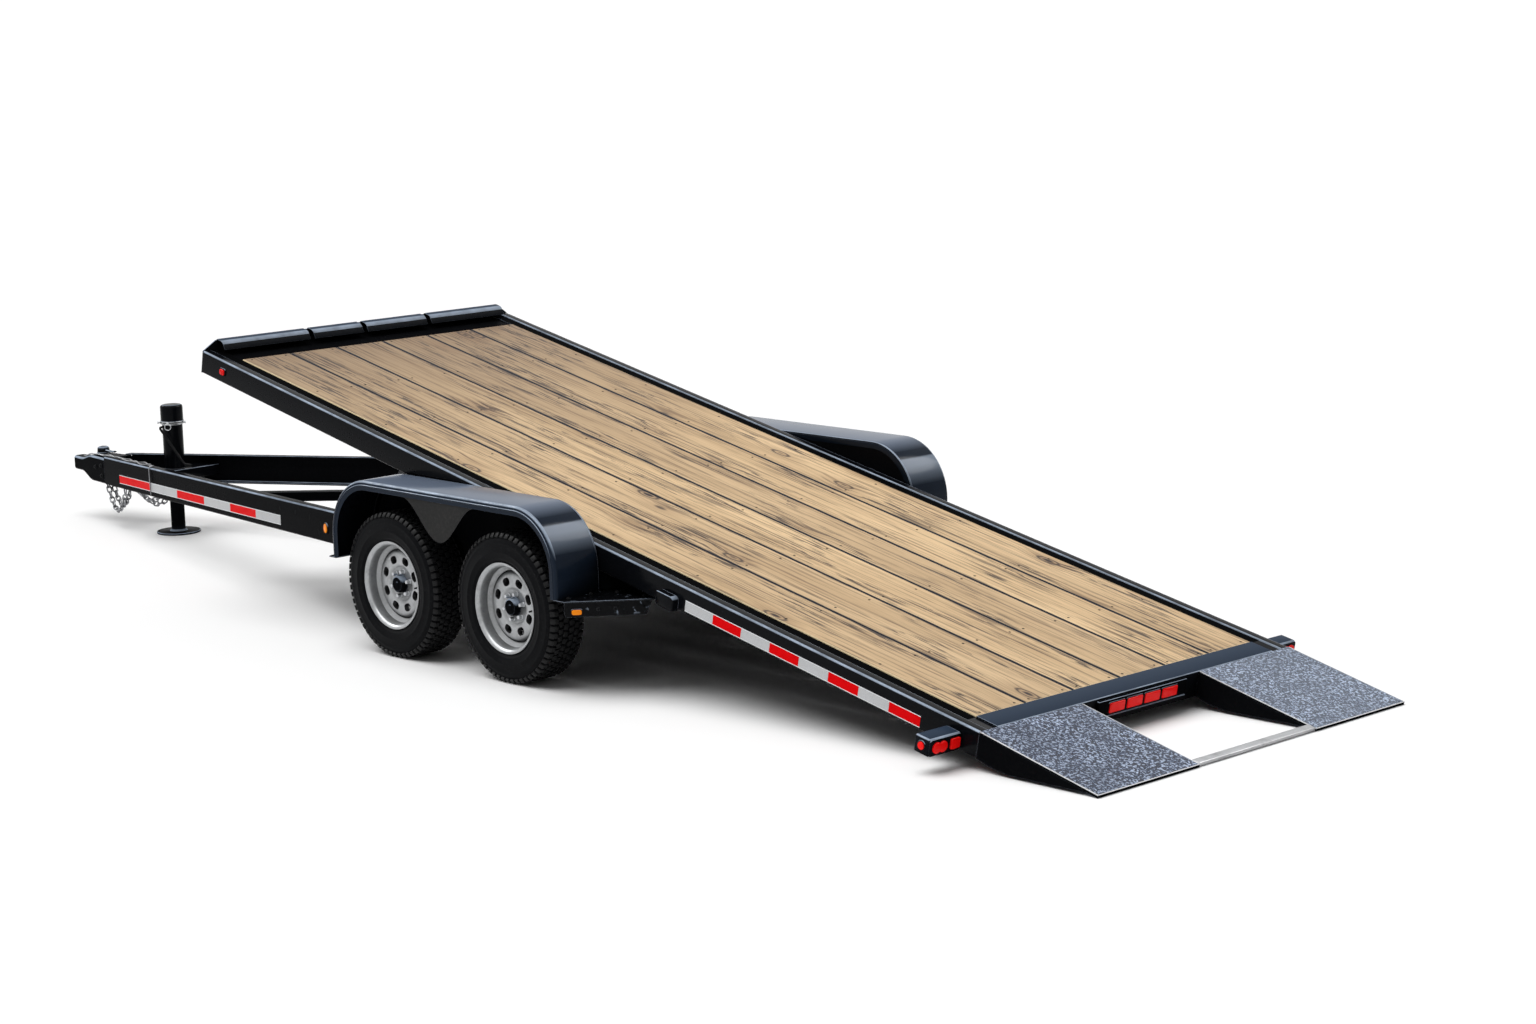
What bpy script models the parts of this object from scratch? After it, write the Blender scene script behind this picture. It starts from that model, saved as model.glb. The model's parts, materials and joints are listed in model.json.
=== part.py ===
"""Car hauler trailer with a full-length wooden tilt deck, tandem axles and a drop-leg jack.

Metres, +Z up. -X is the coupler end, +X the rear, -Y the trailer's left side.
The origin is on the ground, on the centre line, half way along the trailer as it stands.
The deck is modelled level, about its own hinge, and parented to an empty that tilts it
until the tips of its approach plates rest on the ground.
"""

import math

import bmesh
import bpy
from mathutils import Matrix, Vector

# General clearances: gap at a seat, gap at a moving piece, and how far joined pieces overlap
SEAT = 0.0003
RUNNING = 0.006
WELD = 0.004
SIDES = (("left", -1.0), ("right", 1.0))

# Wheels
TYRE_RADIUS = 0.345
TYRE_WIDTH = 0.205
RIM_RADIUS = 0.2085
BEAD_RADIUS = 0.1922
TYRE_FENDER_GAP = 0.020
DRUM_RADIUS = 0.127
HUB_BORE_RADIUS = 0.0180
HUB_BORE_DEPTH = 0.150
WHEEL_SEGMENTS = 24
WINDOW_COUNT = 8
WINDOW_RING_RADIUS = 0.116
WINDOW_HALF_RADIAL = 0.0180
WINDOW_HALF_ACROSS = 0.0225
WINDOW_CORNERS = 8

# Axles and springs
AXLE_SPACING = 0.838
AXLE_TUBE_RADIUS = 0.030
SPINDLE_RADIUS = 0.0174
SPINDLE_END_GAP = 0.005
BACKING_RADIUS = 0.130
BACKING_THICK = 0.004
SPRING_INSET = 0.025
SPRING_WIDTH = 0.045
SPRING_HALF_SPAN = 0.320
SPRING_SAG = 0.080
SPRING_FLAT = 0.045
SPRING_SEAT_HALF = 0.040
SPRING_STEPS = 3
SPRING_PAD = 0.017
LEAF_THICK = 0.007
LEAF_LAP = 0.0002
LEAF_COUNT = 4
LEAF_SHORTENING = 0.077
EYE_RADIUS = 0.014
HANGER_WALL = 0.006
HANGER_LENGTH = 0.060
HANGER_BELOW_EYE = 0.022
EQUALIZER_HALF_WIDTH = 0.018
EQUALIZER_END_HALF = 0.019
EQUALIZER_BELOW_EYE = 0.030

# Chassis frame
RAIL_TOP = 0.580
RAIL_HEIGHT = 0.165
RAIL_FLANGE = 0.050
RAIL_WALL = 0.008
FRAME_DECK_GAP = 0.035
TAIL_LENGTH = 0.500
TAIL_CLEARANCE = 0.008
CROSS_MEMBER_WIDTH = 0.050
CROSS_MEMBER_GAP = 0.084
MIDDLE_MEMBER_HEIGHT = 0.075
FLANGE_STOP_AHEAD = 0.035
PIVOT_BEHIND = 0.126
PIVOT_BELOW_RAIL_TOP = 0.050
PIVOT_PIN_RADIUS = 0.015
PIVOT_PIN_LENGTH = 0.060
PIVOT_HOLE_RADIUS = 0.0160

# Tongue
TONGUE_FRONT_Y = 0.100
TONGUE_LENGTH = 3.650
TONGUE_DROP = 0.186
BRACE_ARM_AHEAD = 1.650
BRACE_APEX_AHEAD = 0.960
BRACE_WIDTH = 0.060
BRACE_HEIGHT = 0.050
COUPLER_LENGTH = 0.450
COUPLER_TOP_DROP = 0.012
COUPLER_NOSE_HEIGHT = 0.080
COUPLER_NOSE_DROP = 0.040
COUPLER_REAR_WIDTH = 0.190
COUPLER_NOSE_RADIUS = 0.045
COUPLER_NOSE_LENGTH = 0.150
COUPLER_CHEEK_LENGTH = 0.090
BALL_SOCKET_RADIUS = 0.0260
BALL_SOCKET_BEHIND = 0.020
BALL_SOCKET_UP = 0.012
LATCH_RADIUS = 0.040
LATCH_HEIGHT = 0.050
LATCH_BEHIND_NOSE = 0.250
LATCH_LEVER_LENGTH = 0.130
LATCH_LEVER_HALF = 0.010
LATCH_LEVER_LOW = 0.020
LATCH_LEVER_HIGH = 0.032
TONGUE_LAMP_AHEAD = 0.230
TONGUE_LAMP_BELOW = 0.092
TONGUE_LAMP_LENGTH = 0.052
TONGUE_LAMP_HEIGHT = 0.050
TONGUE_LAMP_DEPTH = 0.010

# Jack
JACK_BEHIND_NOSE = 1.050
JACK_TUBE_RADIUS = 0.058
JACK_BORE_RADIUS = 0.047
JACK_LEG_RADIUS = 0.040
JACK_TOP = 0.745
JACK_CAP_RADIUS = 0.064
JACK_CAP_HEIGHT = 0.095
JACK_CAP_WALL = 0.035
JACK_TUBE_BOTTOM = 0.215
JACK_FOOT_RADIUS = 0.125
JACK_FOOT_THICK = 0.012
JACK_LEG_TOP = 0.520
JACK_GUIDE_HEIGHT = 0.030
JACK_BEAM_LENGTH = 0.140
JACK_BEAM_HEIGHT = 0.060
JACK_COLLAR_RADIUS = 0.068
JACK_COLLAR_HEIGHT = 0.016
CRANK_RADIUS = 0.007
CRANK_OUT = 0.030
CRANK_ALONG = 0.240
CRANK_DOWN = 0.190
CRANK_GRIP = 0.070

# Safety chains
CHAIN_WIRE_RADIUS = 0.0045
CHAIN_LINK_WIDTH = 0.034
CHAIN_LINK_LENGTH = 0.053
CHAIN_BITE = 0.0010
CHAIN_SPAN = 0.290
CHAIN_DROP = 0.110
CHAIN_HOOK_RADIUS = 0.006
CHAIN_BEND_STEPS = 8
CHAIN_WIRE_SIDES = 5
CHAIN_START = 0.035
CHAIN_INSET = 0.022

# Fenders
FENDER_DECK_GAP = 0.015
FENDER_WIDTH = 0.250
FENDER_TOP = 0.830
FENDER_RADIUS = 0.280
FENDER_END_GAP = 0.066
FENDER_WALL = 0.004
FENDER_LIP = 0.045
FENDER_ARC_STEPS = 7
VALANCE_HALF_TOP = 0.270
VALANCE_BOTTOM = 0.600
VALANCE_STEPS = 10
GUSSET_LENGTH = 0.330
GUSSET_THICK = 0.006
GUSSET_TOP = 0.440
GUSSET_UNDER_FOOT = 0.030
GUSSET_STRAIGHT = 0.080
GUSSET_END_WIDTH = 0.050
GUSSET_SKIRT = 0.070
FRONT_GUSSET_LENGTH = 0.120
FRONT_GUSSET_STRAIGHT = 0.060
GUSSET_LAMP_START = 0.030
GUSSET_LAMP_LENGTH = 0.052
GUSSET_LAMP_HEIGHT = 0.030
GUSSET_LAMP_DROP = 0.030
GUSSET_LAMP_DEPTH = 0.012

# Deck
DECK_HALF_WIDTH = 0.985
DECK_DEPTH = 0.115
DECK_AHEAD = 2.880
DECK_BEHIND = 2.572
DECK_REST_GAP = 0.006
SIDE_FLANGE = 0.050
SIDE_WALL = 0.006
LEDGE_DROP = 0.012
LEDGE_GAP = 0.004
BOARD_DROP = 0.002
LEDGE_WIDTH = 0.062
BOARD_GROOVE = 0.006
BOARD_COUNT = 6
BOARD_THICK = 0.038
GROOVE_DEPTH = 0.014
JOIST_WIDTH = 0.045
JOIST_COUNT = 10
STRINGER_Y = 0.420
STRINGER_WIDTH = 0.050
STRINGER_INSET = 0.002
STRINGER_OVERHANG = 0.010
EAR_THICK = 0.012
EAR_INSET = 0.004
EAR_HALF_WIDTH = 0.050
EAR_RADIUS = 0.034
BULKHEAD_RISE = 0.055
BULKHEAD_WALL = 0.006
BULKHEAD_FLANGE = 0.040
BULKHEAD_SHELF = 0.195
BULKHEAD_TAPER = 0.080
BULKHEAD_SHELF_DROP = 0.012
BULKHEAD_SHELF_THICK = 0.008
NOTCH_WIDTH = 0.028
NOTCH_DEPTH = 0.012
NOTCHES_Y = (-0.360, -0.020, 0.400)
HEADER_LENGTH = 0.120
HEADER_WALL = 0.008

# Approach plates
PLATE_LENGTH = 0.630
PLATE_KNEE_DEG = 2.0
PLATE_INNER_Y = 0.375
PLATE_THICK = 0.008
PLATE_TIP_THICK = 0.014
PLATE_RIB_WALL = 0.008
SKIRT_DEPTH = 0.115
SKIRT_BEND = 0.070
SKIRT_BEND_HEIGHT = 0.030
SKIRT_KNEE = 0.170
SKIRT_GROUND_GAP = 0.012
SKIRT_STOP = 0.060
TIP_BAR_LENGTH = 0.040
TIP_BAR_HEIGHT = 0.017
TIP_BAR_BACK = 0.004
TIP_BAR_LIFT = 0.0008

# Lamps
LIGHT_BAR_LENGTH = 0.560
LIGHT_BAR_HEIGHT = 0.078
LIGHT_BAR_DEPTH = 0.016
LIGHT_BAR_DROP = 0.010
BAR_LAMP_COUNT = 4
BAR_LAMP_PITCH = 0.112
BAR_LAMP_WIDTH = 0.096
BAR_LAMP_HEIGHT = 0.044
BAR_LAMP_DROP = 0.014
BAR_LAMP_DEPTH = 0.008
TAIL_BOX_REACH = 0.180
TAIL_BOX_LENGTH = 0.080
TAIL_BOX_HEIGHT = 0.075
TAIL_BOX_AHEAD = 0.092
TAIL_BOX_DROP = 0.036
SIDE_LAMP_RADIUS = 0.018
SIDE_LAMP_DEPTH = 0.008
TAIL_LAMP_BASE = 0.004
TAIL_LAMP_DEPTH = 0.014
TAIL_LAMP_MARGIN = 0.007
TAIL_LAMP_LENSES = ((0.014, 0.096, 0.048), (0.114, 0.170, 0.046))
MARKER_BEHIND = 0.190
MARKER_WIDTH = 0.048
MARKER_HEIGHT = 0.040
MARKER_DEPTH = 0.012
SIDE_BLOCK_BEHIND = 0.680
SIDE_BLOCK_LENGTH = 0.110
SIDE_BLOCK_HEIGHT = 0.064
SIDE_BLOCK_DROP = 0.056
SIDE_BLOCK_ROUND = 0.022
SIDE_BLOCK_REACH = 0.035

# Tilt cylinder
CYLINDER_RADIUS = 0.030
CYLINDER_NECK_RADIUS = 0.018
CYLINDER_START = 0.050
ROD_RADIUS = 0.014
CYLINDER_EYE_RADIUS = 0.026
CYLINDER_EYE_HALF = 0.014
CYLINDER_PIN_RADIUS = 0.010
CYLINDER_PIN_GAP = 0.0006
CLEVIS_WALL = 0.010
CLEVIS_GAP = 0.006
CLEVIS_REACH = 0.022
BRIDGE_HALF = 0.030
BASE_PIN_BEHIND_APEX = 0.070
BASE_PIN_HEIGHT = 0.440
ROD_PIN_AHEAD = 1.690
ROD_PIN_RISE = 0.000
ROD_SHOWING = 0.200
ROD_BORE_DEPTH = 0.330
ROD_HELD = 0.170

# Places worked out from the sizes above
MID_TO_REAR_AXLE = AXLE_SPACING / 2
FENDER_INNER_Y = DECK_HALF_WIDTH + FENDER_DECK_GAP
FENDER_OUTER_Y = FENDER_INNER_Y + FENDER_WIDTH
FENDER_HALF_LENGTH = MID_TO_REAR_AXLE + TYRE_RADIUS + FENDER_END_GAP
TYRE_INNER_Y = FENDER_INNER_Y + TYRE_FENDER_GAP
FRAME_OUTER_Y = DECK_HALF_WIDTH - SIDE_FLANGE - FRAME_DECK_GAP
SPRING_Y = FRAME_OUTER_Y - SPRING_INSET
TONGUE_REAR_Y = FENDER_INNER_Y
WOOD_HALF_WIDTH = DECK_HALF_WIDTH - SIDE_FLANGE - LEDGE_WIDTH
BOARD_WIDTH = (2 * WOOD_HALF_WIDTH - (BOARD_COUNT - 1) * BOARD_GROOVE) / BOARD_COUNT
PIVOT_Z = RAIL_TOP - PIVOT_BELOW_RAIL_TOP
DECK_TOP = PIVOT_BELOW_RAIL_TOP + DECK_REST_GAP + DECK_DEPTH
DECK_BOTTOM = DECK_TOP - DECK_DEPTH
KNEE = math.radians(PLATE_KNEE_DEG)
TIP_ALONG = DECK_BEHIND + PLATE_LENGTH * math.cos(KNEE)
TIP_TOP = DECK_TOP - PLATE_LENGTH * math.sin(KNEE)
TIP_BOTTOM = TIP_TOP - PLATE_TIP_THICK
TIP_REACH = math.hypot(TIP_ALONG, TIP_BOTTOM)
REST_TILT = math.atan2(TIP_BOTTOM, TIP_ALONG) + math.asin(PIVOT_Z / TIP_REACH)
TIP_BEHIND = PIVOT_BEHIND + TIP_ALONG * math.cos(REST_TILT) + TIP_TOP * math.sin(REST_TILT)

GUSSET_FRONT = FENDER_HALF_LENGTH - GUSSET_UNDER_FOOT + FRONT_GUSSET_LENGTH
CROSS_AHEAD = MID_TO_REAR_AXLE + GUSSET_FRONT + CROSS_MEMBER_GAP
TONGUE_REAR_AHEAD = CROSS_AHEAD + CROSS_MEMBER_WIDTH
TONGUE_FRONT_AHEAD = TONGUE_REAR_AHEAD + TONGUE_LENGTH
NOSE_AHEAD = TONGUE_FRONT_AHEAD + COUPLER_LENGTH
REAR_AXLE_X = (NOSE_AHEAD - TIP_BEHIND) / 2
FRONT_AXLE_X = REAR_AXLE_X - AXLE_SPACING
AXLE_MID_X = REAR_AXLE_X - MID_TO_REAR_AXLE
PIVOT_X = REAR_AXLE_X + PIVOT_BEHIND
CROSS_X = REAR_AXLE_X - CROSS_AHEAD
TONGUE_REAR_X = REAR_AXLE_X - TONGUE_REAR_AHEAD
TONGUE_FRONT_X = TONGUE_REAR_X - TONGUE_LENGTH
NOSE_X = TONGUE_FRONT_X - COUPLER_LENGTH
JACK_X = NOSE_X + JACK_BEHIND_NOSE
BRACE_APEX_X = TONGUE_REAR_X - BRACE_APEX_AHEAD
JOIST_BOTTOM = DECK_BOTTOM + SIDE_WALL + SEAT
WOOD_TOP = DECK_TOP - BOARD_DROP
WOOD_BOTTOM = WOOD_TOP - BOARD_THICK
JOIST_TOP = WOOD_BOTTOM - SEAT
WOOD_START = -DECK_AHEAD + BULKHEAD_SHELF + SEAT
WOOD_END = DECK_BEHIND - HEADER_LENGTH - SEAT
LEDGE_Y = WOOD_HALF_WIDTH + LEDGE_GAP
TONGUE_STRETCH = math.hypot(TONGUE_LENGTH, TONGUE_REAR_Y - TONGUE_FRONT_Y) / TONGUE_LENGTH
FENDER_BOTTOM = GUSSET_TOP - WELD / 2

# Colours: red, green, blue, roughness, metallic
PAINTS = {
    "black_paint": (0.020, 0.022, 0.026, 0.28, 0.0),
    "black_satin": (0.030, 0.031, 0.034, 0.50, 0.0),
    "tyre_rubber": (0.028, 0.028, 0.029, 0.85, 0.0),
    "wheel_silver": (0.640, 0.650, 0.670, 0.32, 0.85),
    "zinc_steel": (0.560, 0.570, 0.590, 0.38, 0.90),
    "bare_steel": (0.430, 0.440, 0.450, 0.42, 0.90),
    "blue_grey_steel": (0.330, 0.370, 0.420, 0.45, 0.40),
    "grit_coat": (0.270, 0.300, 0.340, 0.90, 0.0),
    "pine_wood": (0.620, 0.440, 0.250, 0.65, 0.0),
    "red_lens": (0.700, 0.020, 0.020, 0.12, 0.0),
}


def clear_scene():
    """Remove every object, so that the script can be run again."""
    for old in list(bpy.data.objects):
        bpy.data.objects.remove(old)


def paint(name):
    """Return the material of this name, made on first use from the table of colours."""
    found = bpy.data.materials.get(name)
    if found:
        return found
    red, green, blue, roughness, metallic = PAINTS[name]
    made = bpy.data.materials.new(name)
    made.use_nodes = True
    shader = made.node_tree.nodes["Principled BSDF"]
    shader.inputs["Base Color"].default_value = (red, green, blue, 1.0)
    shader.inputs["Roughness"].default_value = roughness
    shader.inputs["Metallic"].default_value = metallic
    return made


def solid_from(bm, name):
    """Turn a closed bmesh into a linked object with outward faces."""
    bmesh.ops.recalc_face_normals(bm, faces=bm.faces)
    mesh = bpy.data.meshes.new(name)
    bm.to_mesh(mesh)
    bm.free()
    made = bpy.data.objects.new(name, mesh)
    bpy.context.scene.collection.objects.link(made)
    return made


def prism(outline, axis, low, high):
    """Extrude a closed 2-D outline along one axis, from low to high.

    The outline's pairs are (x, z) for axis y, (y, z) for axis x and (x, y) for axis z.
    """
    place = {
        "x": lambda a, b, along: (along, a, b),
        "y": lambda a, b, along: (a, along, b),
        "z": lambda a, b, along: (a, b, along),
    }[axis]
    bm = bmesh.new()
    near = [bm.verts.new(place(a, b, low)) for a, b in outline]
    far = [bm.verts.new(place(a, b, high)) for a, b in outline]
    bm.faces.new(near)
    bm.faces.new(far)
    for index in range(len(outline)):
        after = (index + 1) % len(outline)
        bm.faces.new((near[index], near[after], far[after], far[index]))
    return solid_from(bm, "prism")


def block(low, high):
    """A box between two corners."""
    outline = [(low[0], low[1]), (high[0], low[1]), (high[0], high[1]), (low[0], high[1])]
    return prism(outline, "z", low[2], high[2])


def loft(first, second):
    """A closed solid between two outlines of equal length, given as 3-D points."""
    bm = bmesh.new()
    near = [bm.verts.new(point) for point in first]
    far = [bm.verts.new(point) for point in second]
    bm.faces.new(near)
    bm.faces.new(far)
    for index in range(len(first)):
        after = (index + 1) % len(first)
        bm.faces.new((near[index], near[after], far[after], far[index]))
    return solid_from(bm, "loft")


def rod(start, end, radius, segments=12):
    """A round bar between two points."""
    start = Vector(start)
    span = Vector(end) - start
    bm = bmesh.new()
    bmesh.ops.create_cone(
        bm,
        cap_ends=True,
        segments=segments,
        radius1=radius,
        radius2=radius,
        depth=span.length,
    )
    turn = span.to_track_quat("Z", "Y").to_matrix().to_4x4()
    bmesh.ops.transform(bm, matrix=Matrix.Translation(start + span / 2) @ turn, verts=bm.verts)
    return solid_from(bm, "rod")


def turned(profile, segments, outward):
    """Spin a profile of (outward distance, radius) pairs about the Y axis.

    A profile that starts and ends on the axis makes a solid, any other is closed into a ring.
    """
    bm = bmesh.new()
    on_axis = profile[0][1] == 0.0
    rings = []
    for along, radius in profile:
        if radius == 0.0:
            rings.append([bm.verts.new((0.0, outward * along, 0.0))])
            continue
        ring = []
        for step in range(segments):
            angle = 2 * math.pi * step / segments
            ring.append(bm.verts.new((radius * math.cos(angle), outward * along, radius * math.sin(angle))))
        rings.append(ring)
    pairs = list(zip(rings, rings[1:]))
    if not on_axis:
        pairs.append((rings[-1], rings[0]))
    for first, second in pairs:
        for step in range(segments):
            after = (step + 1) % segments
            corners = [first[step % len(first)], first[after % len(first)]]
            corners += [second[after % len(second)], second[step % len(second)]]
            unique = list(dict.fromkeys(corners))
            bm.faces.new(unique)
    return solid_from(bm, "turned")


def fuse(pieces, cutters=()):
    """Join overlapping solids into one closed body, then take the cutters away from it."""
    base = pieces[0]
    steps = [(piece, "UNION") for piece in pieces[1:]]
    steps += [(cutter, "DIFFERENCE") for cutter in cutters]
    for other, operation in steps:
        change = base.modifiers.new(operation, "BOOLEAN")
        change.operation = operation
        change.solver = "EXACT"
        change.object = other
    evaluated = base.evaluated_get(bpy.context.evaluated_depsgraph_get())
    mesh = bpy.data.meshes.new_from_object(evaluated)
    base.modifiers.clear()
    base.data = mesh
    for other, _ in steps:
        bpy.data.objects.remove(other)
    return base


def finish(made, name, paint_name, parent=None, location=(0.0, 0.0, 0.0), smooth=False):
    """Name a solid, paint it, shade it and hang it on its parent."""
    made.name = name
    made.data.name = name
    made.data.materials.clear()
    made.data.materials.append(paint(paint_name))
    made.parent = parent
    made.location = location
    if smooth:
        made.data.shade_smooth()
        made.data.set_sharp_from_angle(angle=math.radians(35))
    return made


def empty(name, location, tilt=0.0):
    """An empty that carries the pieces of one moving body, with its origin on their joint."""
    made = bpy.data.objects.new(name, None)
    made.location = location
    made.rotation_euler = (0.0, tilt, 0.0)
    bpy.context.scene.collection.objects.link(made)
    return made


def arc(centre_x, centre_z, radius, first_deg, last_deg, steps):
    """Points of an arc in a side view."""
    points = []
    for step in range(steps + 1):
        angle = math.radians(first_deg + (last_deg - first_deg) * step / steps)
        points.append((centre_x + radius * math.cos(angle), centre_z + radius * math.sin(angle)))
    return points


def tongue_share(x):
    """How far along the tongue a place lies: 0 at its rear end, 1 at its front."""
    return (TONGUE_REAR_X - x) / TONGUE_LENGTH


def tongue_y(x):
    """Distance of a tongue rail's outer face from the centre line."""
    return TONGUE_REAR_Y + (TONGUE_FRONT_Y - TONGUE_REAR_Y) * tongue_share(x)


def tongue_inside_y(x):
    """Half of the free width between the webs of the two tongue rails."""
    return tongue_y(x) - RAIL_WALL * TONGUE_STRETCH - SEAT


def tongue_top(x):
    """Height of a tongue rail's top face."""
    return RAIL_TOP - TONGUE_DROP * tongue_share(x)


def make_tongue_rails():
    """Two channels, open inward, that converge on the coupler, each with its side lamp."""
    wall = RAIL_WALL * TONGUE_STRETCH
    flange = RAIL_FLANGE * TONGUE_STRETCH
    lamp_x = TONGUE_REAR_X - TONGUE_LAMP_AHEAD
    lamp_end = lamp_x - TONGUE_LAMP_LENGTH
    lamp_high = tongue_top(lamp_x) - TONGUE_LAMP_BELOW + TONGUE_LAMP_HEIGHT / 2
    corners = (
        (0.0, 0.0),
        (0.0, -RAIL_HEIGHT),
        (flange, -RAIL_HEIGHT),
        (flange, RAIL_WALL - RAIL_HEIGHT),
        (wall, RAIL_WALL - RAIL_HEIGHT),
        (wall, -RAIL_WALL),
        (flange, -RAIL_WALL),
        (flange, 0.0),
    )
    for side_name, side in SIDES:
        ends = []
        for x in (TONGUE_REAR_X - SEAT, TONGUE_FRONT_X):
            ends.append([(x, side * (tongue_y(x) - inset), tongue_top(x) + rise) for inset, rise in corners])
        lamp = [
            (lamp_x, side * (tongue_y(lamp_x) - WELD)),
            (lamp_end, side * (tongue_y(lamp_end) - WELD)),
            (lamp_end, side * (tongue_y(lamp_end) + TONGUE_LAMP_DEPTH)),
            (lamp_x, side * (tongue_y(lamp_x) + TONGUE_LAMP_DEPTH)),
        ]
        boss = prism(lamp, "z", lamp_high - TONGUE_LAMP_HEIGHT, lamp_high)
        finish(fuse([loft(ends[0], ends[1]), boss]), "tongue_rail_" + side_name, "black_paint")


def make_tongue_brace():
    """The V between the tongue rails, with the clevis of the tilt cylinder at its point."""
    x_arm = TONGUE_REAR_X - BRACE_ARM_AHEAD
    reach_front = tongue_inside_y(x_arm)
    x_arm_rear = x_arm + BRACE_WIDTH
    reach_rear = tongue_inside_y(x_arm_rear)
    low = BASE_PIN_HEIGHT - BRACE_HEIGHT / 2
    outline = [
        (x_arm, -reach_front),
        (x_arm_rear, -reach_rear),
        (BRACE_APEX_X + BRACE_WIDTH / 2, -BRACE_WIDTH / 2),
        (BRACE_APEX_X + BRACE_WIDTH / 2, BRACE_WIDTH / 2),
        (x_arm_rear, reach_rear),
        (x_arm, reach_front),
        (BRACE_APEX_X - BRACE_WIDTH / 2, 0.0),
    ]
    pieces = [prism(outline, "z", low, low + BRACE_HEIGHT)]
    pin_x = BRACE_APEX_X + BRACE_WIDTH / 2 + BASE_PIN_BEHIND_APEX
    inner = CYLINDER_EYE_HALF + CLEVIS_GAP
    for side in (-1.0, 1.0):
        near, far = sorted((side * inner, side * (inner + CLEVIS_WALL)))
        start = BRACE_APEX_X + BRACE_WIDTH / 2 - WELD
        pieces.append(block((start, near, low), (pin_x + CLEVIS_REACH, far, low + BRACE_HEIGHT)))
    reach = inner + CLEVIS_WALL / 2
    pieces.append(rod((pin_x, -reach, BASE_PIN_HEIGHT), (pin_x, reach, BASE_PIN_HEIGHT), CYLINDER_PIN_RADIUS))
    finish(fuse(pieces), "tongue_v_brace", "black_paint")
    return pin_x


def tail_top(x):
    """Height of the frame's tail, which falls away under the tilted deck."""
    behind = max(0.0, x - PIVOT_X)
    under_deck = DECK_BOTTOM / math.cos(REST_TILT) - behind * math.tan(REST_TILT)
    return min(RAIL_TOP, PIVOT_Z + under_deck - TAIL_CLEARANCE)


def make_main_frame():
    """Two channels past the axles, their cross members, spring hangers and pivot pins."""
    bottom = RAIL_TOP - RAIL_HEIGHT
    tail_x = PIVOT_X + TAIL_LENGTH
    pieces = []
    side_outline = [
        (CROSS_X - CROSS_MEMBER_WIDTH / 2, bottom),
        (tail_x, bottom),
        (tail_x, tail_top(tail_x)),
        (PIVOT_X, tail_top(PIVOT_X)),
        (PIVOT_X - FLANGE_STOP_AHEAD + WELD, RAIL_TOP),
        (CROSS_X - CROSS_MEMBER_WIDTH / 2, RAIL_TOP),
    ]
    for side in (-1.0, 1.0):
        outer = side * FRAME_OUTER_Y
        web = side * (FRAME_OUTER_Y - RAIL_WALL)
        inner = side * (FRAME_OUTER_Y - RAIL_FLANGE)
        pieces.append(prism(side_outline, "y", *sorted((outer, web))))
        near, far = sorted((outer, inner))
        pieces.append(block((CROSS_X - WELD, near, bottom), (tail_x, far, bottom + RAIL_WALL)))
        top_end = PIVOT_X - FLANGE_STOP_AHEAD
        pieces.append(block((CROSS_X - WELD, near, RAIL_TOP - RAIL_WALL), (top_end, far, RAIL_TOP)))
        pin_end = side * (FRAME_OUTER_Y + PIVOT_PIN_LENGTH)
        pieces.append(rod((PIVOT_X, web, PIVOT_Z), (PIVOT_X, pin_end, PIVOT_Z), PIVOT_PIN_RADIUS, 16))
    half = CROSS_MEMBER_WIDTH / 2
    reach = FRAME_OUTER_Y - WELD
    for x, top in ((AXLE_MID_X, bottom + MIDDLE_MEMBER_HEIGHT), (tail_x - half, tail_top(tail_x))):
        pieces.append(block((x - half, -reach, bottom), (x + half, reach, top)))
    front_low = (TONGUE_REAR_X, -TONGUE_REAR_Y, bottom)
    pieces.append(block(front_low, (TONGUE_REAR_X + CROSS_MEMBER_WIDTH, TONGUE_REAR_Y, RAIL_TOP)))
    for x, _ in hanger_places():
        for side in (-1.0, 1.0):
            for face in (-1.0, 1.0):
                near = side * SPRING_Y + face * (SPRING_WIDTH / 2 + SEAT)
                far = near + face * HANGER_WALL
                low = (x - HANGER_LENGTH / 2, min(near, far), spring_eye_z() - HANGER_BELOW_EYE)
                pieces.append(block(low, (x + HANGER_LENGTH / 2, max(near, far), bottom + WELD)))
    finish(fuse(pieces), "main_frame", "black_paint")


def spring_eye_z():
    """Height of the springs' eyes, above the pack that lies under the axle tube."""
    return TYRE_RADIUS - AXLE_TUBE_RADIUS - SPRING_PAD + SPRING_SAG


def hanger_places():
    """Spring hangers along the frame: ahead, between and behind the two axles."""
    return (
        (FRONT_AXLE_X - SPRING_HALF_SPAN, "front"),
        (AXLE_MID_X, "middle"),
        (REAR_AXLE_X + SPRING_HALF_SPAN, "rear"),
    )


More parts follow.
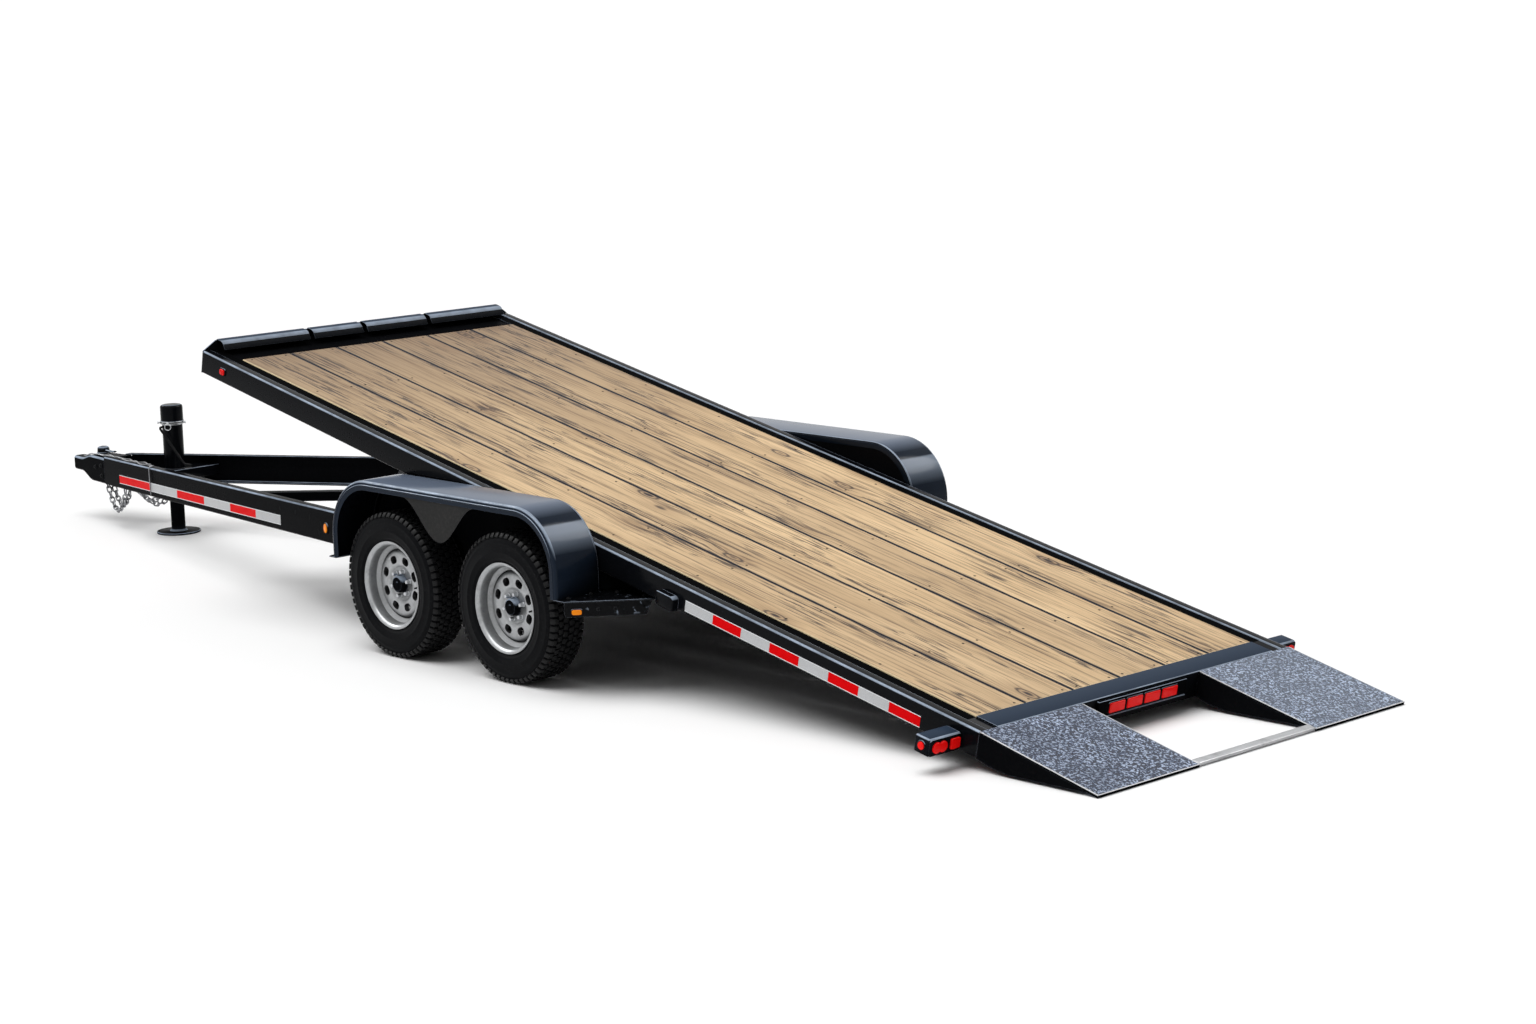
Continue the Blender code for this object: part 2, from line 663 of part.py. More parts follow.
def make_springs():
    """A pack of leaves under each axle end, curved up to its two eyes."""
    eye_z = spring_eye_z()
    for axle_name, axle_x in (("front", FRONT_AXLE_X), ("rear", REAR_AXLE_X)):
        for side_name, side in SIDES:
            pieces = []
            for leaf in range(LEAF_COUNT):
                half = SPRING_HALF_SPAN - LEAF_SHORTENING * leaf
                rear_line = []
                for step in range(SPRING_STEPS + 1):
                    past = (half - SPRING_FLAT) * step / SPRING_STEPS
                    height = eye_z - SPRING_SAG + SPRING_SAG * (past / (SPRING_HALF_SPAN - SPRING_FLAT)) ** 2
                    rear_line.append((SPRING_FLAT + past, height - leaf * (LEAF_THICK - LEAF_LAP)))
                front_line = [(-along, height) for along, height in reversed(rear_line)]
                top_line = [(axle_x + along, height) for along, height in front_line + rear_line]
                low_line = [(x, z - LEAF_THICK) for x, z in reversed(top_line)]
                near, far = sorted((side * SPRING_Y - SPRING_WIDTH / 2, side * SPRING_Y + SPRING_WIDTH / 2))
                pieces.append(prism(low_line + top_line, "y", near, far))
            for end in (-1.0, 1.0):
                x = axle_x + end * SPRING_HALF_SPAN
                near = side * SPRING_Y - SPRING_WIDTH / 2
                pieces.append(rod((x, near, eye_z), (x, near + SPRING_WIDTH, eye_z), EYE_RADIUS))
            finish(fuse(pieces), "leaf_spring_" + axle_name + "_" + side_name, "black_satin")


def make_equalizers():
    """A rocker between the two springs of each side, hung in the middle hanger."""
    eye_z = spring_eye_z()
    half = MID_TO_REAR_AXLE - SPRING_HALF_SPAN - EYE_RADIUS - SEAT
    for side_name, side in SIDES:
        outline = [
            (-half, eye_z - EQUALIZER_END_HALF),
            (0.0, eye_z - EQUALIZER_BELOW_EYE),
            (half, eye_z - EQUALIZER_END_HALF),
            (half, eye_z + EQUALIZER_END_HALF),
            (0.0, RAIL_TOP - RAIL_HEIGHT - SEAT),
            (-half, eye_z + EQUALIZER_END_HALF),
        ]
        near = side * SPRING_Y - EQUALIZER_HALF_WIDTH
        far = near + 2 * EQUALIZER_HALF_WIDTH
        rocker = prism(outline, "y", near, far)
        finish(rocker, "equalizer_" + side_name, "black_satin", None, (AXLE_MID_X, 0, 0))


def make_axles():
    """A tube with a spring seat, a backing plate and a spindle at each end."""
    backing_y = TYRE_INNER_Y - RUNNING - BACKING_THICK
    spindle_end = TYRE_INNER_Y + HUB_BORE_DEPTH - SPINDLE_END_GAP
    seat_top = spring_eye_z() - SPRING_SAG + SEAT
    for name, x in (("axle_front", FRONT_AXLE_X), ("axle_rear", REAR_AXLE_X)):
        tube_end = backing_y + BACKING_THICK / 2
        pieces = [rod((0, -tube_end, 0), (0, tube_end, 0), AXLE_TUBE_RADIUS, 20)]
        for side in (-1.0, 1.0):
            backing = (0, side * backing_y, 0)
            backing_face = (0, side * (backing_y + BACKING_THICK), 0)
            pieces.append(rod(backing, backing_face, BACKING_RADIUS, WHEEL_SEGMENTS))
            pieces.append(rod(backing, (0, side * spindle_end, 0), SPINDLE_RADIUS, 16))
            low = (-SPRING_SEAT_HALF, side * SPRING_Y - SPRING_WIDTH / 2, seat_top - TYRE_RADIUS)
            high = (SPRING_SEAT_HALF, side * SPRING_Y + SPRING_WIDTH / 2, -AXLE_TUBE_RADIUS / 2)
            pieces.append(block(low, high))
        finish(fuse(pieces), name, "black_satin", None, (x, 0, TYRE_RADIUS), True)


RIM_PROFILE = (
    # outward distance, radius
    (HUB_BORE_DEPTH, 0.0),
    (HUB_BORE_DEPTH, HUB_BORE_RADIUS),
    (0.0000, HUB_BORE_RADIUS),
    (0.0000, DRUM_RADIUS),
    (0.0800, DRUM_RADIUS),
    (0.0860, 0.0800),
    (0.1180, 0.0800),
    (0.1290, 0.0980),
    (0.1290, 0.1450),
    (0.1180, 0.1616),
    (0.0480, 0.1616),
    (0.0130, 0.1860),
    (0.0080, RIM_RADIUS),
    (0.0165, RIM_RADIUS),
    (0.0165, BEAD_RADIUS),
    (0.0540, 0.1666),
    (0.1200, 0.1666),
    (0.1300, 0.1905),
    (0.1885, BEAD_RADIUS),
    (0.1885, RIM_RADIUS),
    (0.1970, RIM_RADIUS),
    (0.1955, 0.1985),
    (0.1860, 0.1880),
    (0.1420, 0.1850),
    (0.1270, 0.1640),
    (0.1270, 0.1600),
    (0.1400, 0.1480),
    (0.1420, 0.1250),
    (0.1380, 0.0960),
    (0.1280, 0.0780),
    (0.1270, 0.0420),
    (0.1560, 0.0400),
    (0.1640, 0.0300),
    (0.1640, 0.0),
)

TYRE_PROFILE = (
    # outward distance, radius
    (0.0172, BEAD_RADIUS + 0.0005),
    (0.0172, RIM_RADIUS + 0.0020),
    (0.0020, 0.2500),
    (0.0020, 0.2900),
    (0.0160, 0.3330),
    (0.0360, 0.3435),
    (TYRE_WIDTH / 2, TYRE_RADIUS),
    (TYRE_WIDTH - 0.0360, 0.3435),
    (TYRE_WIDTH - 0.0160, 0.3330),
    (TYRE_WIDTH - 0.0020, 0.2900),
    (TYRE_WIDTH - 0.0020, 0.2500),
    (0.1878, RIM_RADIUS + 0.0020),
    (0.1878, BEAD_RADIUS + 0.0005),
)


def window_cutter(outward):
    """Eight oval bars in a ring, which cut the windows of a wheel's disc."""
    bm = bmesh.new()
    for window in range(WINDOW_COUNT):
        turn = 2 * math.pi * window / WINDOW_COUNT
        rings = []
        for along in (DRUM_RADIUS * 0.75, TYRE_WIDTH):
            ring = []
            for corner in range(WINDOW_CORNERS):
                angle = 2 * math.pi * (corner + 0.5) / WINDOW_CORNERS
                away = WINDOW_RING_RADIUS + WINDOW_HALF_RADIAL * math.cos(angle)
                across = WINDOW_HALF_ACROSS * math.sin(angle)
                x = away * math.cos(turn) - across * math.sin(turn)
                z = away * math.sin(turn) + across * math.cos(turn)
                ring.append(bm.verts.new((x, outward * along, z)))
            rings.append(ring)
            bm.faces.new(ring)
        for corner in range(WINDOW_CORNERS):
            after = (corner + 1) % WINDOW_CORNERS
            bm.faces.new((rings[0][corner], rings[0][after], rings[1][after], rings[1][corner]))
    return solid_from(bm, "windows")


def make_wheels():
    """Four wheels: a steel rim with its hub and drum, and a tyre, about one hub centre."""
    for axle_name, axle_x in (("front", FRONT_AXLE_X), ("rear", REAR_AXLE_X)):
        for side_name, side in SIDES:
            name = axle_name + "_" + side_name
            hub = empty("hub_" + name, (axle_x, side * TYRE_INNER_Y, TYRE_RADIUS))
            tyre = turned(TYRE_PROFILE, WHEEL_SEGMENTS, side)
            finish(tyre, "tyre_" + name, "tyre_rubber", hub, smooth=True)
            rim = fuse([turned(RIM_PROFILE, WHEEL_SEGMENTS, side)], [window_cutter(side)])
            finish(rim, "wheel_" + name, "wheel_silver", hub, smooth=True)


def fender_path():
    """The outer line of a fender in side view, from its front foot over the top to its rear."""
    side_centre = FENDER_HALF_LENGTH - FENDER_RADIUS
    arc_z = FENDER_TOP - FENDER_RADIUS
    points = [(-FENDER_HALF_LENGTH, FENDER_BOTTOM)]
    points += arc(-side_centre, arc_z, FENDER_RADIUS, 180, 90, FENDER_ARC_STEPS)
    points += arc(side_centre, arc_z, FENDER_RADIUS, 90, 0, FENDER_ARC_STEPS)
    points.append((FENDER_HALF_LENGTH, FENDER_BOTTOM))
    return points


def inset_path(points, depth):
    """The same side view line, moved inward towards the wheels by a depth."""
    side_centre = FENDER_HALF_LENGTH - FENDER_RADIUS
    arc_z = FENDER_TOP - FENDER_RADIUS
    moved = []
    for x, z in points:
        if z < arc_z:
            moved.append((x - math.copysign(depth, x), z))
            continue
        centre = math.copysign(side_centre, x)
        away = Vector((x - centre, z - arc_z))
        away = away.normalized() * (away.length - depth)
        moved.append((centre + away.x, arc_z + away.y))
    return moved


def valance_line():
    """The lower edge of the lip between the wheels, from rear to front: a smooth hanging bell."""
    low_top = FENDER_TOP - FENDER_LIP
    points = []
    for step in range(VALANCE_STEPS + 1):
        x = VALANCE_HALF_TOP * (1 - 2 * step / VALANCE_STEPS)
        depth = (low_top - VALANCE_BOTTOM) * (1 + math.cos(math.pi * x / VALANCE_HALF_TOP)) / 2
        points.append((x, low_top - depth))
    return points


def slab(start, end, depth, low, high):
    """An upright plate over the plan line from start to end, its depth to the line's right."""
    first = Vector(start)
    last = Vector(end)
    along = (last - first).normalized()
    off = Vector((along.y, -along.x)) * depth
    outline = [tuple(first), tuple(last), tuple(last + off), tuple(first + off)]
    return prism(outline, "z", low, high)


def fender_gussets(side):
    """Level plates at a fender's feet: a long triangle behind with its skirt and lamp, a short one ahead."""
    inner = FRAME_OUTER_Y + SEAT
    low = GUSSET_TOP - GUSSET_THICK
    rear_foot = FENDER_HALF_LENGTH - GUSSET_UNDER_FOOT
    corner = (rear_foot + GUSSET_STRAIGHT, side * FENDER_OUTER_Y)
    tip = (rear_foot + GUSSET_LENGTH, side * (inner + GUSSET_END_WIDTH))
    rear = [
        (rear_foot, side * inner),
        (tip[0], side * inner),
        tip,
        corner,
        (rear_foot, side * FENDER_OUTER_Y),
    ]
    front_foot = -rear_foot
    front = [
        (front_foot, side * inner),
        (front_foot - FRONT_GUSSET_LENGTH, side * inner),
        (front_foot - FRONT_GUSSET_STRAIGHT, side * FENDER_OUTER_Y),
        (front_foot, side * FENDER_OUTER_Y),
    ]
    pieces = [prism(rear, "z", low, GUSSET_TOP), prism(front, "z", low, GUSSET_TOP)]
    pieces.append(slab(corner, tip, -side * GUSSET_THICK, GUSSET_TOP - GUSSET_SKIRT, GUSSET_TOP - WELD / 2))
    along = (Vector(tip) - Vector(corner)).normalized()
    lamp_start = Vector(corner) + along * GUSSET_LAMP_START
    lamp_end = lamp_start + along * GUSSET_LAMP_LENGTH
    inward = Vector((along.y, -along.x)) * (-side * GUSSET_THICK / 2)
    lamp_high = GUSSET_TOP - GUSSET_LAMP_DROP
    depth = side * (GUSSET_LAMP_DEPTH + GUSSET_THICK / 2)
    lamp_low = lamp_high - GUSSET_LAMP_HEIGHT
    pieces.append(slab(lamp_start + inward, lamp_end + inward, depth, lamp_low, lamp_high))
    return pieces


def make_fenders():
    """A skin over both wheels, an outer lip with the valance, an inner wall and the foot plates."""
    outer_line = fender_path()
    for side_name, side in SIDES:
        skin_line = outer_line + inset_path(outer_line, FENDER_WALL)[::-1]
        near, far = sorted((side * FENDER_INNER_Y, side * FENDER_OUTER_Y))
        pieces = [prism(skin_line, "y", near, far)]
        lip_in = inset_path(outer_line, FENDER_LIP)[::-1]
        middle = [index for index, point in enumerate(lip_in) if point[0] > 0][-1] + 1
        lip_line = outer_line + lip_in[:middle] + valance_line() + lip_in[middle:]
        near, far = sorted((side * FENDER_OUTER_Y, side * (FENDER_OUTER_Y - FENDER_WALL)))
        pieces.append(prism(lip_line, "y", near, far))
        wall_line = outer_line[1:-1]
        near, far = sorted((side * FENDER_INNER_Y, side * (FENDER_INNER_Y + FENDER_WALL)))
        pieces.append(prism(wall_line, "y", near, far))
        pieces += fender_gussets(side)
        finish(fuse(pieces), "fender_" + side_name, "black_paint", None, (AXLE_MID_X, 0, 0), True)


def make_coupler():
    """A coupler with deep cheeks behind a round nose, its ball socket and its latch."""
    rail_top = tongue_top(TONGUE_FRONT_X)
    rail_low = rail_top - RAIL_HEIGHT
    top = rail_top - COUPLER_TOP_DROP
    nose_top = rail_top - COUPLER_NOSE_DROP
    nose_low = nose_top - COUPLER_NOSE_HEIGHT
    rear = COUPLER_REAR_WIDTH / 2
    rear_x = TONGUE_FRONT_X - SEAT
    nose_centre = NOSE_X + COUPLER_NOSE_RADIUS
    outline = [(rear_x, rear), (nose_centre, COUPLER_NOSE_RADIUS)]
    for step in range(1, 8):
        angle = math.pi / 2 + math.pi * step / 8
        across = COUPLER_NOSE_RADIUS * math.sin(angle)
        outline.append((nose_centre + COUPLER_NOSE_RADIUS * math.cos(angle), across))
    outline += [(nose_centre, -COUPLER_NOSE_RADIUS), (rear_x, -rear)]
    nose = prism(outline, "z", nose_low, nose_top)
    start = NOSE_X + COUPLER_NOSE_LENGTH
    full = start + COUPLER_CHEEK_LENGTH
    sections = []
    for x, high, low in ((start, nose_top, nose_low), (full, top, rail_low), (rear_x, top, rail_low)):
        half = rear - (rear - COUPLER_NOSE_RADIUS) * (rear_x - x) / (rear_x - nose_centre)
        sections.append([(x, -half, low), (x, half, low), (x, half, high), (x, -half, high)])
    cheeks = [loft(sections[0], sections[1]), loft(sections[1], sections[2])]
    bm = bmesh.new()
    bmesh.ops.create_uvsphere(bm, u_segments=16, v_segments=10, radius=BALL_SOCKET_RADIUS)
    socket_x = nose_centre + BALL_SOCKET_BEHIND
    bmesh.ops.translate(bm, vec=(socket_x, 0.0, nose_low + BALL_SOCKET_UP), verts=bm.verts)
    socket = solid_from(bm, "socket")
    finish(fuse([nose] + cheeks, [socket]), "coupler", "black_paint")
    x = NOSE_X + LATCH_BEHIND_NOSE + LATCH_RADIUS
    latch = [rod((x, 0, top + SEAT), (x, 0, top + LATCH_HEIGHT), LATCH_RADIUS, 20)]
    lever_low = (x - WELD, -LATCH_LEVER_HALF, top + LATCH_LEVER_LOW)
    lever_high = (x + LATCH_LEVER_LENGTH, LATCH_LEVER_HALF, top + LATCH_LEVER_HIGH)
    latch.append(block(lever_low, lever_high))
    finish(fuse(latch), "coupler_latch", "black_paint")


def make_jack():
    """A round jack tube on a beam between the tongue rails, and the leg that slides in it."""
    front_x = JACK_X - JACK_BEAM_LENGTH / 2
    rear_x = JACK_X + JACK_BEAM_LENGTH / 2
    reach = [tongue_inside_y(x) for x in (front_x, rear_x)]
    beam_low = tongue_top(JACK_X) - RAIL_HEIGHT / 2 - JACK_BEAM_HEIGHT / 2
    outline = [(front_x, -reach[0]), (rear_x, -reach[1]), (rear_x, reach[1]), (front_x, reach[0])]
    pieces = [prism(outline, "z", beam_low, beam_low + JACK_BEAM_HEIGHT)]
    cap_low = JACK_TOP - JACK_CAP_HEIGHT
    collar_low = cap_low - JACK_COLLAR_HEIGHT
    pieces.append(rod((JACK_X, 0, JACK_TUBE_BOTTOM), (JACK_X, 0, cap_low + WELD), JACK_TUBE_RADIUS, 24))
    pieces.append(rod((JACK_X, 0, cap_low), (JACK_X, 0, JACK_TOP), JACK_CAP_RADIUS, 24))
    pieces.append(rod((JACK_X, 0, collar_low), (JACK_X, 0, cap_low + WELD), JACK_COLLAR_RADIUS, 24))
    bore_low = (JACK_X, 0, JACK_TUBE_BOTTOM - JACK_CAP_HEIGHT)
    bore = rod(bore_low, (JACK_X, 0, JACK_TOP - JACK_CAP_WALL), JACK_BORE_RADIUS, 24)
    finish(fuse(pieces, [bore]), "jack_tube", "black_paint", smooth=True)
    crank_z = collar_low - 2 * CRANK_RADIUS
    side_y = -JACK_TUBE_RADIUS - SEAT
    out_y = side_y - CRANK_OUT
    low_z = crank_z - CRANK_DOWN
    route = (
        (JACK_X, side_y, crank_z),
        (JACK_X, out_y, crank_z),
        (JACK_X + CRANK_ALONG, out_y, low_z),
        (JACK_X + CRANK_ALONG + CRANK_GRIP, out_y, low_z),
    )
    pieces = []
    for first, second in zip(route, route[1:]):
        pieces.append(rod(first, second, CRANK_RADIUS, 8))
        bm = bmesh.new()
        bmesh.ops.create_icosphere(bm, subdivisions=1, radius=CRANK_RADIUS * 1.1)
        bmesh.ops.translate(bm, vec=second, verts=bm.verts)
        pieces.append(solid_from(bm, "bend"))
    finish(fuse(pieces), "jack_handle", "black_satin")
    leg = [rod((0, 0, JACK_FOOT_THICK / 2), (0, 0, JACK_LEG_TOP), JACK_LEG_RADIUS, 24)]
    leg.append(rod((0, 0, 0.0), (0, 0, JACK_FOOT_THICK), JACK_FOOT_RADIUS, 28))
    guide_low = (0, 0, JACK_LEG_TOP - JACK_GUIDE_HEIGHT)
    leg.append(rod(guide_low, (0, 0, JACK_LEG_TOP + SEAT), JACK_BORE_RADIUS - 2 * SEAT, 24))
    finish(fuse(leg), "jack_leg", "black_paint", None, (JACK_X, 0, 0), True)


def chain_link(centre, direction, roll):
    """One oval link of round wire, its long way along a direction."""
    straight = (CHAIN_LINK_LENGTH - CHAIN_LINK_WIDTH) / 2
    bend = CHAIN_LINK_WIDTH / 2 - CHAIN_WIRE_RADIUS
    route = []
    for step in range(CHAIN_BEND_STEPS):
        angle = 2 * math.pi * (step + 0.5) / CHAIN_BEND_STEPS
        push = math.copysign(straight, math.cos(angle))
        route.append(Vector((bend * math.cos(angle) + push, bend * math.sin(angle), 0.0)))
    bm = bmesh.new()
    rings = []
    for step, point in enumerate(route):
        tangent = (route[(step + 1) % CHAIN_BEND_STEPS] - route[step - 1]).normalized()
        side = Vector((0, 0, 1)).cross(tangent)
        ring = []
        for turn in range(CHAIN_WIRE_SIDES):
            angle = 2 * math.pi * turn / CHAIN_WIRE_SIDES
            offset = side * math.cos(angle) + Vector((0, 0, 1)) * math.sin(angle)
            ring.append(bm.verts.new(point + offset * CHAIN_WIRE_RADIUS))
        rings.append(ring)
    for step in range(CHAIN_BEND_STEPS):
        after = rings[(step + 1) % CHAIN_BEND_STEPS]
        for turn in range(CHAIN_WIRE_SIDES):
            beside = (turn + 1) % CHAIN_WIRE_SIDES
            bm.faces.new((rings[step][turn], rings[step][beside], after[beside], after[turn]))
    spin = Matrix.Rotation(roll, 4, "X")
    aim = Vector(direction).to_track_quat("X", "Z").to_matrix().to_4x4()
    bmesh.ops.transform(bm, matrix=Matrix.Translation(centre) @ aim @ spin, verts=bm.verts)
    return solid_from(bm, "link")


def chain_places(side):
    """Link centres at one pitch along a hanging loop, from the tongue's front end rearwards."""
    pitch = CHAIN_LINK_LENGTH - 4 * CHAIN_WIRE_RADIUS + CHAIN_BITE
    front_x = TONGUE_FRONT_X + CHAIN_START
    samples = 400
    places = []
    walked = pitch
    last = None
    for step in range(samples + 1):
        share = step / samples
        x = front_x + CHAIN_SPAN * share
        bottom = tongue_top(x) - RAIL_HEIGHT
        z = bottom - CHAIN_LINK_LENGTH / 2 - SEAT - CHAIN_DROP * 4 * share * (1 - share)
        here = Vector((x, side * (tongue_y(x) - CHAIN_INSET), z))
        if last:
            walked += (here - last).length
        last = here
        if walked >= pitch:
            places.append(here)
            walked -= pitch
    return places


def make_chains():
    """A safety chain hung in a loop below the front end of each tongue rail."""
    for side_name, side in SIDES:
        places = chain_places(side)
        links = []
        for index, place in enumerate(places):
            before = places[max(0, index - 1)]
            after = places[min(len(places) - 1, index + 1)]
            links.append(chain_link(place, after - before, (index % 2) * math.pi / 2))
        for place, after in ((places[0], places[1]), (places[-1], places[-2])):
            hook = place - (after - place).normalized() * (CHAIN_LINK_LENGTH / 2 - CHAIN_WIRE_RADIUS)
            hook.z -= CHAIN_WIRE_RADIUS
            top = Vector((hook.x, hook.y, tongue_top(hook.x) - RAIL_HEIGHT - 2 * SEAT))
            links.append(rod(hook, top, CHAIN_HOOK_RADIUS, 8))
        finish(fuse(links), "safety_chain_" + side_name, "zinc_steel", smooth=True)


def pivot_ear(side):
    """A hinge plate below a side rail, with a hole for the frame's pivot pin."""
    near = side * (DECK_HALF_WIDTH - SIDE_FLANGE + EAR_INSET)
    far = near + side * EAR_THICK
    outline = [(-EAR_HALF_WIDTH, DECK_BOTTOM + WELD)]
    outline += arc(0.0, 0.0, EAR_RADIUS, 180, 360, 10)
    outline.append((EAR_HALF_WIDTH, DECK_BOTTOM + WELD))
    plate = prism(outline, "y", *sorted((near, far)))
    hole = rod((0, near - side * EAR_THICK, 0), (0, far + side * EAR_THICK, 0), PIVOT_HOLE_RADIUS, 16)
    return fuse([plate], [hole])


def side_block(side):
    """The rounded block on a side rail's outer face behind the fender."""
    start = SIDE_BLOCK_BEHIND
    end = start + SIDE_BLOCK_LENGTH
    top = DECK_TOP - SIDE_BLOCK_DROP
    outline = [(start, top), (start, top - SIDE_BLOCK_HEIGHT), (end, top - SIDE_BLOCK_HEIGHT)]
    outline += arc(end - SIDE_BLOCK_ROUND, top - SIDE_BLOCK_ROUND, SIDE_BLOCK_ROUND, 0, 90, 4)
    near = side * (DECK_HALF_WIDTH - WELD)
    return prism(outline, "y", *sorted((near, side * (DECK_HALF_WIDTH + SIDE_BLOCK_REACH))))


def front_marker(side):
    """The small lamp on a side rail's outer face near the deck's front."""
    x = MARKER_BEHIND - DECK_AHEAD
    middle = (DECK_TOP + DECK_BOTTOM) / 2
    near, far = sorted((side * (DECK_HALF_WIDTH - WELD), side * (DECK_HALF_WIDTH + MARKER_DEPTH)))
    low = (x - MARKER_WIDTH / 2, near, middle - MARKER_HEIGHT / 2)
    return block(low, (x + MARKER_WIDTH / 2, far, middle + MARKER_HEIGHT / 2))


def make_deck_rails(deck):
    """The deck's side channels with an inner ledge beside the boards and the pivot ears."""
    outer = DECK_HALF_WIDTH
    inner = outer - SIDE_FLANGE
    for side_name, side in SIDES:
        corners = [
            (outer, DECK_BOTTOM),
            (outer, DECK_TOP),
            (inner, DECK_TOP),
            (inner, DECK_TOP - LEDGE_DROP + SIDE_WALL),
            (LEDGE_Y, DECK_TOP - LEDGE_DROP + SIDE_WALL),
            (LEDGE_Y, DECK_TOP - LEDGE_DROP),
            (outer - SIDE_WALL, DECK_TOP - LEDGE_DROP),
            (outer - SIDE_WALL, DECK_BOTTOM + SIDE_WALL),
            (inner, DECK_BOTTOM + SIDE_WALL),
            (inner, DECK_BOTTOM),
        ]
        outline = [(side * y, z) for y, z in corners]
        start = -DECK_AHEAD + BULKHEAD_WALL + SEAT
        pieces = [prism(outline, "x", start, DECK_BEHIND)]
        pieces += [pivot_ear(side), side_block(side), front_marker(side)]
        finish(fuse(pieces), "deck_rail_" + side_name, "black_paint", deck)


def make_deck_frame(deck):
    """Joists under the boards, joined by two stringers, with the cylinder's upper clevis."""
    reach = DECK_HALF_WIDTH - SIDE_WALL - SEAT
    first = WOOD_START + JOIST_WIDTH / 2
    last = WOOD_END - JOIST_WIDTH / 2
    joist_top = min(JOIST_TOP, DECK_TOP - LEDGE_DROP - SEAT)
    pieces = []
    for side in (-1.0, 1.0):
        near = side * STRINGER_Y - STRINGER_WIDTH / 2
        far = near + STRINGER_WIDTH
        low = (first - STRINGER_OVERHANG, near, JOIST_BOTTOM + STRINGER_INSET)
        pieces.append(block(low, (last + STRINGER_OVERHANG, far, joist_top - STRINGER_INSET)))
    for index in range(JOIST_COUNT):
        x = first + (last - first) * index / (JOIST_COUNT - 1)
        low = (x - JOIST_WIDTH / 2, -reach, JOIST_BOTTOM)
        pieces.append(block(low, (x + JOIST_WIDTH / 2, reach, joist_top)))
    low = (-ROD_PIN_AHEAD - BRIDGE_HALF, -STRINGER_Y, JOIST_BOTTOM + 2 * STRINGER_INSET)
    pieces.append(block(low, (-ROD_PIN_AHEAD + BRIDGE_HALF, STRINGER_Y, joist_top - 2 * STRINGER_INSET)))
    inner = CYLINDER_EYE_HALF + CLEVIS_GAP
    for side in (-1.0, 1.0):
        near, far = sorted((side * inner, side * (inner + CLEVIS_WALL)))
        low = (-ROD_PIN_AHEAD - CLEVIS_REACH, near, ROD_PIN_RISE - CLEVIS_REACH)
        high = (-ROD_PIN_AHEAD + CLEVIS_REACH, far, JOIST_BOTTOM + 2 * STRINGER_INSET + WELD)
        pieces.append(block(low, high))
    finish(fuse(pieces), "deck_frame", "black_satin", deck)


def make_floor(deck):
    """The wooden floor: long boards side by side, parted by grooves."""
    outline = [(-WOOD_HALF_WIDTH, WOOD_BOTTOM), (WOOD_HALF_WIDTH, WOOD_BOTTOM), (WOOD_HALF_WIDTH, WOOD_TOP)]
    edge = WOOD_HALF_WIDTH
    for _ in range(BOARD_COUNT - 1):
        edge -= BOARD_WIDTH
        outline += [(edge, WOOD_TOP), (edge, WOOD_TOP - GROOVE_DEPTH)]
        edge -= BOARD_GROOVE
        outline += [(edge, WOOD_TOP - GROOVE_DEPTH), (edge, WOOD_TOP)]
    outline.append((-WOOD_HALF_WIDTH, WOOD_TOP))
    finish(prism(outline, "x", WOOD_START, WOOD_END), "floor_boards", "pine_wood", deck)


def make_bulkhead(deck):
    """The folded plate across the deck's front: a raised lip, its face and a shelf to the boards."""
    front = -DECK_AHEAD
    lip = DECK_TOP + BULKHEAD_RISE
    half = DECK_HALF_WIDTH
    face = [
        (-half, DECK_BOTTOM),
        (half, DECK_BOTTOM),
        (half, DECK_TOP),
        (half - BULKHEAD_TAPER, lip),
        (BULKHEAD_TAPER - half, lip),
        (-half, DECK_TOP),
    ]
    pieces = [prism(face, "x", front, front + BULKHEAD_WALL)]
    lip_half = half - BULKHEAD_TAPER
    low = (front, -lip_half, lip - BULKHEAD_WALL)
    pieces.append(block(low, (front + BULKHEAD_FLANGE, lip_half, lip)))
    shelf_half = LEDGE_Y - SEAT
    shelf_top = DECK_TOP - BULKHEAD_SHELF_DROP
    low = (front + BULKHEAD_WALL / 2, -shelf_half, shelf_top - BULKHEAD_SHELF_THICK)
    pieces.append(block(low, (WOOD_START - SEAT, shelf_half, shelf_top)))
    cuts = []
    for y in NOTCHES_Y:
        low = (front - WELD, y - NOTCH_WIDTH / 2, lip - NOTCH_DEPTH)
        high = (front + BULKHEAD_FLANGE + WELD, y + NOTCH_WIDTH / 2, lip + NOTCH_DEPTH)
        cuts.append(block(low, high))
    finish(fuse(pieces, cuts), "bulkhead", "black_paint", deck)


def make_rear_header(deck):
    """The steel strip behind the boards and the face below it."""
    half = LEDGE_Y - SEAT
    start = DECK_BEHIND - HEADER_LENGTH
    outline = [
        (start, DECK_TOP - HEADER_WALL),
        (start, DECK_TOP),
        (DECK_BEHIND, DECK_TOP),
        (DECK_BEHIND, DECK_BOTTOM),
        (DECK_BEHIND - HEADER_WALL, DECK_BOTTOM),
        (DECK_BEHIND - HEADER_WALL, DECK_TOP - HEADER_WALL),
    ]
    finish(prism(outline, "y", -half, half), "rear_header", "blue_grey_steel", deck)


def plate_top(along):
    """Height of the approach plates' top face over the deck's hinge."""
    return DECK_TOP - (along - DECK_BEHIND) * math.tan(KNEE)


def over_ground(along, gap):
    """Height over the hinge, on the level deck, of what stands a gap above the ground when tilted."""
    return (gap - PIVOT_Z + along * math.sin(REST_TILT)) / math.cos(REST_TILT)


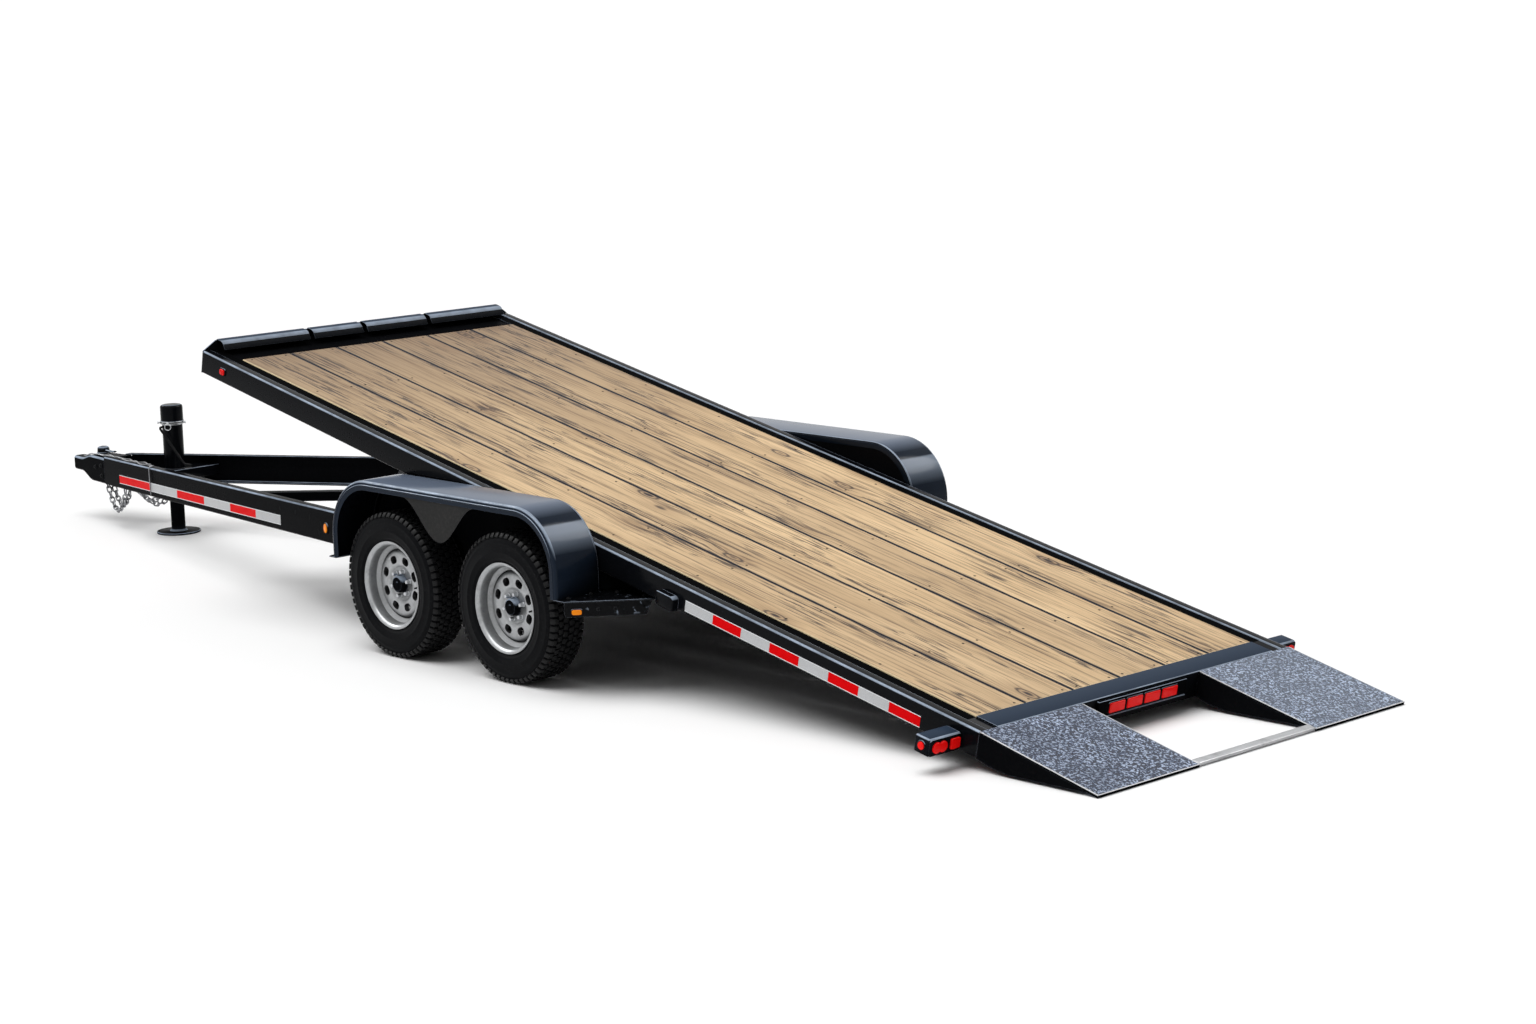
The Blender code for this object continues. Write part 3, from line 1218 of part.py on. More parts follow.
def make_approach_plates(deck):
    """Two plates with curved side ribs down to the ground, and the bar between their tips."""
    start = DECK_BEHIND + SEAT
    bend = DECK_BEHIND + SKIRT_BEND
    knee = DECK_BEHIND + SKIRT_KNEE
    stop = TIP_ALONG - SKIRT_STOP
    rib = [
        (start, DECK_TOP - PLATE_THICK / 2),
        (start, DECK_TOP - SKIRT_DEPTH),
        (bend, over_ground(bend, SKIRT_BEND_HEIGHT)),
        (knee, over_ground(knee, SKIRT_GROUND_GAP)),
        (stop, over_ground(stop, SKIRT_GROUND_GAP)),
        (stop, plate_top(stop) - PLATE_THICK / 2),
    ]
    skin = [
        (start, DECK_TOP),
        (TIP_ALONG, TIP_TOP),
        (TIP_ALONG, TIP_BOTTOM),
        (start, DECK_TOP - PLATE_THICK),
    ]
    middle = (PLATE_INNER_Y + DECK_HALF_WIDTH) / 2
    half_wall = PLATE_RIB_WALL / 2
    for side_name, side in SIDES:
        near, far = sorted((side * PLATE_INNER_Y, side * DECK_HALF_WIDTH))
        pieces = [prism(skin, "y", near, far)]
        for centre in (PLATE_INNER_Y + half_wall, middle, DECK_HALF_WIDTH - half_wall):
            near = side * centre - half_wall
            pieces.append(prism(rib, "y", near, near + PLATE_RIB_WALL))
        finish(fuse(pieces), "approach_plate_" + side_name, "grit_coat", deck)
    half = PLATE_INNER_Y - SEAT
    end = TIP_ALONG - TIP_BAR_BACK
    bottom = TIP_BOTTOM + TIP_BAR_LIFT
    bar = block((end - TIP_BAR_LENGTH, -half, bottom), (end, half, bottom + TIP_BAR_HEIGHT))
    finish(bar, "tip_cross_bar", "bare_steel", deck)


def make_light_bar(deck):
    """The bar below the rear header with its row of raised lamps."""
    start = DECK_BEHIND + SEAT
    high = DECK_TOP - LIGHT_BAR_DROP
    half = LIGHT_BAR_LENGTH / 2
    face = start + LIGHT_BAR_DEPTH
    pieces = [block((start, -half, high - LIGHT_BAR_HEIGHT), (face, half, high))]
    lamp_high = high - BAR_LAMP_DROP
    for lamp in range(BAR_LAMP_COUNT):
        y = (lamp - (BAR_LAMP_COUNT - 1) / 2) * BAR_LAMP_PITCH
        low = (face - WELD, y - BAR_LAMP_WIDTH / 2, lamp_high - BAR_LAMP_HEIGHT)
        pieces.append(block(low, (face + BAR_LAMP_DEPTH, y + BAR_LAMP_WIDTH / 2, lamp_high)))
    finish(fuse(pieces), "light_bar", "black_paint", deck)


def make_tail_lights(deck):
    """A box outside each side rail with a lamp unit on its rear face and a lamp on its end."""
    rear = DECK_BEHIND - TAIL_BOX_AHEAD
    top = DECK_TOP - TAIL_BOX_DROP
    middle = top - TAIL_BOX_HEIGHT / 2
    inner = DECK_HALF_WIDTH + SEAT
    outer = DECK_HALF_WIDTH + TAIL_BOX_REACH
    centre_x = rear - TAIL_BOX_LENGTH / 2
    for side_name, side in SIDES:
        near, far = sorted((side * inner, side * outer))
        box = block((rear - TAIL_BOX_LENGTH, near, top - TAIL_BOX_HEIGHT), (rear, far, top))
        end_in = (centre_x, side * (outer - WELD), middle)
        end_out = (centre_x, side * (outer + SIDE_LAMP_DEPTH), middle)
        end_lamp = rod(end_in, end_out, SIDE_LAMP_RADIUS, 16)
        finish(fuse([box, end_lamp]), "tail_light_box_" + side_name, "black_paint", deck)
        margin = TAIL_LAMP_MARGIN
        near, far = sorted((side * (inner + margin), side * (outer - margin)))
        base_low = (rear + SEAT, near, top - TAIL_BOX_HEIGHT + margin)
        pieces = [block(base_low, (rear + SEAT + TAIL_LAMP_BASE, far, top - margin))]
        for first, last, height in TAIL_LAMP_LENSES:
            near, far = sorted((side * (outer - first), side * (outer - last)))
            low = (rear + TAIL_LAMP_BASE / 2, near, middle - height / 2)
            pieces.append(block(low, (rear + TAIL_LAMP_DEPTH, far, middle + height / 2)))
        finish(fuse(pieces), "tail_lamp_" + side_name, "red_lens", deck)


def make_tilt_cylinder(base_x):
    """The cushion cylinder from the tongue's V brace to the deck, at the angle it rests at."""
    base = Vector((base_x, 0.0, BASE_PIN_HEIGHT))
    turn = Matrix.Rotation(REST_TILT, 3, "Y")
    top = Vector((PIVOT_X, 0.0, PIVOT_Z)) + turn @ Vector((-ROD_PIN_AHEAD, 0.0, ROD_PIN_RISE))
    span = top - base
    lean = -math.atan2(span.z, span.x)
    reach = span.length
    hole = CYLINDER_PIN_RADIUS + CYLINDER_PIN_GAP
    barrel_end = reach - ROD_SHOWING
    base_mark = empty("barrel_hinge", base, lean)
    top_mark = empty("rod_slide", base, lean)
    body = [rod((0, -CYLINDER_EYE_HALF, 0), (0, CYLINDER_EYE_HALF, 0), CYLINDER_EYE_RADIUS, 20)]
    body.append(rod((CYLINDER_START, 0, 0), (barrel_end, 0, 0), CYLINDER_RADIUS, 20))
    body.append(rod((0.010, 0, 0), (CYLINDER_START + 0.01, 0, 0), CYLINDER_NECK_RADIUS, 16))
    cuts = [rod((0, -0.05, 0), (0, 0.05, 0), hole, 16)]
    bore_start = (barrel_end - ROD_BORE_DEPTH, 0, 0)
    cuts.append(rod(bore_start, (barrel_end + 0.05, 0, 0), ROD_RADIUS + CYLINDER_PIN_GAP, 16))
    finish(fuse(body, cuts), "tilt_cylinder_barrel", "black_satin", base_mark, smooth=True)
    bar = [rod((barrel_end - ROD_HELD, 0, 0), (reach - 0.015, 0, 0), ROD_RADIUS, 16)]
    eye = rod((reach, -CYLINDER_EYE_HALF, 0), (reach, CYLINDER_EYE_HALF, 0), CYLINDER_EYE_RADIUS, 20)
    bar.append(eye)
    pin_reach = CYLINDER_EYE_HALF + CLEVIS_GAP - SEAT
    bar.append(rod((reach, -pin_reach, 0), (reach, pin_reach, 0), CYLINDER_PIN_RADIUS, 16))
    finish(fuse(bar), "tilt_cylinder_rod", "zinc_steel", top_mark, smooth=True)


def build():
    """Make the whole trailer as it stands parked, its deck tilted to the ground."""
    clear_scene()
    deck = empty("deck_hinge", (PIVOT_X, 0.0, PIVOT_Z), REST_TILT)
    bpy.context.view_layer.update()
    make_tongue_rails()
    base_x = make_tongue_brace()
    make_main_frame()
    make_springs()
    make_equalizers()
    make_axles()
    make_wheels()
    make_fenders()
    make_coupler()
    make_jack()
    make_chains()
    make_deck_rails(deck)
    make_deck_frame(deck)
    make_floor(deck)
    make_bulkhead(deck)
    make_rear_header(deck)
    make_approach_plates(deck)
    make_light_bar(deck)
    make_tail_lights(deck)
    make_tilt_cylinder(base_x)


build()
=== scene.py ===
# %% [markdown]
# # Dressing a full-tilt car hauler trailer
#
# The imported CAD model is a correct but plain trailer. Every piece has its real shape, size
# and joint, and one flat colour. This script keeps that frame as it is and gives it its looks:
# rolled edges under gloss paint, pine boards, treaded tyres, dished wheels, lamps and tape.
# It is written as a lesson. Each step first says what the real thing is like, how it could be
# made in Blender, and why this way was chosen, and then makes it in a short cell.

import json
import math
import random

import bmesh
import bpy
from mathutils import Matrix, Vector


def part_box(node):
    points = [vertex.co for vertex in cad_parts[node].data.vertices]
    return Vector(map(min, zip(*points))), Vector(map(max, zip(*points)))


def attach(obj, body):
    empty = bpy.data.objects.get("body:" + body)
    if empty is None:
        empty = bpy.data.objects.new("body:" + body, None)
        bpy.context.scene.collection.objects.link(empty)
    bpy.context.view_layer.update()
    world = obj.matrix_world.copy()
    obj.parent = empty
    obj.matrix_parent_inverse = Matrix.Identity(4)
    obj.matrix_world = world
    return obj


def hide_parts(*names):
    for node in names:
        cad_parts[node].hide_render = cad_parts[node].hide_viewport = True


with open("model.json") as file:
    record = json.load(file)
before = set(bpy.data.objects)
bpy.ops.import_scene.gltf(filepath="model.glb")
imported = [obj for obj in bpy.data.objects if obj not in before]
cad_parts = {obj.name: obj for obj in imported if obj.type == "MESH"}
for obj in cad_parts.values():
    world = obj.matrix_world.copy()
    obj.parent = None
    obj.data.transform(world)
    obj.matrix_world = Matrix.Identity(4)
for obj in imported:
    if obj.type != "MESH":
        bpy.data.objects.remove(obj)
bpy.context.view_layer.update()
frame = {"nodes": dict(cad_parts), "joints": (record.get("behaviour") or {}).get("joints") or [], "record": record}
SIDES = (("left", -1.0), ("right", 1.0))
WHEELS = ("front_left", "front_right", "rear_left", "rear_right")

# %% [markdown]
# ## Two places to measure from
#
# The chassis stands level, so its pieces are made straight in the frame's own metres. The deck
# is tilted. Its pieces are easier to make on a level deck, with the hinge as the origin, and
# then turned into place as the last step. The tilt is read from the floor boards: their
# highest corner is the front of the top face, and their rearmost corner is its rear.

# %% The deck's hinge and tilt
PIVOT = Vector([joint for joint in frame["joints"] if joint["name"] == "deck_tilt"][0]["pos_m"])
board_corners = [vertex.co for vertex in frame["nodes"]["floor_boards"].data.vertices]
highest = max(board_corners, key=lambda point: point.z)
rearmost = max(board_corners, key=lambda point: point.x)
REST_TILT = math.atan2(highest.z - rearmost.z, rearmost.x - highest.x)
DECK_TURN = Matrix.Rotation(REST_TILT, 4, "Y")
DECK = Matrix.Translation(PIVOT) @ DECK_TURN
print("deck tilt:", round(math.degrees(REST_TILT), 2), "degrees")

# %% [markdown]
# ## The camera
#
# The photograph was taken from behind the trailer's left rear corner, from a little above the
# deck. A long lens far away gives the same flat perspective. The picture is 1536 pixels wide,
# and the lens is the one at which the trailer fills the frame as it does there.

# %% Camera
PICTURE_WIDTH = 1536
FOCAL_PIXELS = 3200
SENSOR_MM = 36.0
CLIP_END = 400.0
CAMERA_PLACE = Vector((12.200, -9.940, 3.244))
CAMERA_YAW = 0.818
CAMERA_PITCH = 0.176
CAMERA_ROLL = -0.030


def placed(name, data):
    """A new object in the scene."""
    made = bpy.data.objects.new(name, data)
    bpy.context.scene.collection.objects.link(made)
    return made


camera_data = bpy.data.cameras.new("camera")
camera_data.sensor_width = SENSOR_MM
camera_data.lens = FOCAL_PIXELS / PICTURE_WIDTH * SENSOR_MM
camera_data.clip_end = CLIP_END
camera = placed("camera", camera_data)
bpy.context.scene.camera = camera
level = math.cos(CAMERA_PITCH)
ahead = Vector((-math.sin(CAMERA_YAW) * level, math.cos(CAMERA_YAW) * level, -math.sin(CAMERA_PITCH)))
flat_right = Vector((math.cos(CAMERA_YAW), math.sin(CAMERA_YAW), 0.0))
flat_up = flat_right.cross(ahead)
right = flat_right * math.cos(CAMERA_ROLL) + flat_up * math.sin(CAMERA_ROLL)
up = flat_up * math.cos(CAMERA_ROLL) - flat_right * math.sin(CAMERA_ROLL)
turn = Matrix((right, up, -ahead)).transposed()
camera.matrix_world = Matrix.Translation(CAMERA_PLACE) @ turn.to_4x4()
print("camera lens:", round(camera_data.lens, 1), "mm")

# %% [markdown]
# ## Helpers for finishes
#
# A finish is a small tree of shader nodes. Writing each node by hand takes many lines, so `put`
# makes one node and fills its sockets by name, with a value or with another node's output, and
# `layered` lays one colour after another over the first. Every pattern reads Object coordinates
# in metres. A finished piece sits at the origin, so these are the frame's own metres, and a
# pattern keeps its real scale on every piece. The studio's light is a tree of the same kind.

# %% Finish helpers
def plug(tree, socket, value):
    """Gives a socket a value, or links another node's output to it."""
    if isinstance(value, bpy.types.NodeSocket):
        tree.links.new(value, socket)
    else:
        socket.default_value = (*value, 1.0) if socket.type == "RGBA" else value


def fill(tree, node, **inputs):
    """Fills a node's sockets by name with values or with outputs."""
    for name, value in inputs.items():
        plug(tree, node.inputs[name.replace("_", " ")], value)
    return node


def put(tree, kind, **inputs):
    """One shader node with its sockets filled."""
    return fill(tree, tree.nodes.new("ShaderNode" + kind), **inputs)


def sums(tree, operation, first, second, kind="Math", result="Value"):
    """One Math or Vector Math node on two values or outputs."""
    made = put(tree, kind)
    made.operation = operation
    plug(tree, made.inputs[0], first)
    plug(tree, made.inputs[1], second)
    return made.outputs[result]


def times(tree, product, *factors):
    """The product of numbers and outputs."""
    for factor in factors:
        product = sums(tree, "MULTIPLY", product, factor)
    return product


def ramp(tree, factor, *stops):
    """A colour ramp with stops of (position, grey or colour)."""
    made = put(tree, "ValToRGB", Fac=factor)
    elements = made.color_ramp.elements
    while len(elements) < len(stops):
        elements.new(0.5)
    for element, (position, shade) in zip(elements, stops):
        element.position = position
        element.color = (shade, shade, shade, 1.0) if isinstance(shade, float) else (*shade, 1.0)
    return made.outputs["Color"]


def layered(tree, colour, *layers):
    """A colour under (amount, colour) layers, each laid over the last."""
    for amount, layer in layers:
        made = put(tree, "Mix")
        made.data_type = "RGBA"
        for index, value in ((0, amount), (6, colour), (7, layer)):
            plug(tree, made.inputs[index], value)
        colour = made.outputs[2]
    return colour


def noise(tree, vector, scale, detail=3.0, roughness=0.5, distortion=0.0):
    """A noise pattern's grey value."""
    made = put(tree, "TexNoise", Vector=vector, Scale=scale, Detail=detail, Roughness=roughness,
               Distortion=distortion)
    return made.outputs["Fac"]


def streaks(tree, source, scale, *pattern):
    """A noise pattern stretched by a scale of its own on each axis."""
    return noise(tree, put(tree, "Mapping", Vector=source, Scale=scale).outputs["Vector"], 1.0, *pattern)


def span(tree, value, low, high, start=0.0, stop=1.0):
    """A value moved to a range, from 0 to 1 or from another range."""
    made = put(tree, "MapRange", Value=value, From_Min=start, From_Max=stop, To_Min=low, To_Max=high)
    return made.outputs["Result"]


def axes(tree, vector):
    """A vector's three parts."""
    return put(tree, "SeparateXYZ", Vector=vector).outputs


def marked(tree, name):
    """The value that a face or a point carries under a name."""
    reader = put(tree, "Attribute")
    reader.attribute_name = name
    return reader.outputs["Fac"]


def hollows(tree, distance, *stops):
    """A ramp over how open a place is to the light."""
    return ramp(tree, put(tree, "AmbientOcclusion", Distance=distance).outputs["AO"], *stops)


def soft_edge(tree, radius):
    """The normal as if each edge were rounded, and how near an edge the point is."""
    bevel = put(tree, "Bevel", Radius=radius)
    bevel.samples = BEVEL_SAMPLES
    normal = bevel.outputs["Normal"]
    flat = put(tree, "NewGeometry").outputs["Normal"]
    return normal, sums(tree, "SUBTRACT", 1.0, sums(tree, "DOT_PRODUCT", normal, flat, "VectorMath"))


def start_finish(name):
    """A new material, its node tree, its Principled shader and the place in metres."""
    made = bpy.data.materials.new(name)
    made.use_nodes = True
    tree = made.node_tree
    return made, tree, tree.nodes["Principled BSDF"], put(tree, "TexCoord").outputs["Object"]


def bumped(tree, shader, height, strength, distance, normal=None):
    """Feeds a height pattern to the shader's normal, on top of a rounded normal if there is one."""
    made = put(tree, "Bump", Height=height, Strength=strength, Distance=distance)
    if normal:
        plug(tree, made.inputs["Normal"], normal)
    plug(tree, shader.inputs["Normal"], made.outputs["Normal"])


BEVEL_SAMPLES = 6
print("finish helpers ready")

# %% [markdown]
# ## Light and floor
#
# A product studio surrounds the object with white. Here the world gives light that grows from
# the horizon upwards, and one wide, soft sun from above gives the shadow under the deck.
# Together they add up to about one, so that a colour renders about as it is written. What the
# camera and the gloss see behind the object is plain white, set by the kind of ray and not by
# more light on the paint. The floor is a white sheet that keeps the shadow. Two narrow lamps
# that only gloss can see stand for a studio's strip lights: they add gloss lines along the
# folds, beside the highlight that the paints paint there, and add no light or shadow.

# %% World, sun and floor
WORLD_LOW = 0.032
WORLD_HIGH = 0.464
GLOSS_SHARE = 0.77
LAMPS = (
    # name, direction of the light, strength, spread in degrees, whether only gloss sees it
    ("sun", (0.22, 0.26, -1.0), 2.40, 58.0, False),
    ("strip_lamp_0", (-0.34, -0.61, -0.71), 2.20, 30.0, True),
    ("strip_lamp_1", (0.77, 0.20, -0.60), 0.80, 14.0, True),
)
FLOOR_REACH = 350.0

world = bpy.data.worlds.new("studio")
bpy.context.scene.world = world
world.use_nodes = True
sky = world.node_tree
sky.nodes.clear()
rays = put(sky, "LightPath").outputs
seen = sums(sky, "MAXIMUM", rays["Is Camera Ray"], times(sky, rays["Is Glossy Ray"], GLOSS_SHARE))
seen = sums(sky, "MAXIMUM", seen, rays["Is Transmission Ray"])
rise = axes(sky, put(sky, "TexCoord").outputs["Generated"])["Z"]
strength = span(sky, seen, span(sky, rise, WORLD_LOW, WORLD_HIGH), 1.0)
glow = put(sky, "Background", Color=(1.0, 1.0, 1.0), Strength=strength)
put(sky, "OutputWorld", Surface=glow.outputs["Background"])

for name, towards, strength, spread, gloss_only in LAMPS:
    lamp_data = bpy.data.lights.new(name, "SUN")
    lamp_data.energy = strength
    lamp_data.angle = math.radians(spread)
    studio_lamp = placed(name, lamp_data)
    studio_lamp.rotation_mode = "QUATERNION"
    studio_lamp.rotation_quaternion = Vector(towards).to_track_quat("-Z", "Y")
    studio_lamp.visible_diffuse = not gloss_only

floor_mesh = bpy.data.meshes.new("studio_floor")
floor_corners = [(a * FLOOR_REACH, b * FLOOR_REACH, 0) for a, b in ((-1, -1), (1, -1), (1, 1), (-1, 1))]
floor_mesh.from_pydata(floor_corners, [], [(0, 1, 2, 3)])
floor_white, sheet, sheet_shader, _ = start_finish("studio_white")
fill(sheet, sheet_shader, Base_Color=(1.0, 1.0, 1.0), Roughness=0.9, Specular_IOR_Level=0.0)
floor_mesh.materials.append(floor_white)
placed("studio_floor", floor_mesh)
bpy.context.scene.view_settings.view_transform = "Standard"
print("studio: world", WORLD_LOW, "to", WORLD_HIGH, "and", len(LAMPS), "lamps")

# %% [markdown]
# ## Black paint
#
# The steel is painted in black gloss. Real gloss is never even: the film has a fine orange
# peel, and a handled surface is duller in patches. A Principled shader alone gives none of
# that. Low noise moves the roughness, a very fine noise is the peel, and the Bevel node rounds
# the edges' normals and also tells where an edge is, so that a pale line can be laid there: a
# painted highlight, for the light that an edge catches. Folds that are modelled with their real
# radius carry an attribute, "fold", that says the same, and those that face upwards get the
# same painted highlight. Two paints also take painted shade in hollows and a painted
# reflection of the sky on faces that lie flat; one of them takes a painted highlight band
# across a rear bend, and another paint takes painted glints on its dents. The same tree with
# other numbers gives the duller, dustier paint of the running gear.

# %% Black paints
EDGE_ROUND = 0.0025
PEEL_SCALE = 260.0
PEEL_DEPTH = 0.0004
# Colour of the painted highlights on folds, on the rear-bend band and on the glints.
FOLD_HIGHLIGHT_TONE = (0.420, 0.500, 0.620)
DUST_TONE = (0.16, 0.15, 0.14)
HOLLOW_SHADE_TONE = (0.0020, 0.0022, 0.0026)


def black_paint(name, tone, edge_highlight_tone, gloss, patchy, peel, dust, specular, painted_sky_reflection=None, dents_and_glints=0.0, band=0.0):
    """Painted steel: colour, painted edge and fold highlights, patchy gloss, orange peel and dust."""
    made, tree, shader, place = start_finish(name)
    way = axes(tree, put(tree, "NewGeometry").outputs["Normal"])
    normal, near_edge = soft_edge(tree, EDGE_ROUND)
    cloud = noise(tree, place, 2.6, 5.0, 0.6)
    specks = ramp(tree, noise(tree, place, 75.0, 4.0, 0.7), (0.48, 0.0), (0.80, 1.0))
    # The tone, random tone variation, a painted highlight along the edges, and dust specks.
    colour = layered(
        tree, tone,
        (cloud, [channel * 1.7 for channel in tone]),
        (ramp(tree, near_edge, (0.01, 0.0), (0.16, 1.0)), edge_highlight_tone),
        (times(tree, specks, dust), DUST_TONE),
    )
    # Painted shade in hollows, and a painted reflection of the sky on faces that lie nearly flat.
    if painted_sky_reflection:
        inside = hollows(tree, 0.30, (0.35, 0.95), (0.80, 0.0))
        lying = ramp(tree, way["Z"], (0.84, 0.0), (0.985, 0.95))
        colour = layered(tree, colour, (inside, HOLLOW_SHADE_TONE), (lying, painted_sky_reflection))
    # Painted highlight: a pale band across faces that slope up and to the rear, as on a rear bend.
    if band:
        bright = ramp(tree, way["Z"], (0.30, 0.0), (0.62, 1.0), (0.72, 1.0), (0.745, 0.0))
        rearward = ramp(tree, way["X"], (0.0, 0.0), (0.2, 1.0))
        colour = layered(tree, colour, (times(tree, bright, rearward, band), FOLD_HIGHLIGHT_TONE))
    # Painted highlight: folds that face upwards get a pale, uneven line, as if lit from above.
    lit = ramp(tree, way["Z"], (0.22, 0.0), (0.50, 1.0), (0.93, 1.0), (0.99, 0.0))
    uneven = span(tree, noise(tree, place, 9.0, 3.0), 0.10, 1.35)
    colour = layered(tree, colour, (times(tree, marked(tree, "fold"), lit, uneven), FOLD_HIGHLIGHT_TONE))
    # Dents swell the normal, and pale painted glints sit on some of their crests.
    if dents_and_glints:
        swell = noise(tree, place, 13.0, 2.0, 0.5, 1.2)
        glints = ramp(tree, swell, (0.56, 0.0), (0.60, dents_and_glints), (0.66, 0.0))
        spotty = ramp(tree, noise(tree, place, 31.0, 2.0), (0.52, 0.0), (0.66, 1.0))
        colour = layered(tree, colour, (times(tree, glints, spotty), FOLD_HIGHLIGHT_TONE))
        swollen = put(tree, "Bump", Height=swell, Strength=dents_and_glints, Distance=0.02, Normal=normal)
        normal = swollen.outputs["Normal"]
    fill(tree, shader, Base_Color=colour, Roughness=span(tree, cloud, gloss, gloss + patchy),
         Specular_IOR_Level=specular)
    bumped(tree, shader, noise(tree, place, PEEL_SCALE, 2.0), peel, PEEL_DEPTH, normal)
    return made


# In each paint the second colour is the painted highlight along its edges.
GLOSS_BLACK = black_paint(
    "gloss_black", (0.0024, 0.0026, 0.0032), (0.150, 0.170, 0.210), 0.20, 0.12, 0.02, 0.02, 0.003)
SMOOTH_BLACK = black_paint(
    "smooth_black", (0.0024, 0.0028, 0.0038), (0.170, 0.190, 0.230), 0.10, 0.08, 0.05, 0.02, 0.045)
# The fenders' sheet: painted sky reflection on the flat top, and a painted highlight band (last number).
SHEET_BLACK = black_paint(
    "sheet_black", (0.0075, 0.0125, 0.0220), (0.050, 0.062, 0.085), 0.12, 0.05, 0.03, 0.02, 0.060,
    (0.138, 0.172, 0.236), 0.0, 0.50)
# Near-black strip paint: painted shade in its hollows, a painted blue-grey sky reflection on top.
STRIP = black_paint(
    "dark_strip_painted_sky_reflection", (0.0040, 0.0052, 0.0075), (0.150, 0.170, 0.210), 0.30, 0.15, 0.10, 0.06, 0.020,
    (0.030, 0.047, 0.078))
# Dents with painted glints, for the fenders' plates.
DENTED_BLACK = black_paint(
    "dented_black", (0.0020, 0.0022, 0.0028), (0.200, 0.220, 0.260), 0.08, 0.06, 0.03, 0.02, 0.060, None, 0.7)
# Near-black with no dust or gloss, for the sheet that paints the shade in the rails' ledges.
SHADED_BLACK = black_paint(
    "shaded_black", (0.0014, 0.0015, 0.0018), (0.004, 0.004, 0.005), 0.45, 0.10, 0.05, 0.0, 0.002)
SATIN_BLACK = black_paint(
    "satin_black", (0.0045, 0.0048, 0.0054), (0.045, 0.048, 0.052), 0.40, 0.20, 0.25, 0.12, 0.02)
MATT_GREY = black_paint(
    "matt_grey", (0.022, 0.022, 0.022), (0.060, 0.063, 0.070), 0.60, 0.20, 0.20, 0.12, 0.04)
print("eight black paints")

# %% [markdown]
# ## Pine boards
#
# Planed pine shows long growth lines, darker and denser than the wood between them, that bend
# round knots. Dark weathered streaks lie along them. All of it runs along the board, so the
# pattern has to follow each board and not the room. Each board therefore carries its own UV
# map in metres, along and across, moved by a different amount, so that no two boards look
# alike. Noise stretched along the board gives the lines, and a sparse Voronoi pattern the knots.

# %% Pine
DARKENS_AHEAD = (0.9, -1.33)  # where along the deck the wood starts to darken, and where it is darkest


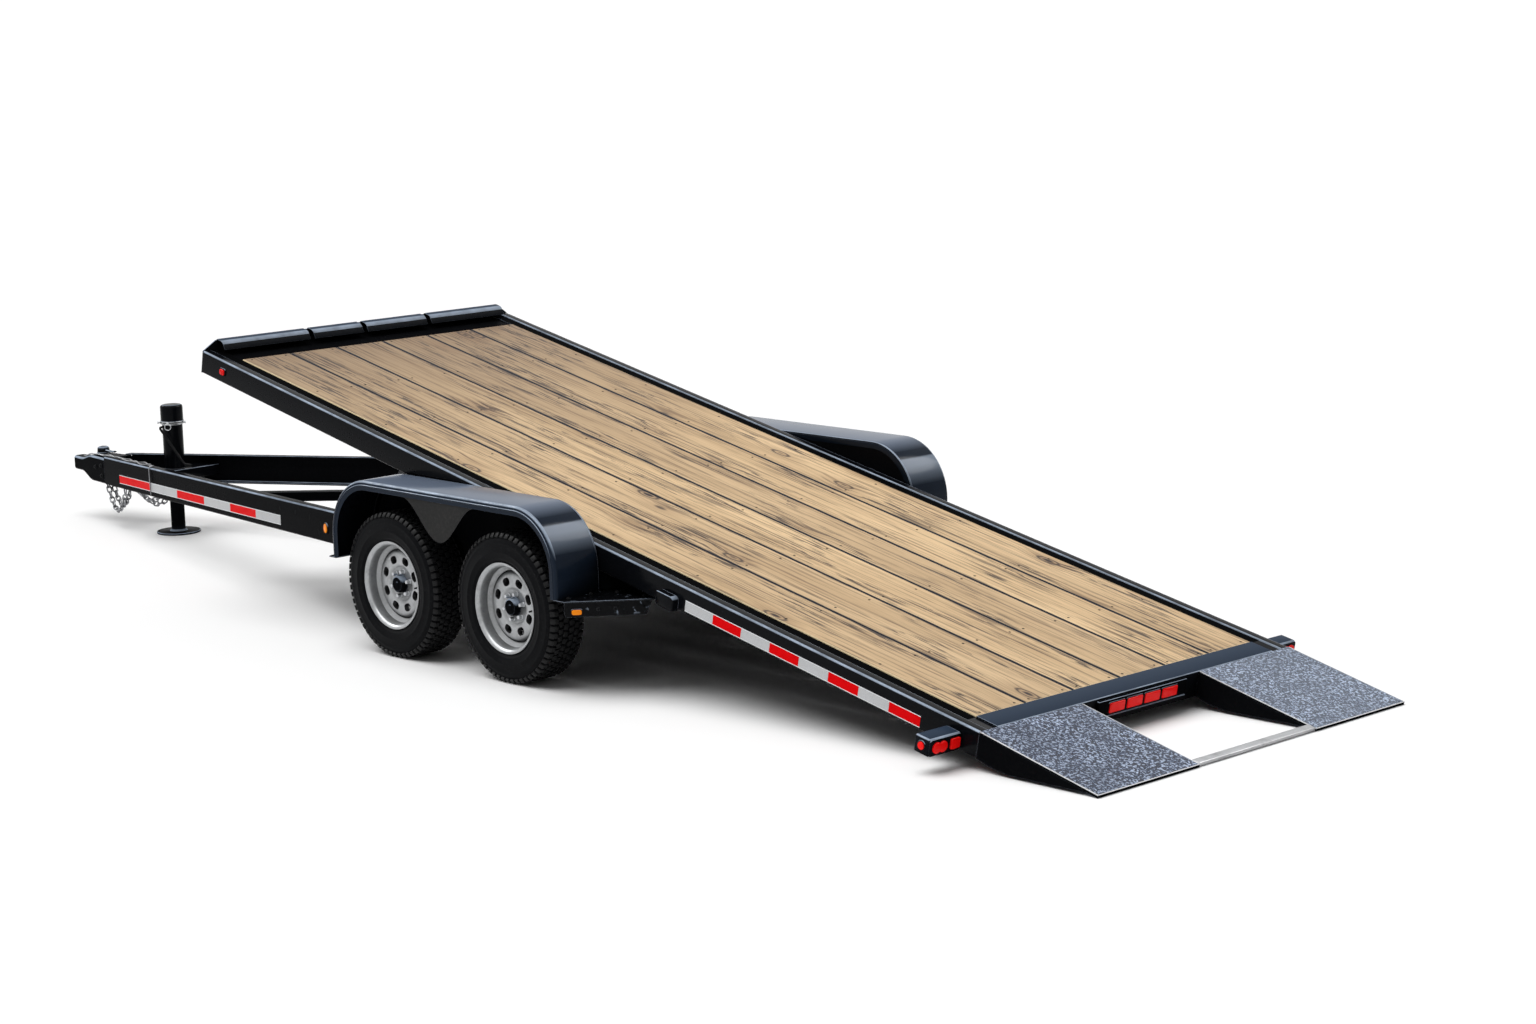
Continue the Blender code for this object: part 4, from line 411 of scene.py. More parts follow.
def pine_finish():
    """Weathered pine, from a UV map in metres along and across each board."""
    made, tree, shader, place = start_finish("pine_boards")
    board = put(tree, "UVMap")
    board.uv_map = "grain"
    board = board.outputs["UV"]
    normal, _ = soft_edge(tree, 0.003)
    cells = put(tree, "Mapping", Vector=board, Scale=(1.7, 4.6, 1.0)).outputs["Vector"]
    knots = put(tree, "TexVoronoi", Vector=cells, Scale=1.0).outputs
    chance = put(tree, "SeparateColor", Color=knots["Color"]).outputs["Red"]
    rare = ramp(tree, chance, (0.42, 0.0), (0.45, 1.0))
    knot_near = times(tree, ramp(tree, knots["Distance"], (0.05, 1.0), (0.34, 0.0)), rare)
    knot_core = times(tree, ramp(tree, knots["Distance"], (0.040, 1.0), (0.070, 0.0)), rare)
    knot_ring = ramp(tree, knots["Distance"], (0.082, 0.0), (0.100, 1.0), (0.112, 1.0), (0.135, 0.0))
    shift = put(tree, "CombineXYZ", Y=times(tree, knot_near, 0.030)).outputs["Vector"]
    flow = sums(tree, "ADD", board, shift, "VectorMath", "Vector")
    board_tone = streaks(tree, board, (0.12, 0.50, 1.0), 1.0)
    tone = streaks(tree, flow, (0.55, 6.0, 1.0))
    lines = streaks(tree, flow, (1.3, 52.0, 1.0), 5.0, 0.62, 0.25)
    fibre = streaks(tree, flow, (9.0, 420.0, 1.0), 3.0, 0.6)
    vein = streaks(tree, flow, (1.1, 74.0, 1.0), 2.0, 0.5, 0.8)
    patches = streaks(tree, flow, (1.5, 7.5, 1.0), 2.0, 0.5, 0.4)
    streak = streaks(tree, flow, (3.4, 66.0, 1.0), 3.0, 0.60, 0.8)
    wander = span(tree, streaks(tree, board, (7.0, 30.0, 1.0)), -0.55, 0.55)
    ahead_share = span(tree, axes(tree, place)["X"], 0.0, 0.90, *DARKENS_AHEAD)
    where = sums(tree, "ADD", patches, times(tree, ahead_share, 0.12))
    stained = ramp(tree, where, (0.51, 0.04), (0.61, 1.0))
    cracked = ramp(tree, where, (0.40, 0.20), (0.60, 0.95))
    stain = times(tree, ramp(tree, streak, (0.525, 0.0), (0.575, 1.0)), stained)
    crack = times(tree, ramp(tree, vein, (0.595, 0.0), (0.635, 1.0)), cracked)
    dark = sums(tree, "MAXIMUM", stain, crack)
    # Painted shade: a strip along each seam, with a wandering edge, and the side faces in the gaps turn
    # near-black. The faces at the rim instead get a pale painted highlight.
    seam_shade = ramp(tree, sums(tree, "ADD", marked(tree, "seam"), wander), (0.34, 0.0), (0.48, 1.0))
    side_face = marked(tree, "fold")
    colour = layered(
        tree, ramp(tree, tone, (0.28, (0.610, 0.415, 0.222)), (0.70, (0.930, 0.670, 0.385))),
        (ramp(tree, board_tone, (0.38, 0.0), (0.62, 0.34)), (0.420, 0.290, 0.175)),
        (ahead_share, (0.270, 0.185, 0.115)),
        (ramp(tree, lines, (0.50, 0.0), (0.68, 0.90)), (0.185, 0.115, 0.066)),
        (ramp(tree, fibre, (0.50, 0.0), (0.85, 0.50)), (0.260, 0.165, 0.090)),
        (times(tree, dark, 0.92), (0.062, 0.042, 0.032)),
        (times(tree, knot_near, 0.45), (0.220, 0.120, 0.060)),
        (times(tree, knot_ring, rare, 0.85), (0.040, 0.028, 0.024)),
        (knot_core, (0.030, 0.020, 0.018)),
        # painted shade in the seams and gaps, then a painted highlight on the rim faces
        (seam_shade, (0.008, 0.009, 0.016)),
        (side_face, (0.006, 0.007, 0.013)),
        (times(tree, side_face, -1.0), (0.860, 0.700, 0.430)),
    )
    fill(tree, shader, Base_Color=colour, Roughness=span(tree, lines, 0.52, 0.80), Specular_IOR_Level=0.30)
    height = sums(tree, "SUBTRACT", times(tree, lines, 0.7), times(tree, dark, 0.6))
    bumped(tree, shader, height, 0.35, 0.0015, normal)
    return made


PINE = pine_finish()
print("pine:", len(PINE.node_tree.nodes), "nodes")

# %% [markdown]
# ## Bright metals and rubber
#
# The wheels wear silver paint over steel: metallic, but soft, with patches of brake dust, and
# with painted shade in the low places. Chains and pins are zinc plated, mottled like frost, and
# the chains also take painted shade in their hollows. The bar between the approach plates is
# bare and scratched along its length. Rubber is nearly black and dull, and greyer where it rubs.
# A metal's grain is one noise, stretched along the way it was drawn or brushed.

# %% Metals and rubber
def bright_metal(name, tone, dark, metal, gloss, grain, dirt, hollow_shade=0.0):
    """A metal finish whose grain is stretched by the given scale on each axis, shade painted in hollows."""
    made, tree, shader, place = start_finish(name)
    normal, near_edge = soft_edge(tree, 0.0015)
    drawn = streaks(tree, place, grain, 4.0, 0.6)
    grime = ramp(tree, noise(tree, place, 9.0, 5.0, 0.65), (0.50, 0.0), (0.75, 1.0))
    colour = layered(
        tree, tone,
        (ramp(tree, drawn, (0.3, 0.0), (0.7, 0.55)), dark),
        (times(tree, grime, dirt), [channel * 0.25 for channel in tone]),
        (ramp(tree, near_edge, (0.02, 0.0), (0.25, 0.7)), (0.85, 0.86, 0.88)),
    )
    # Painted shade: ambient occlusion darkens the hollows.
    if hollow_shade:
        shade = hollows(tree, 0.10, (0.30, hollow_shade), (0.95, 0.0))
        colour = layered(tree, colour, (shade, (0.030, 0.030, 0.031)))
    fill(tree, shader, Base_Color=colour, Roughness=span(tree, drawn, gloss, gloss + 0.22), Metallic=metal)
    bumped(tree, shader, drawn, 0.15, 0.0005, normal)
    return made


# The last number, where given, is the painted shade in hollows.
SILVER = bright_metal(
    "silver_wheel_paint", (0.47, 0.48, 0.49), (0.33, 0.34, 0.35), 0.70, 0.26, (70.0, 70.0, 70.0), 0.60, 0.85)
ZINC = bright_metal(
    "zinc_plate", (0.66, 0.68, 0.70), (0.34, 0.35, 0.37), 0.90, 0.22, (160.0, 160.0, 160.0), 0.5)
WORN = bright_metal(
    "worn_bare_steel", (0.50, 0.51, 0.52), (0.22, 0.22, 0.23), 0.80, 0.34, (260.0, 7.0, 260.0), 0.6)
RUBBED_AND_HIGHLIT = bright_metal(
    "edge_wear_and_highlight", (0.80, 0.81, 0.83), (0.55, 0.56, 0.58), 0.30, 0.30, (90.0, 90.0, 90.0), 0.2)
CHAIN_ZINC = bright_metal(
    "chain_zinc", (0.40, 0.41, 0.43), (0.04, 0.04, 0.045), 0.85, 0.18, (210.0, 210.0, 210.0), 0.8, 0.9)


def rubber_finish(name, tone, dull, specular):
    """Tyre rubber, with a dusty bloom and fine grain."""
    made, tree, shader, place = start_finish(name)
    worn = noise(tree, place, 60.0, 4.0, 0.7)
    colour = layered(
        tree, tone,
        (noise(tree, place, 6.0, 5.0, 0.7), [channel * 1.9 for channel in tone]),
        (ramp(tree, worn, (0.55, 0.0), (0.85, 0.3)), (0.045, 0.045, 0.047)),
    )
    fill(tree, shader, Base_Color=colour, Roughness=span(tree, worn, dull - 0.12, dull + 0.10),
         Specular_IOR_Level=specular)
    bumped(tree, shader, noise(tree, place, 420.0, 3.0), 0.25, 0.0006)
    return made


RUBBER = rubber_finish("sidewall_rubber", (0.0024, 0.0026, 0.0032), 0.46, 0.040)
TREAD_RUBBER = rubber_finish("tread_rubber", (0.0050, 0.0051, 0.0055), 0.46, 0.160)
print("metals and rubber ready")

# %% [markdown]
# ## Grit, lenses and tape
#
# The approach plates carry a thick coat of anti-slip grit whose grains are pale and dark at
# random, and a little paler towards the right. Lamp lenses are clear coloured plastic over
# moulded ribs, with a faint painted glow. The tape is made of tiny prisms, which show as a fine
# lattice. Noise, waves and Voronoi cells at the real size of grain, rib and prism give each of
# them.

# %% Grit, lenses and tape
HALF_PLATES = 0.6


def grit_finish():
    """Anti-slip coat: pale and navy grains over dark paint."""
    made, tree, shader, place = start_finish("anti_slip_grit")
    normal, _ = soft_edge(tree, 0.002)
    grains = noise(tree, place, 92.0, 2.0, 0.50, 0.6)
    cells = put(tree, "TexVoronoi", Vector=place, Scale=190.0).outputs["Distance"]
    colour = layered(
        tree,
        ramp(tree, grains, (0.46, (0.003, 0.006, 0.020)), (0.53, (0.040, 0.072, 0.150)),
             (0.59, (0.500, 0.590, 0.760))),
        (ramp(tree, cells, (0.06, 0.30), (0.28, 0.0)), (0.64, 0.70, 0.80)),
        (ramp(tree, noise(tree, place, 5.0, 3.0), (0.35, 0.0), (0.70, 0.50)), (0.012, 0.022, 0.052)),
        (span(tree, axes(tree, place)["Y"], 0.0, 0.16, -HALF_PLATES, HALF_PLATES), (0.480, 0.560, 0.680)),
    )
    fill(tree, shader, Base_Color=colour, Roughness=span(tree, grains, 0.55, 0.85))
    bumped(tree, shader, grains, 0.9, 0.004, normal)
    return made


def lens_finish(name, tone, deep, rib_scale):
    """Coloured lamp plastic over moulded ribs."""
    made, tree, shader, place = start_finish(name)
    wave = put(tree, "TexWave", Vector=place, Scale=rib_scale)
    wave.bands_direction = "Y"
    ribs = wave.outputs["Fac"]
    pips = put(tree, "TexVoronoi", Vector=place, Scale=170.0).outputs["Distance"]
    colour = layered(
        tree, tone,
        (ramp(tree, ribs, (0.2, 0.0), (0.9, 0.7)), deep),
        (ramp(tree, pips, (0.1, 0.35), (0.5, 0.0)), tone),
    )
    # A faint emission in the lens's own colour is a painted glow: the lamps are not lit.
    fill(tree, shader, Base_Color=colour, Roughness=span(tree, pips, 0.10, 0.28), Specular_IOR_Level=0.05,
         Coat_Weight=0.12, Coat_Roughness=0.06, Emission_Strength=0.16, Emission_Color=colour)
    bumped(tree, shader, ribs, 0.35, 0.0012)
    return made


def tape_finish(name, tone, dark):
    """Reflective tape: a lattice of prisms under a clear film."""
    made, tree, shader, place = start_finish(name)
    prisms = put(tree, "TexVoronoi", Vector=place, Scale=210.0)
    prisms.feature = "DISTANCE_TO_EDGE"
    lattice = prisms.outputs["Distance"]
    smudge = noise(tree, place, 14.0, 4.0, 0.6)
    colour = layered(
        tree, tone,
        (ramp(tree, lattice, (0.02, 0.55), (0.12, 0.0)), dark),
        (ramp(tree, smudge, (0.55, 0.0), (0.80, 0.35)), dark),
    )
    fill(tree, shader, Base_Color=colour, Roughness=span(tree, smudge, 0.22, 0.42), Specular_IOR_Level=0.01)
    bumped(tree, shader, lattice, 0.2, 0.0004)
    return made


GRIT = grit_finish()
RED_LENS = lens_finish("red_lens", (0.880, 0.006, 0.005), (0.500, 0.002, 0.003), 60.0)
AMBER_LENS = lens_finish("amber_lens", (1.00, 0.300, 0.008), (0.72, 0.130, 0.004), 90.0)
RED_TAPE = tape_finish("red_tape", (0.860, 0.003, 0.005), (0.560, 0.002, 0.004))
PALE_TAPE = tape_finish("pale_tape", (0.610, 0.620, 0.630), (0.430, 0.440, 0.460))
EDGE_TAPE = tape_finish("tape_edge", (0.860, 0.870, 0.880), (0.660, 0.740, 0.800))
print("grit, lenses and tape ready")

# %% [markdown]
# ## Helpers for shapes
#
# Rolled and folded steel has no sharp corner, and the small radius is what catches the light.
# So each outline is drawn sharp, as a maker would mark it out, and its corners are then rounded,
# in the outline where the radius is known and with a bevel on the remaining edges. `finished`
# puts a shape in place inside its mesh, gives it its finish, hangs it on the body it rides on and
# hides the plain CAD piece it stands for.

# %% Shape helpers
def prism(outline, axis, low, high):
    """A solid from a closed outline run along one axis. Pairs are (y, z), (x, z) or (x, y)."""
    place = {
        "x": lambda a, b, along: (along, a, b),
        "y": lambda a, b, along: (a, along, b),
        "z": lambda a, b, along: (a, b, along),
    }[axis]
    near = [place(a, b, low) for a, b in outline]
    far = [place(a, b, high) for a, b in outline]
    return loft([near, far])


def box(low, high):
    """A box between two corners."""
    outline = [(low[0], low[1]), (high[0], low[1]), (high[0], high[1]), (low[0], high[1])]
    return prism(outline, "z", low[2], high[2])


def loft(sections, closed=False):
    """A skin over outlines of equal length, capped at both ends unless it closes on itself."""
    shape = bmesh.new()
    rings = [[shape.verts.new(point) for point in section] for section in sections]
    pairs = list(zip(rings, rings[1:]))
    if closed:
        pairs.append((rings[-1], rings[0]))
    else:
        shape.faces.new(rings[0])
        shape.faces.new(rings[-1])
    count = len(rings[0])
    for first, second in pairs:
        for index in range(count):
            after = (index + 1) % count
            shape.faces.new((first[index], first[after], second[after], second[index]))
    bmesh.ops.recalc_face_normals(shape, faces=shape.faces)
    return shape


def turned(profile, segments, centre, outward=1.0, axis="y"):
    """Spins (along, radius) pairs about an axis. Ends on the axis close it, others make a ring."""
    shape = bmesh.new()
    rings = []
    for along, radius in profile:
        ring = []
        for step in range(segments if radius > 0.0 else 1):
            angle = 2 * math.pi * step / segments
            a, b = radius * math.cos(angle), radius * math.sin(angle)
            point = (a, outward * along, b) if axis == "y" else (a, b, outward * along)
            ring.append(shape.verts.new(Vector(centre) + Vector(point)))
        rings.append(ring)
    pairs = list(zip(rings, rings[1:]))
    if profile[0][1] > 0.0:
        pairs.append((rings[-1], rings[0]))
    for first, second in pairs:
        for step in range(segments):
            after = (step + 1) % segments
            corners = [first[step % len(first)], first[after % len(first)]]
            corners += [second[after % len(second)], second[step % len(second)]]
            shape.faces.new(list(dict.fromkeys(corners)))
    bmesh.ops.recalc_face_normals(shape, faces=shape.faces)
    return shape


def rounded(corners, steps=4):
    """An outline of (a, b, radius) corners, each replaced by its arc."""
    points = []
    for index, (a, b, radius) in enumerate(corners):
        here = Vector((a, b))
        to_last = (Vector(corners[index - 1][:2]) - here).normalized()
        to_next = (Vector(corners[(index + 1) % len(corners)][:2]) - here).normalized()
        half = to_last.angle(to_next) / 2
        if radius <= 0.0 or half > 1.5:
            points.append((a, b))
            continue
        centre = here + (to_last + to_next).normalized() * radius / math.sin(half)
        first = here + to_last * radius / math.tan(half) - centre
        last = here + to_next * radius / math.tan(half) - centre
        for step in range(steps + 1):
            point = centre + first.slerp(last, step / steps) * radius
            points.append((point.x, point.y))
    return points


def rounded_alike(corners, radius, steps=4):
    """An outline whose corners all have one radius."""
    return rounded([(a, b, radius) for a, b in corners], steps)


def mm(*points):
    """A profile of (along, radius) pairs given in millimetres."""
    return tuple((along / 1000, radius / 1000) for along, radius in points)


def soften(shape, width, segments, sharper=30.0):
    """Bevels every edge that turns by more than an angle."""
    limit = math.radians(sharper)
    edges = [edge for edge in shape.edges if edge.is_manifold and edge.calc_face_angle() > limit]
    bmesh.ops.bevel(
        shape, geom=edges, offset=width, segments=segments, profile=0.5, affect="EDGES", clamp_overlap=True)
    return shape


def tube(points, radius, sides, closed=False):
    """A round bar along a line of points, its ends capped."""
    line = [Vector(point) for point in points]
    sections = []
    frame_up = Vector((0.0, 0.0, 1.0))
    for index, point in enumerate(line):
        before = line[index - 1] if index or closed else point
        after = line[(index + 1) % len(line)] if index < len(line) - 1 or closed else point
        ahead_here = (after - before).normalized()
        if abs(ahead_here.dot(frame_up)) > 0.95:
            frame_up = Vector((0.0, 1.0, 0.0))
        side = ahead_here.cross(frame_up).normalized()
        frame_up = side.cross(ahead_here).normalized()
        ring = []
        for step in range(sides):
            angle = 2 * math.pi * step / sides
            ring.append(point + (side * math.cos(angle) + frame_up * math.sin(angle)) * radius)
        sections.append(ring)
    return loft(sections, closed)


def as_mesh(name, shape):
    """A shape as a mesh. The shape itself is freed."""
    mesh = bpy.data.meshes.new(name)
    shape.to_mesh(mesh)
    shape.free()
    return mesh


def gather(shapes):
    """Several shapes as one."""
    whole = bmesh.new()
    for shape in shapes:
        mesh = as_mesh("part", shape)
        whole.from_mesh(mesh)
        bpy.data.meshes.remove(mesh)
    return whole


def moved(shape, matrix):
    """A shape put in another place."""
    bmesh.ops.transform(shape, matrix=matrix, verts=shape.verts)
    return shape


FOLD_WIDTH = 0.0062
FOLD_ANGLE = 0.06


def mark_folds(shape):
    """Marks the narrow faces that make a rounded edge, where the paints lay a painted highlight."""
    mark = shape.faces.layers.float.new("fold")
    for face in shape.faces:
        width = face.calc_area() / max(edge.calc_length() for edge in face.edges)
        bent = any(edge.is_manifold and edge.calc_face_angle() > FOLD_ANGLE for edge in face.edges)
        face[mark] = 1.0 if width < FOLD_WIDTH and bent else 0.0


def smoothed(mesh, angle):
    """Shades a mesh smooth, with a sharp edge where it turns by more than an angle."""
    mesh.shade_smooth()
    mesh.set_sharp_from_angle(angle=math.radians(angle))


def finished(name, shape, finish, body, matrix=None, replaces=(), smooth=38.0):
    """A shape as a named piece: placed in its mesh, painted, shaded and riding on its body."""
    if "fold" not in shape.faces.layers.float.keys():
        mark_folds(shape)
    mesh = as_mesh(name, moved(shape, matrix) if matrix else shape)
    mesh.materials.append(finish)
    smoothed(mesh, smooth)
    made = placed(name, mesh)
    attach(made, body)
    if replaces:
        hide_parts(*replaces)
    return made


def settled(made):
    """Takes what an object's modifier has made as its own plain mesh."""
    result = bpy.data.meshes.new_from_object(made.evaluated_get(bpy.context.evaluated_depsgraph_get()))
    made.modifiers.clear()
    made.data = result
    return result


def cut(made, cutter_shape):
    """Takes a shape away from a finished piece."""
    cutter = placed("cutter", as_mesh("cutter", cutter_shape))
    change = made.modifiers.new("cut", "BOOLEAN")
    change.operation = "DIFFERENCE"
    change.solver = "EXACT"
    change.object = cutter
    settled(made)
    bpy.data.objects.remove(cutter)


print("shape helpers ready")

# %% [markdown]
# ## Repeating a part with Geometry Nodes
#
# Lug nuts, tread blocks, screws and chain links are one small part set down many times. Copying
# objects would be slow and heavy to edit. Geometry Nodes can instance one part on a cloud of
# points instead: each point carries its turn as an attribute, and the tree has named inputs for
# the part, its size, how much the size varies, the seed and the finish. The tree ends in Realize
# Instances, so the result can be taken as one plain mesh per body.

# %% The repeat tree
TREE_INPUTS = (
    ("Points", "Geometry"), ("Part", "Object"), ("Size", "Float"), ("Variation", "Float"),
    ("Seed", "Int"), ("Finish", "Material"),
)
TREE_NODES = {
    "given": "NodeGroupInput",
    "result": "NodeGroupOutput",
    "cloud": "GeometryNodeMeshToPoints",
    "part": "GeometryNodeObjectInfo",
    "turn": "GeometryNodeInputNamedAttribute",
    "rotation": "FunctionNodeEulerToRotation",
    "stretch": "GeometryNodeInputNamedAttribute",
    "scale": "ShaderNodeVectorMath",
    "smallest": "ShaderNodeMath",
    "largest": "ShaderNodeMath",
    "chance": "FunctionNodeRandomValue",
    "instances": "GeometryNodeInstanceOnPoints",
    "solid": "GeometryNodeRealizeInstances",
    "painted": "GeometryNodeSetMaterial",
}
TREE_LINKS = (
    ("given", "Points", "cloud", "Mesh"),
    ("given", "Part", "part", "Object"),
    ("turn", "Attribute", "rotation", "Euler"),
    ("given", "Size", "smallest", 0),
    ("given", "Variation", "smallest", 1),
    ("given", "Size", "largest", 0),
    ("given", "Variation", "largest", 1),
    ("smallest", 0, "chance", 2),
    ("largest", 0, "chance", 3),
    ("given", "Seed", "chance", "Seed"),
    ("cloud", "Points", "instances", "Points"),
    ("part", "Geometry", "instances", "Instance"),
    ("rotation", "Rotation", "instances", "Rotation"),
    ("stretch", "Attribute", "scale", 0),
    ("chance", 1, "scale", "Scale"),
    ("scale", "Vector", "instances", "Scale"),
    ("instances", "Instances", "solid", "Geometry"),
    ("solid", "Geometry", "painted", "Geometry"),
    ("given", "Finish", "painted", "Material"),
    ("painted", "Geometry", "result", "Result"),
)


def make_repeat_tree():
    """Instances a part on points, turned and stretched by each point's own attributes."""
    tree = bpy.data.node_groups.new("repeat_part", "GeometryNodeTree")
    for name, kind in TREE_INPUTS:
        tree.interface.new_socket(name=name, in_out="INPUT", socket_type="NodeSocket" + kind)
    tree.interface.new_socket(name="Result", in_out="OUTPUT", socket_type="NodeSocketGeometry")
    nodes = {name: tree.nodes.new(kind) for name, kind in TREE_NODES.items()}
    for name, operation in (("scale", "SCALE"), ("smallest", "SUBTRACT"), ("largest", "ADD")):
        nodes[name].operation = operation
    for name in ("turn", "stretch"):
        nodes[name].data_type = "FLOAT_VECTOR"
        nodes[name].inputs["Name"].default_value = name
    for source, output, target, socket in TREE_LINKS:
        tree.links.new(nodes[source].outputs[output], nodes[target].inputs[socket])
    return tree


REPEAT = make_repeat_tree()
SOCKETS = {item.name: item.identifier for item in REPEAT.interface.items_tree if item.in_out == "INPUT"}
UNSTRETCHED = (1.0, 1.0, 1.0)
ORIGIN = (0.0, 0.0, 0.0)


def repeat(name, part_shape, places, finish, body, variation=0.0, seed=1, smooth=38.0):
    """One part set down at each (point, turn, stretch), as one plain mesh riding on a body."""
    part = placed("part", as_mesh("part", part_shape))
    points = bpy.data.meshes.new(name)
    points.from_pydata([tuple(place[0]) for place in places], [], [])
    for attribute in ("turn", "stretch"):
        points.attributes.new(attribute, "FLOAT_VECTOR", "POINT")
    for index, (_, turn_here, *stretch_here) in enumerate(places):
        points.attributes["turn"].data[index].vector = turn_here
        points.attributes["stretch"].data[index].vector = stretch_here[0] if stretch_here else UNSTRETCHED
    made = placed(name, points)
    change = made.modifiers.new("repeat", "NODES")
    change.node_group = REPEAT
    values = {"Part": part, "Size": 1.0, "Variation": variation, "Seed": seed, "Finish": finish}
    for socket, value in values.items():
        change[SOCKETS[socket]] = value
    smoothed(settled(made), smooth)
    bpy.data.objects.remove(part)
    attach(made, body)
    return made


def aimed(direction, spin=0.0):
    """The turn that points a part's own Z along a direction."""
    spun = Vector(direction).to_track_quat("Z", "Y").to_matrix() @ Matrix.Rotation(spin, 3, "Z")
    return tuple(spun.to_euler())


def hex_bolt(radius, height, washer):
    """A six-sided head with a chamfered top on a washer, standing on its own origin."""
    head = ((0.0, 0.0), (0.0, radius), (height * 0.8, radius), (height, radius * 0.82), (height, 0.0))
    ring = ((-0.001, 0.0), (-0.001, radius * 1.35), (washer * 0.7, radius * 1.35), (washer, radius * 1.25))
    return gather([
        turned(head, 6, (0, 0, washer * 0.8), axis="z"),
        turned(ring + ((washer, 0.0),), 16, ORIGIN, axis="z"),
    ])


print("repeat tree:", len(REPEAT.nodes), "nodes")

# %% [markdown]
# ## The deck's side rails
#
# Each rail is a folded channel. Its top flange is narrow and round-edged, and inside it a sunk
# ledge runs beside the boards. On the long view the flange shows as two thin bright lines, one
# for each rounded edge, which the paint lays there as a painted highlight, so those two radii
# matter most. A thin near-black sheet over the ledge paints the shade that lies in it. The outline
# is drawn once, run the whole length of the deck, and mirrored by its sign for the other side.
# The deck's sizes are those of the level deck, with the hinge as the origin.

# %% Deck sizes and side rails
DECK_HALF_WIDTH = 0.985
DECK_TOP = 0.171
DECK_BOTTOM = 0.056
DECK_FRONT = -2.880
DECK_REAR = 2.572
FLANGE_WIDTH = 0.050
LEDGE_DROP = 0.012
LEDGE_INNER_Y = 0.877
WALL = 0.006
SHELF_LENGTH = 0.195
HEADER_LENGTH = 0.120
HAIRLINE = 0.0003


def rail_outline(side):
    """The rail's section seen from the rear, with its rounded folds."""
    inner = DECK_HALF_WIDTH - FLANGE_WIDTH
    ledge = DECK_TOP - LEDGE_DROP
    corners = (
        (DECK_HALF_WIDTH, DECK_BOTTOM, 0.008),
        (DECK_HALF_WIDTH, DECK_TOP, 0.010),
        (inner, DECK_TOP, 0.006),
        (inner, ledge + WALL, 0.002),
        (LEDGE_INNER_Y, ledge + WALL, 0.002),
        (LEDGE_INNER_Y, ledge, 0.001),
        (DECK_HALF_WIDTH - WALL, ledge, 0.003),
        (DECK_HALF_WIDTH - WALL, DECK_BOTTOM + WALL, 0.003),
        (inner, DECK_BOTTOM + WALL, 0.001),
        (inner, DECK_BOTTOM, 0.001),
    )
    return [(side * y, z) for y, z in rounded(corners)]


EAR_Y = 0.939
EAR_THICK = 0.012
EAR_RADIUS = 0.034
EAR_FOOT = 0.050
EAR_STEPS = 12
BLOCK_START = 0.680
BLOCK_END = 0.790
BLOCK_TOP = DECK_TOP - 0.056
BLOCK_BOTTOM = BLOCK_TOP - 0.064
BLOCK_REACH = 0.035
MARKER_ALONG = DECK_FRONT + 0.190
MARKER_MIDDLE = (DECK_TOP + DECK_BOTTOM) / 2
for side_name, side in SIDES:
    channel = soften(prism(rail_outline(side), "x", DECK_FRONT + WALL, DECK_REAR), 0.0015, 1, 60.0)
    turns = [math.pi + math.pi * step / EAR_STEPS for step in range(EAR_STEPS + 1)]
    ear = [(EAR_RADIUS * math.cos(angle), EAR_RADIUS * math.sin(angle)) for angle in turns]
    ear = [(-EAR_FOOT, DECK_BOTTOM + 0.004)] + ear + [(EAR_FOOT, DECK_BOTTOM + 0.004)]
    near, far = sorted((side * EAR_Y, side * (EAR_Y + EAR_THICK)))
    ear_plate = soften(prism(ear, "y", near, far), 0.002, 2, 60.0)
    block_corners = (
        (BLOCK_START, BLOCK_TOP, 0.006),
        (BLOCK_START, BLOCK_BOTTOM, 0.006),
        (BLOCK_END, BLOCK_BOTTOM, 0.006),
        (BLOCK_END, BLOCK_TOP, 0.022),
    )
    near, far = sorted((side * (DECK_HALF_WIDTH - 0.002), side * (DECK_HALF_WIDTH + BLOCK_REACH)))
    bump_block = soften(prism(rounded(block_corners, 6), "y", near, far), 0.004, 3, 60.0)
    whole = gather([channel, ear_plate, bump_block])
    stands_for = ["deck_rail_" + side_name]
    finished("deck_rail_skin_" + side_name, whole, SMOOTH_BLACK, "deck", DECK, stands_for)
    # A thin near-black sheet over the sunk ledge paints the shade that lies in it.
    near, far = sorted((side * (LEDGE_INNER_Y + 0.0005), side * (DECK_HALF_WIDTH - FLANGE_WIDTH - 0.0005)))
    ledge_top = DECK_TOP - LEDGE_DROP + WALL
    low = (DECK_FRONT + 2 * WALL, near, ledge_top - 0.002)
    coat = soften(box(low, (DECK_REAR - HEADER_LENGTH, far, ledge_top + 0.0006)), 0.0003, 1)
    coat.faces.layers.float.new("fold")
    finished("ledge_coat_" + side_name, coat, SHADED_BLACK, "deck", DECK)
print("two deck rails")

# %% [markdown]
# ## The wooden floor
#
# Six long boards lie side by side with a narrow dark gap between them. Each is its own solid
# with slightly rounded edges. Its UV map holds metres along and across the board, and a shift of
# its own. A cut along each side keeps a narrow strip whose points carry an attribute, "seam",
# and the faces in the gap carry "fold", so that shade can be painted into the wood there. The
# side and end faces at the deck's rim carry -1 instead and get a pale painted highlight. The
# screws that hold the boards to the joists are sunk to just under the tops of their heads.

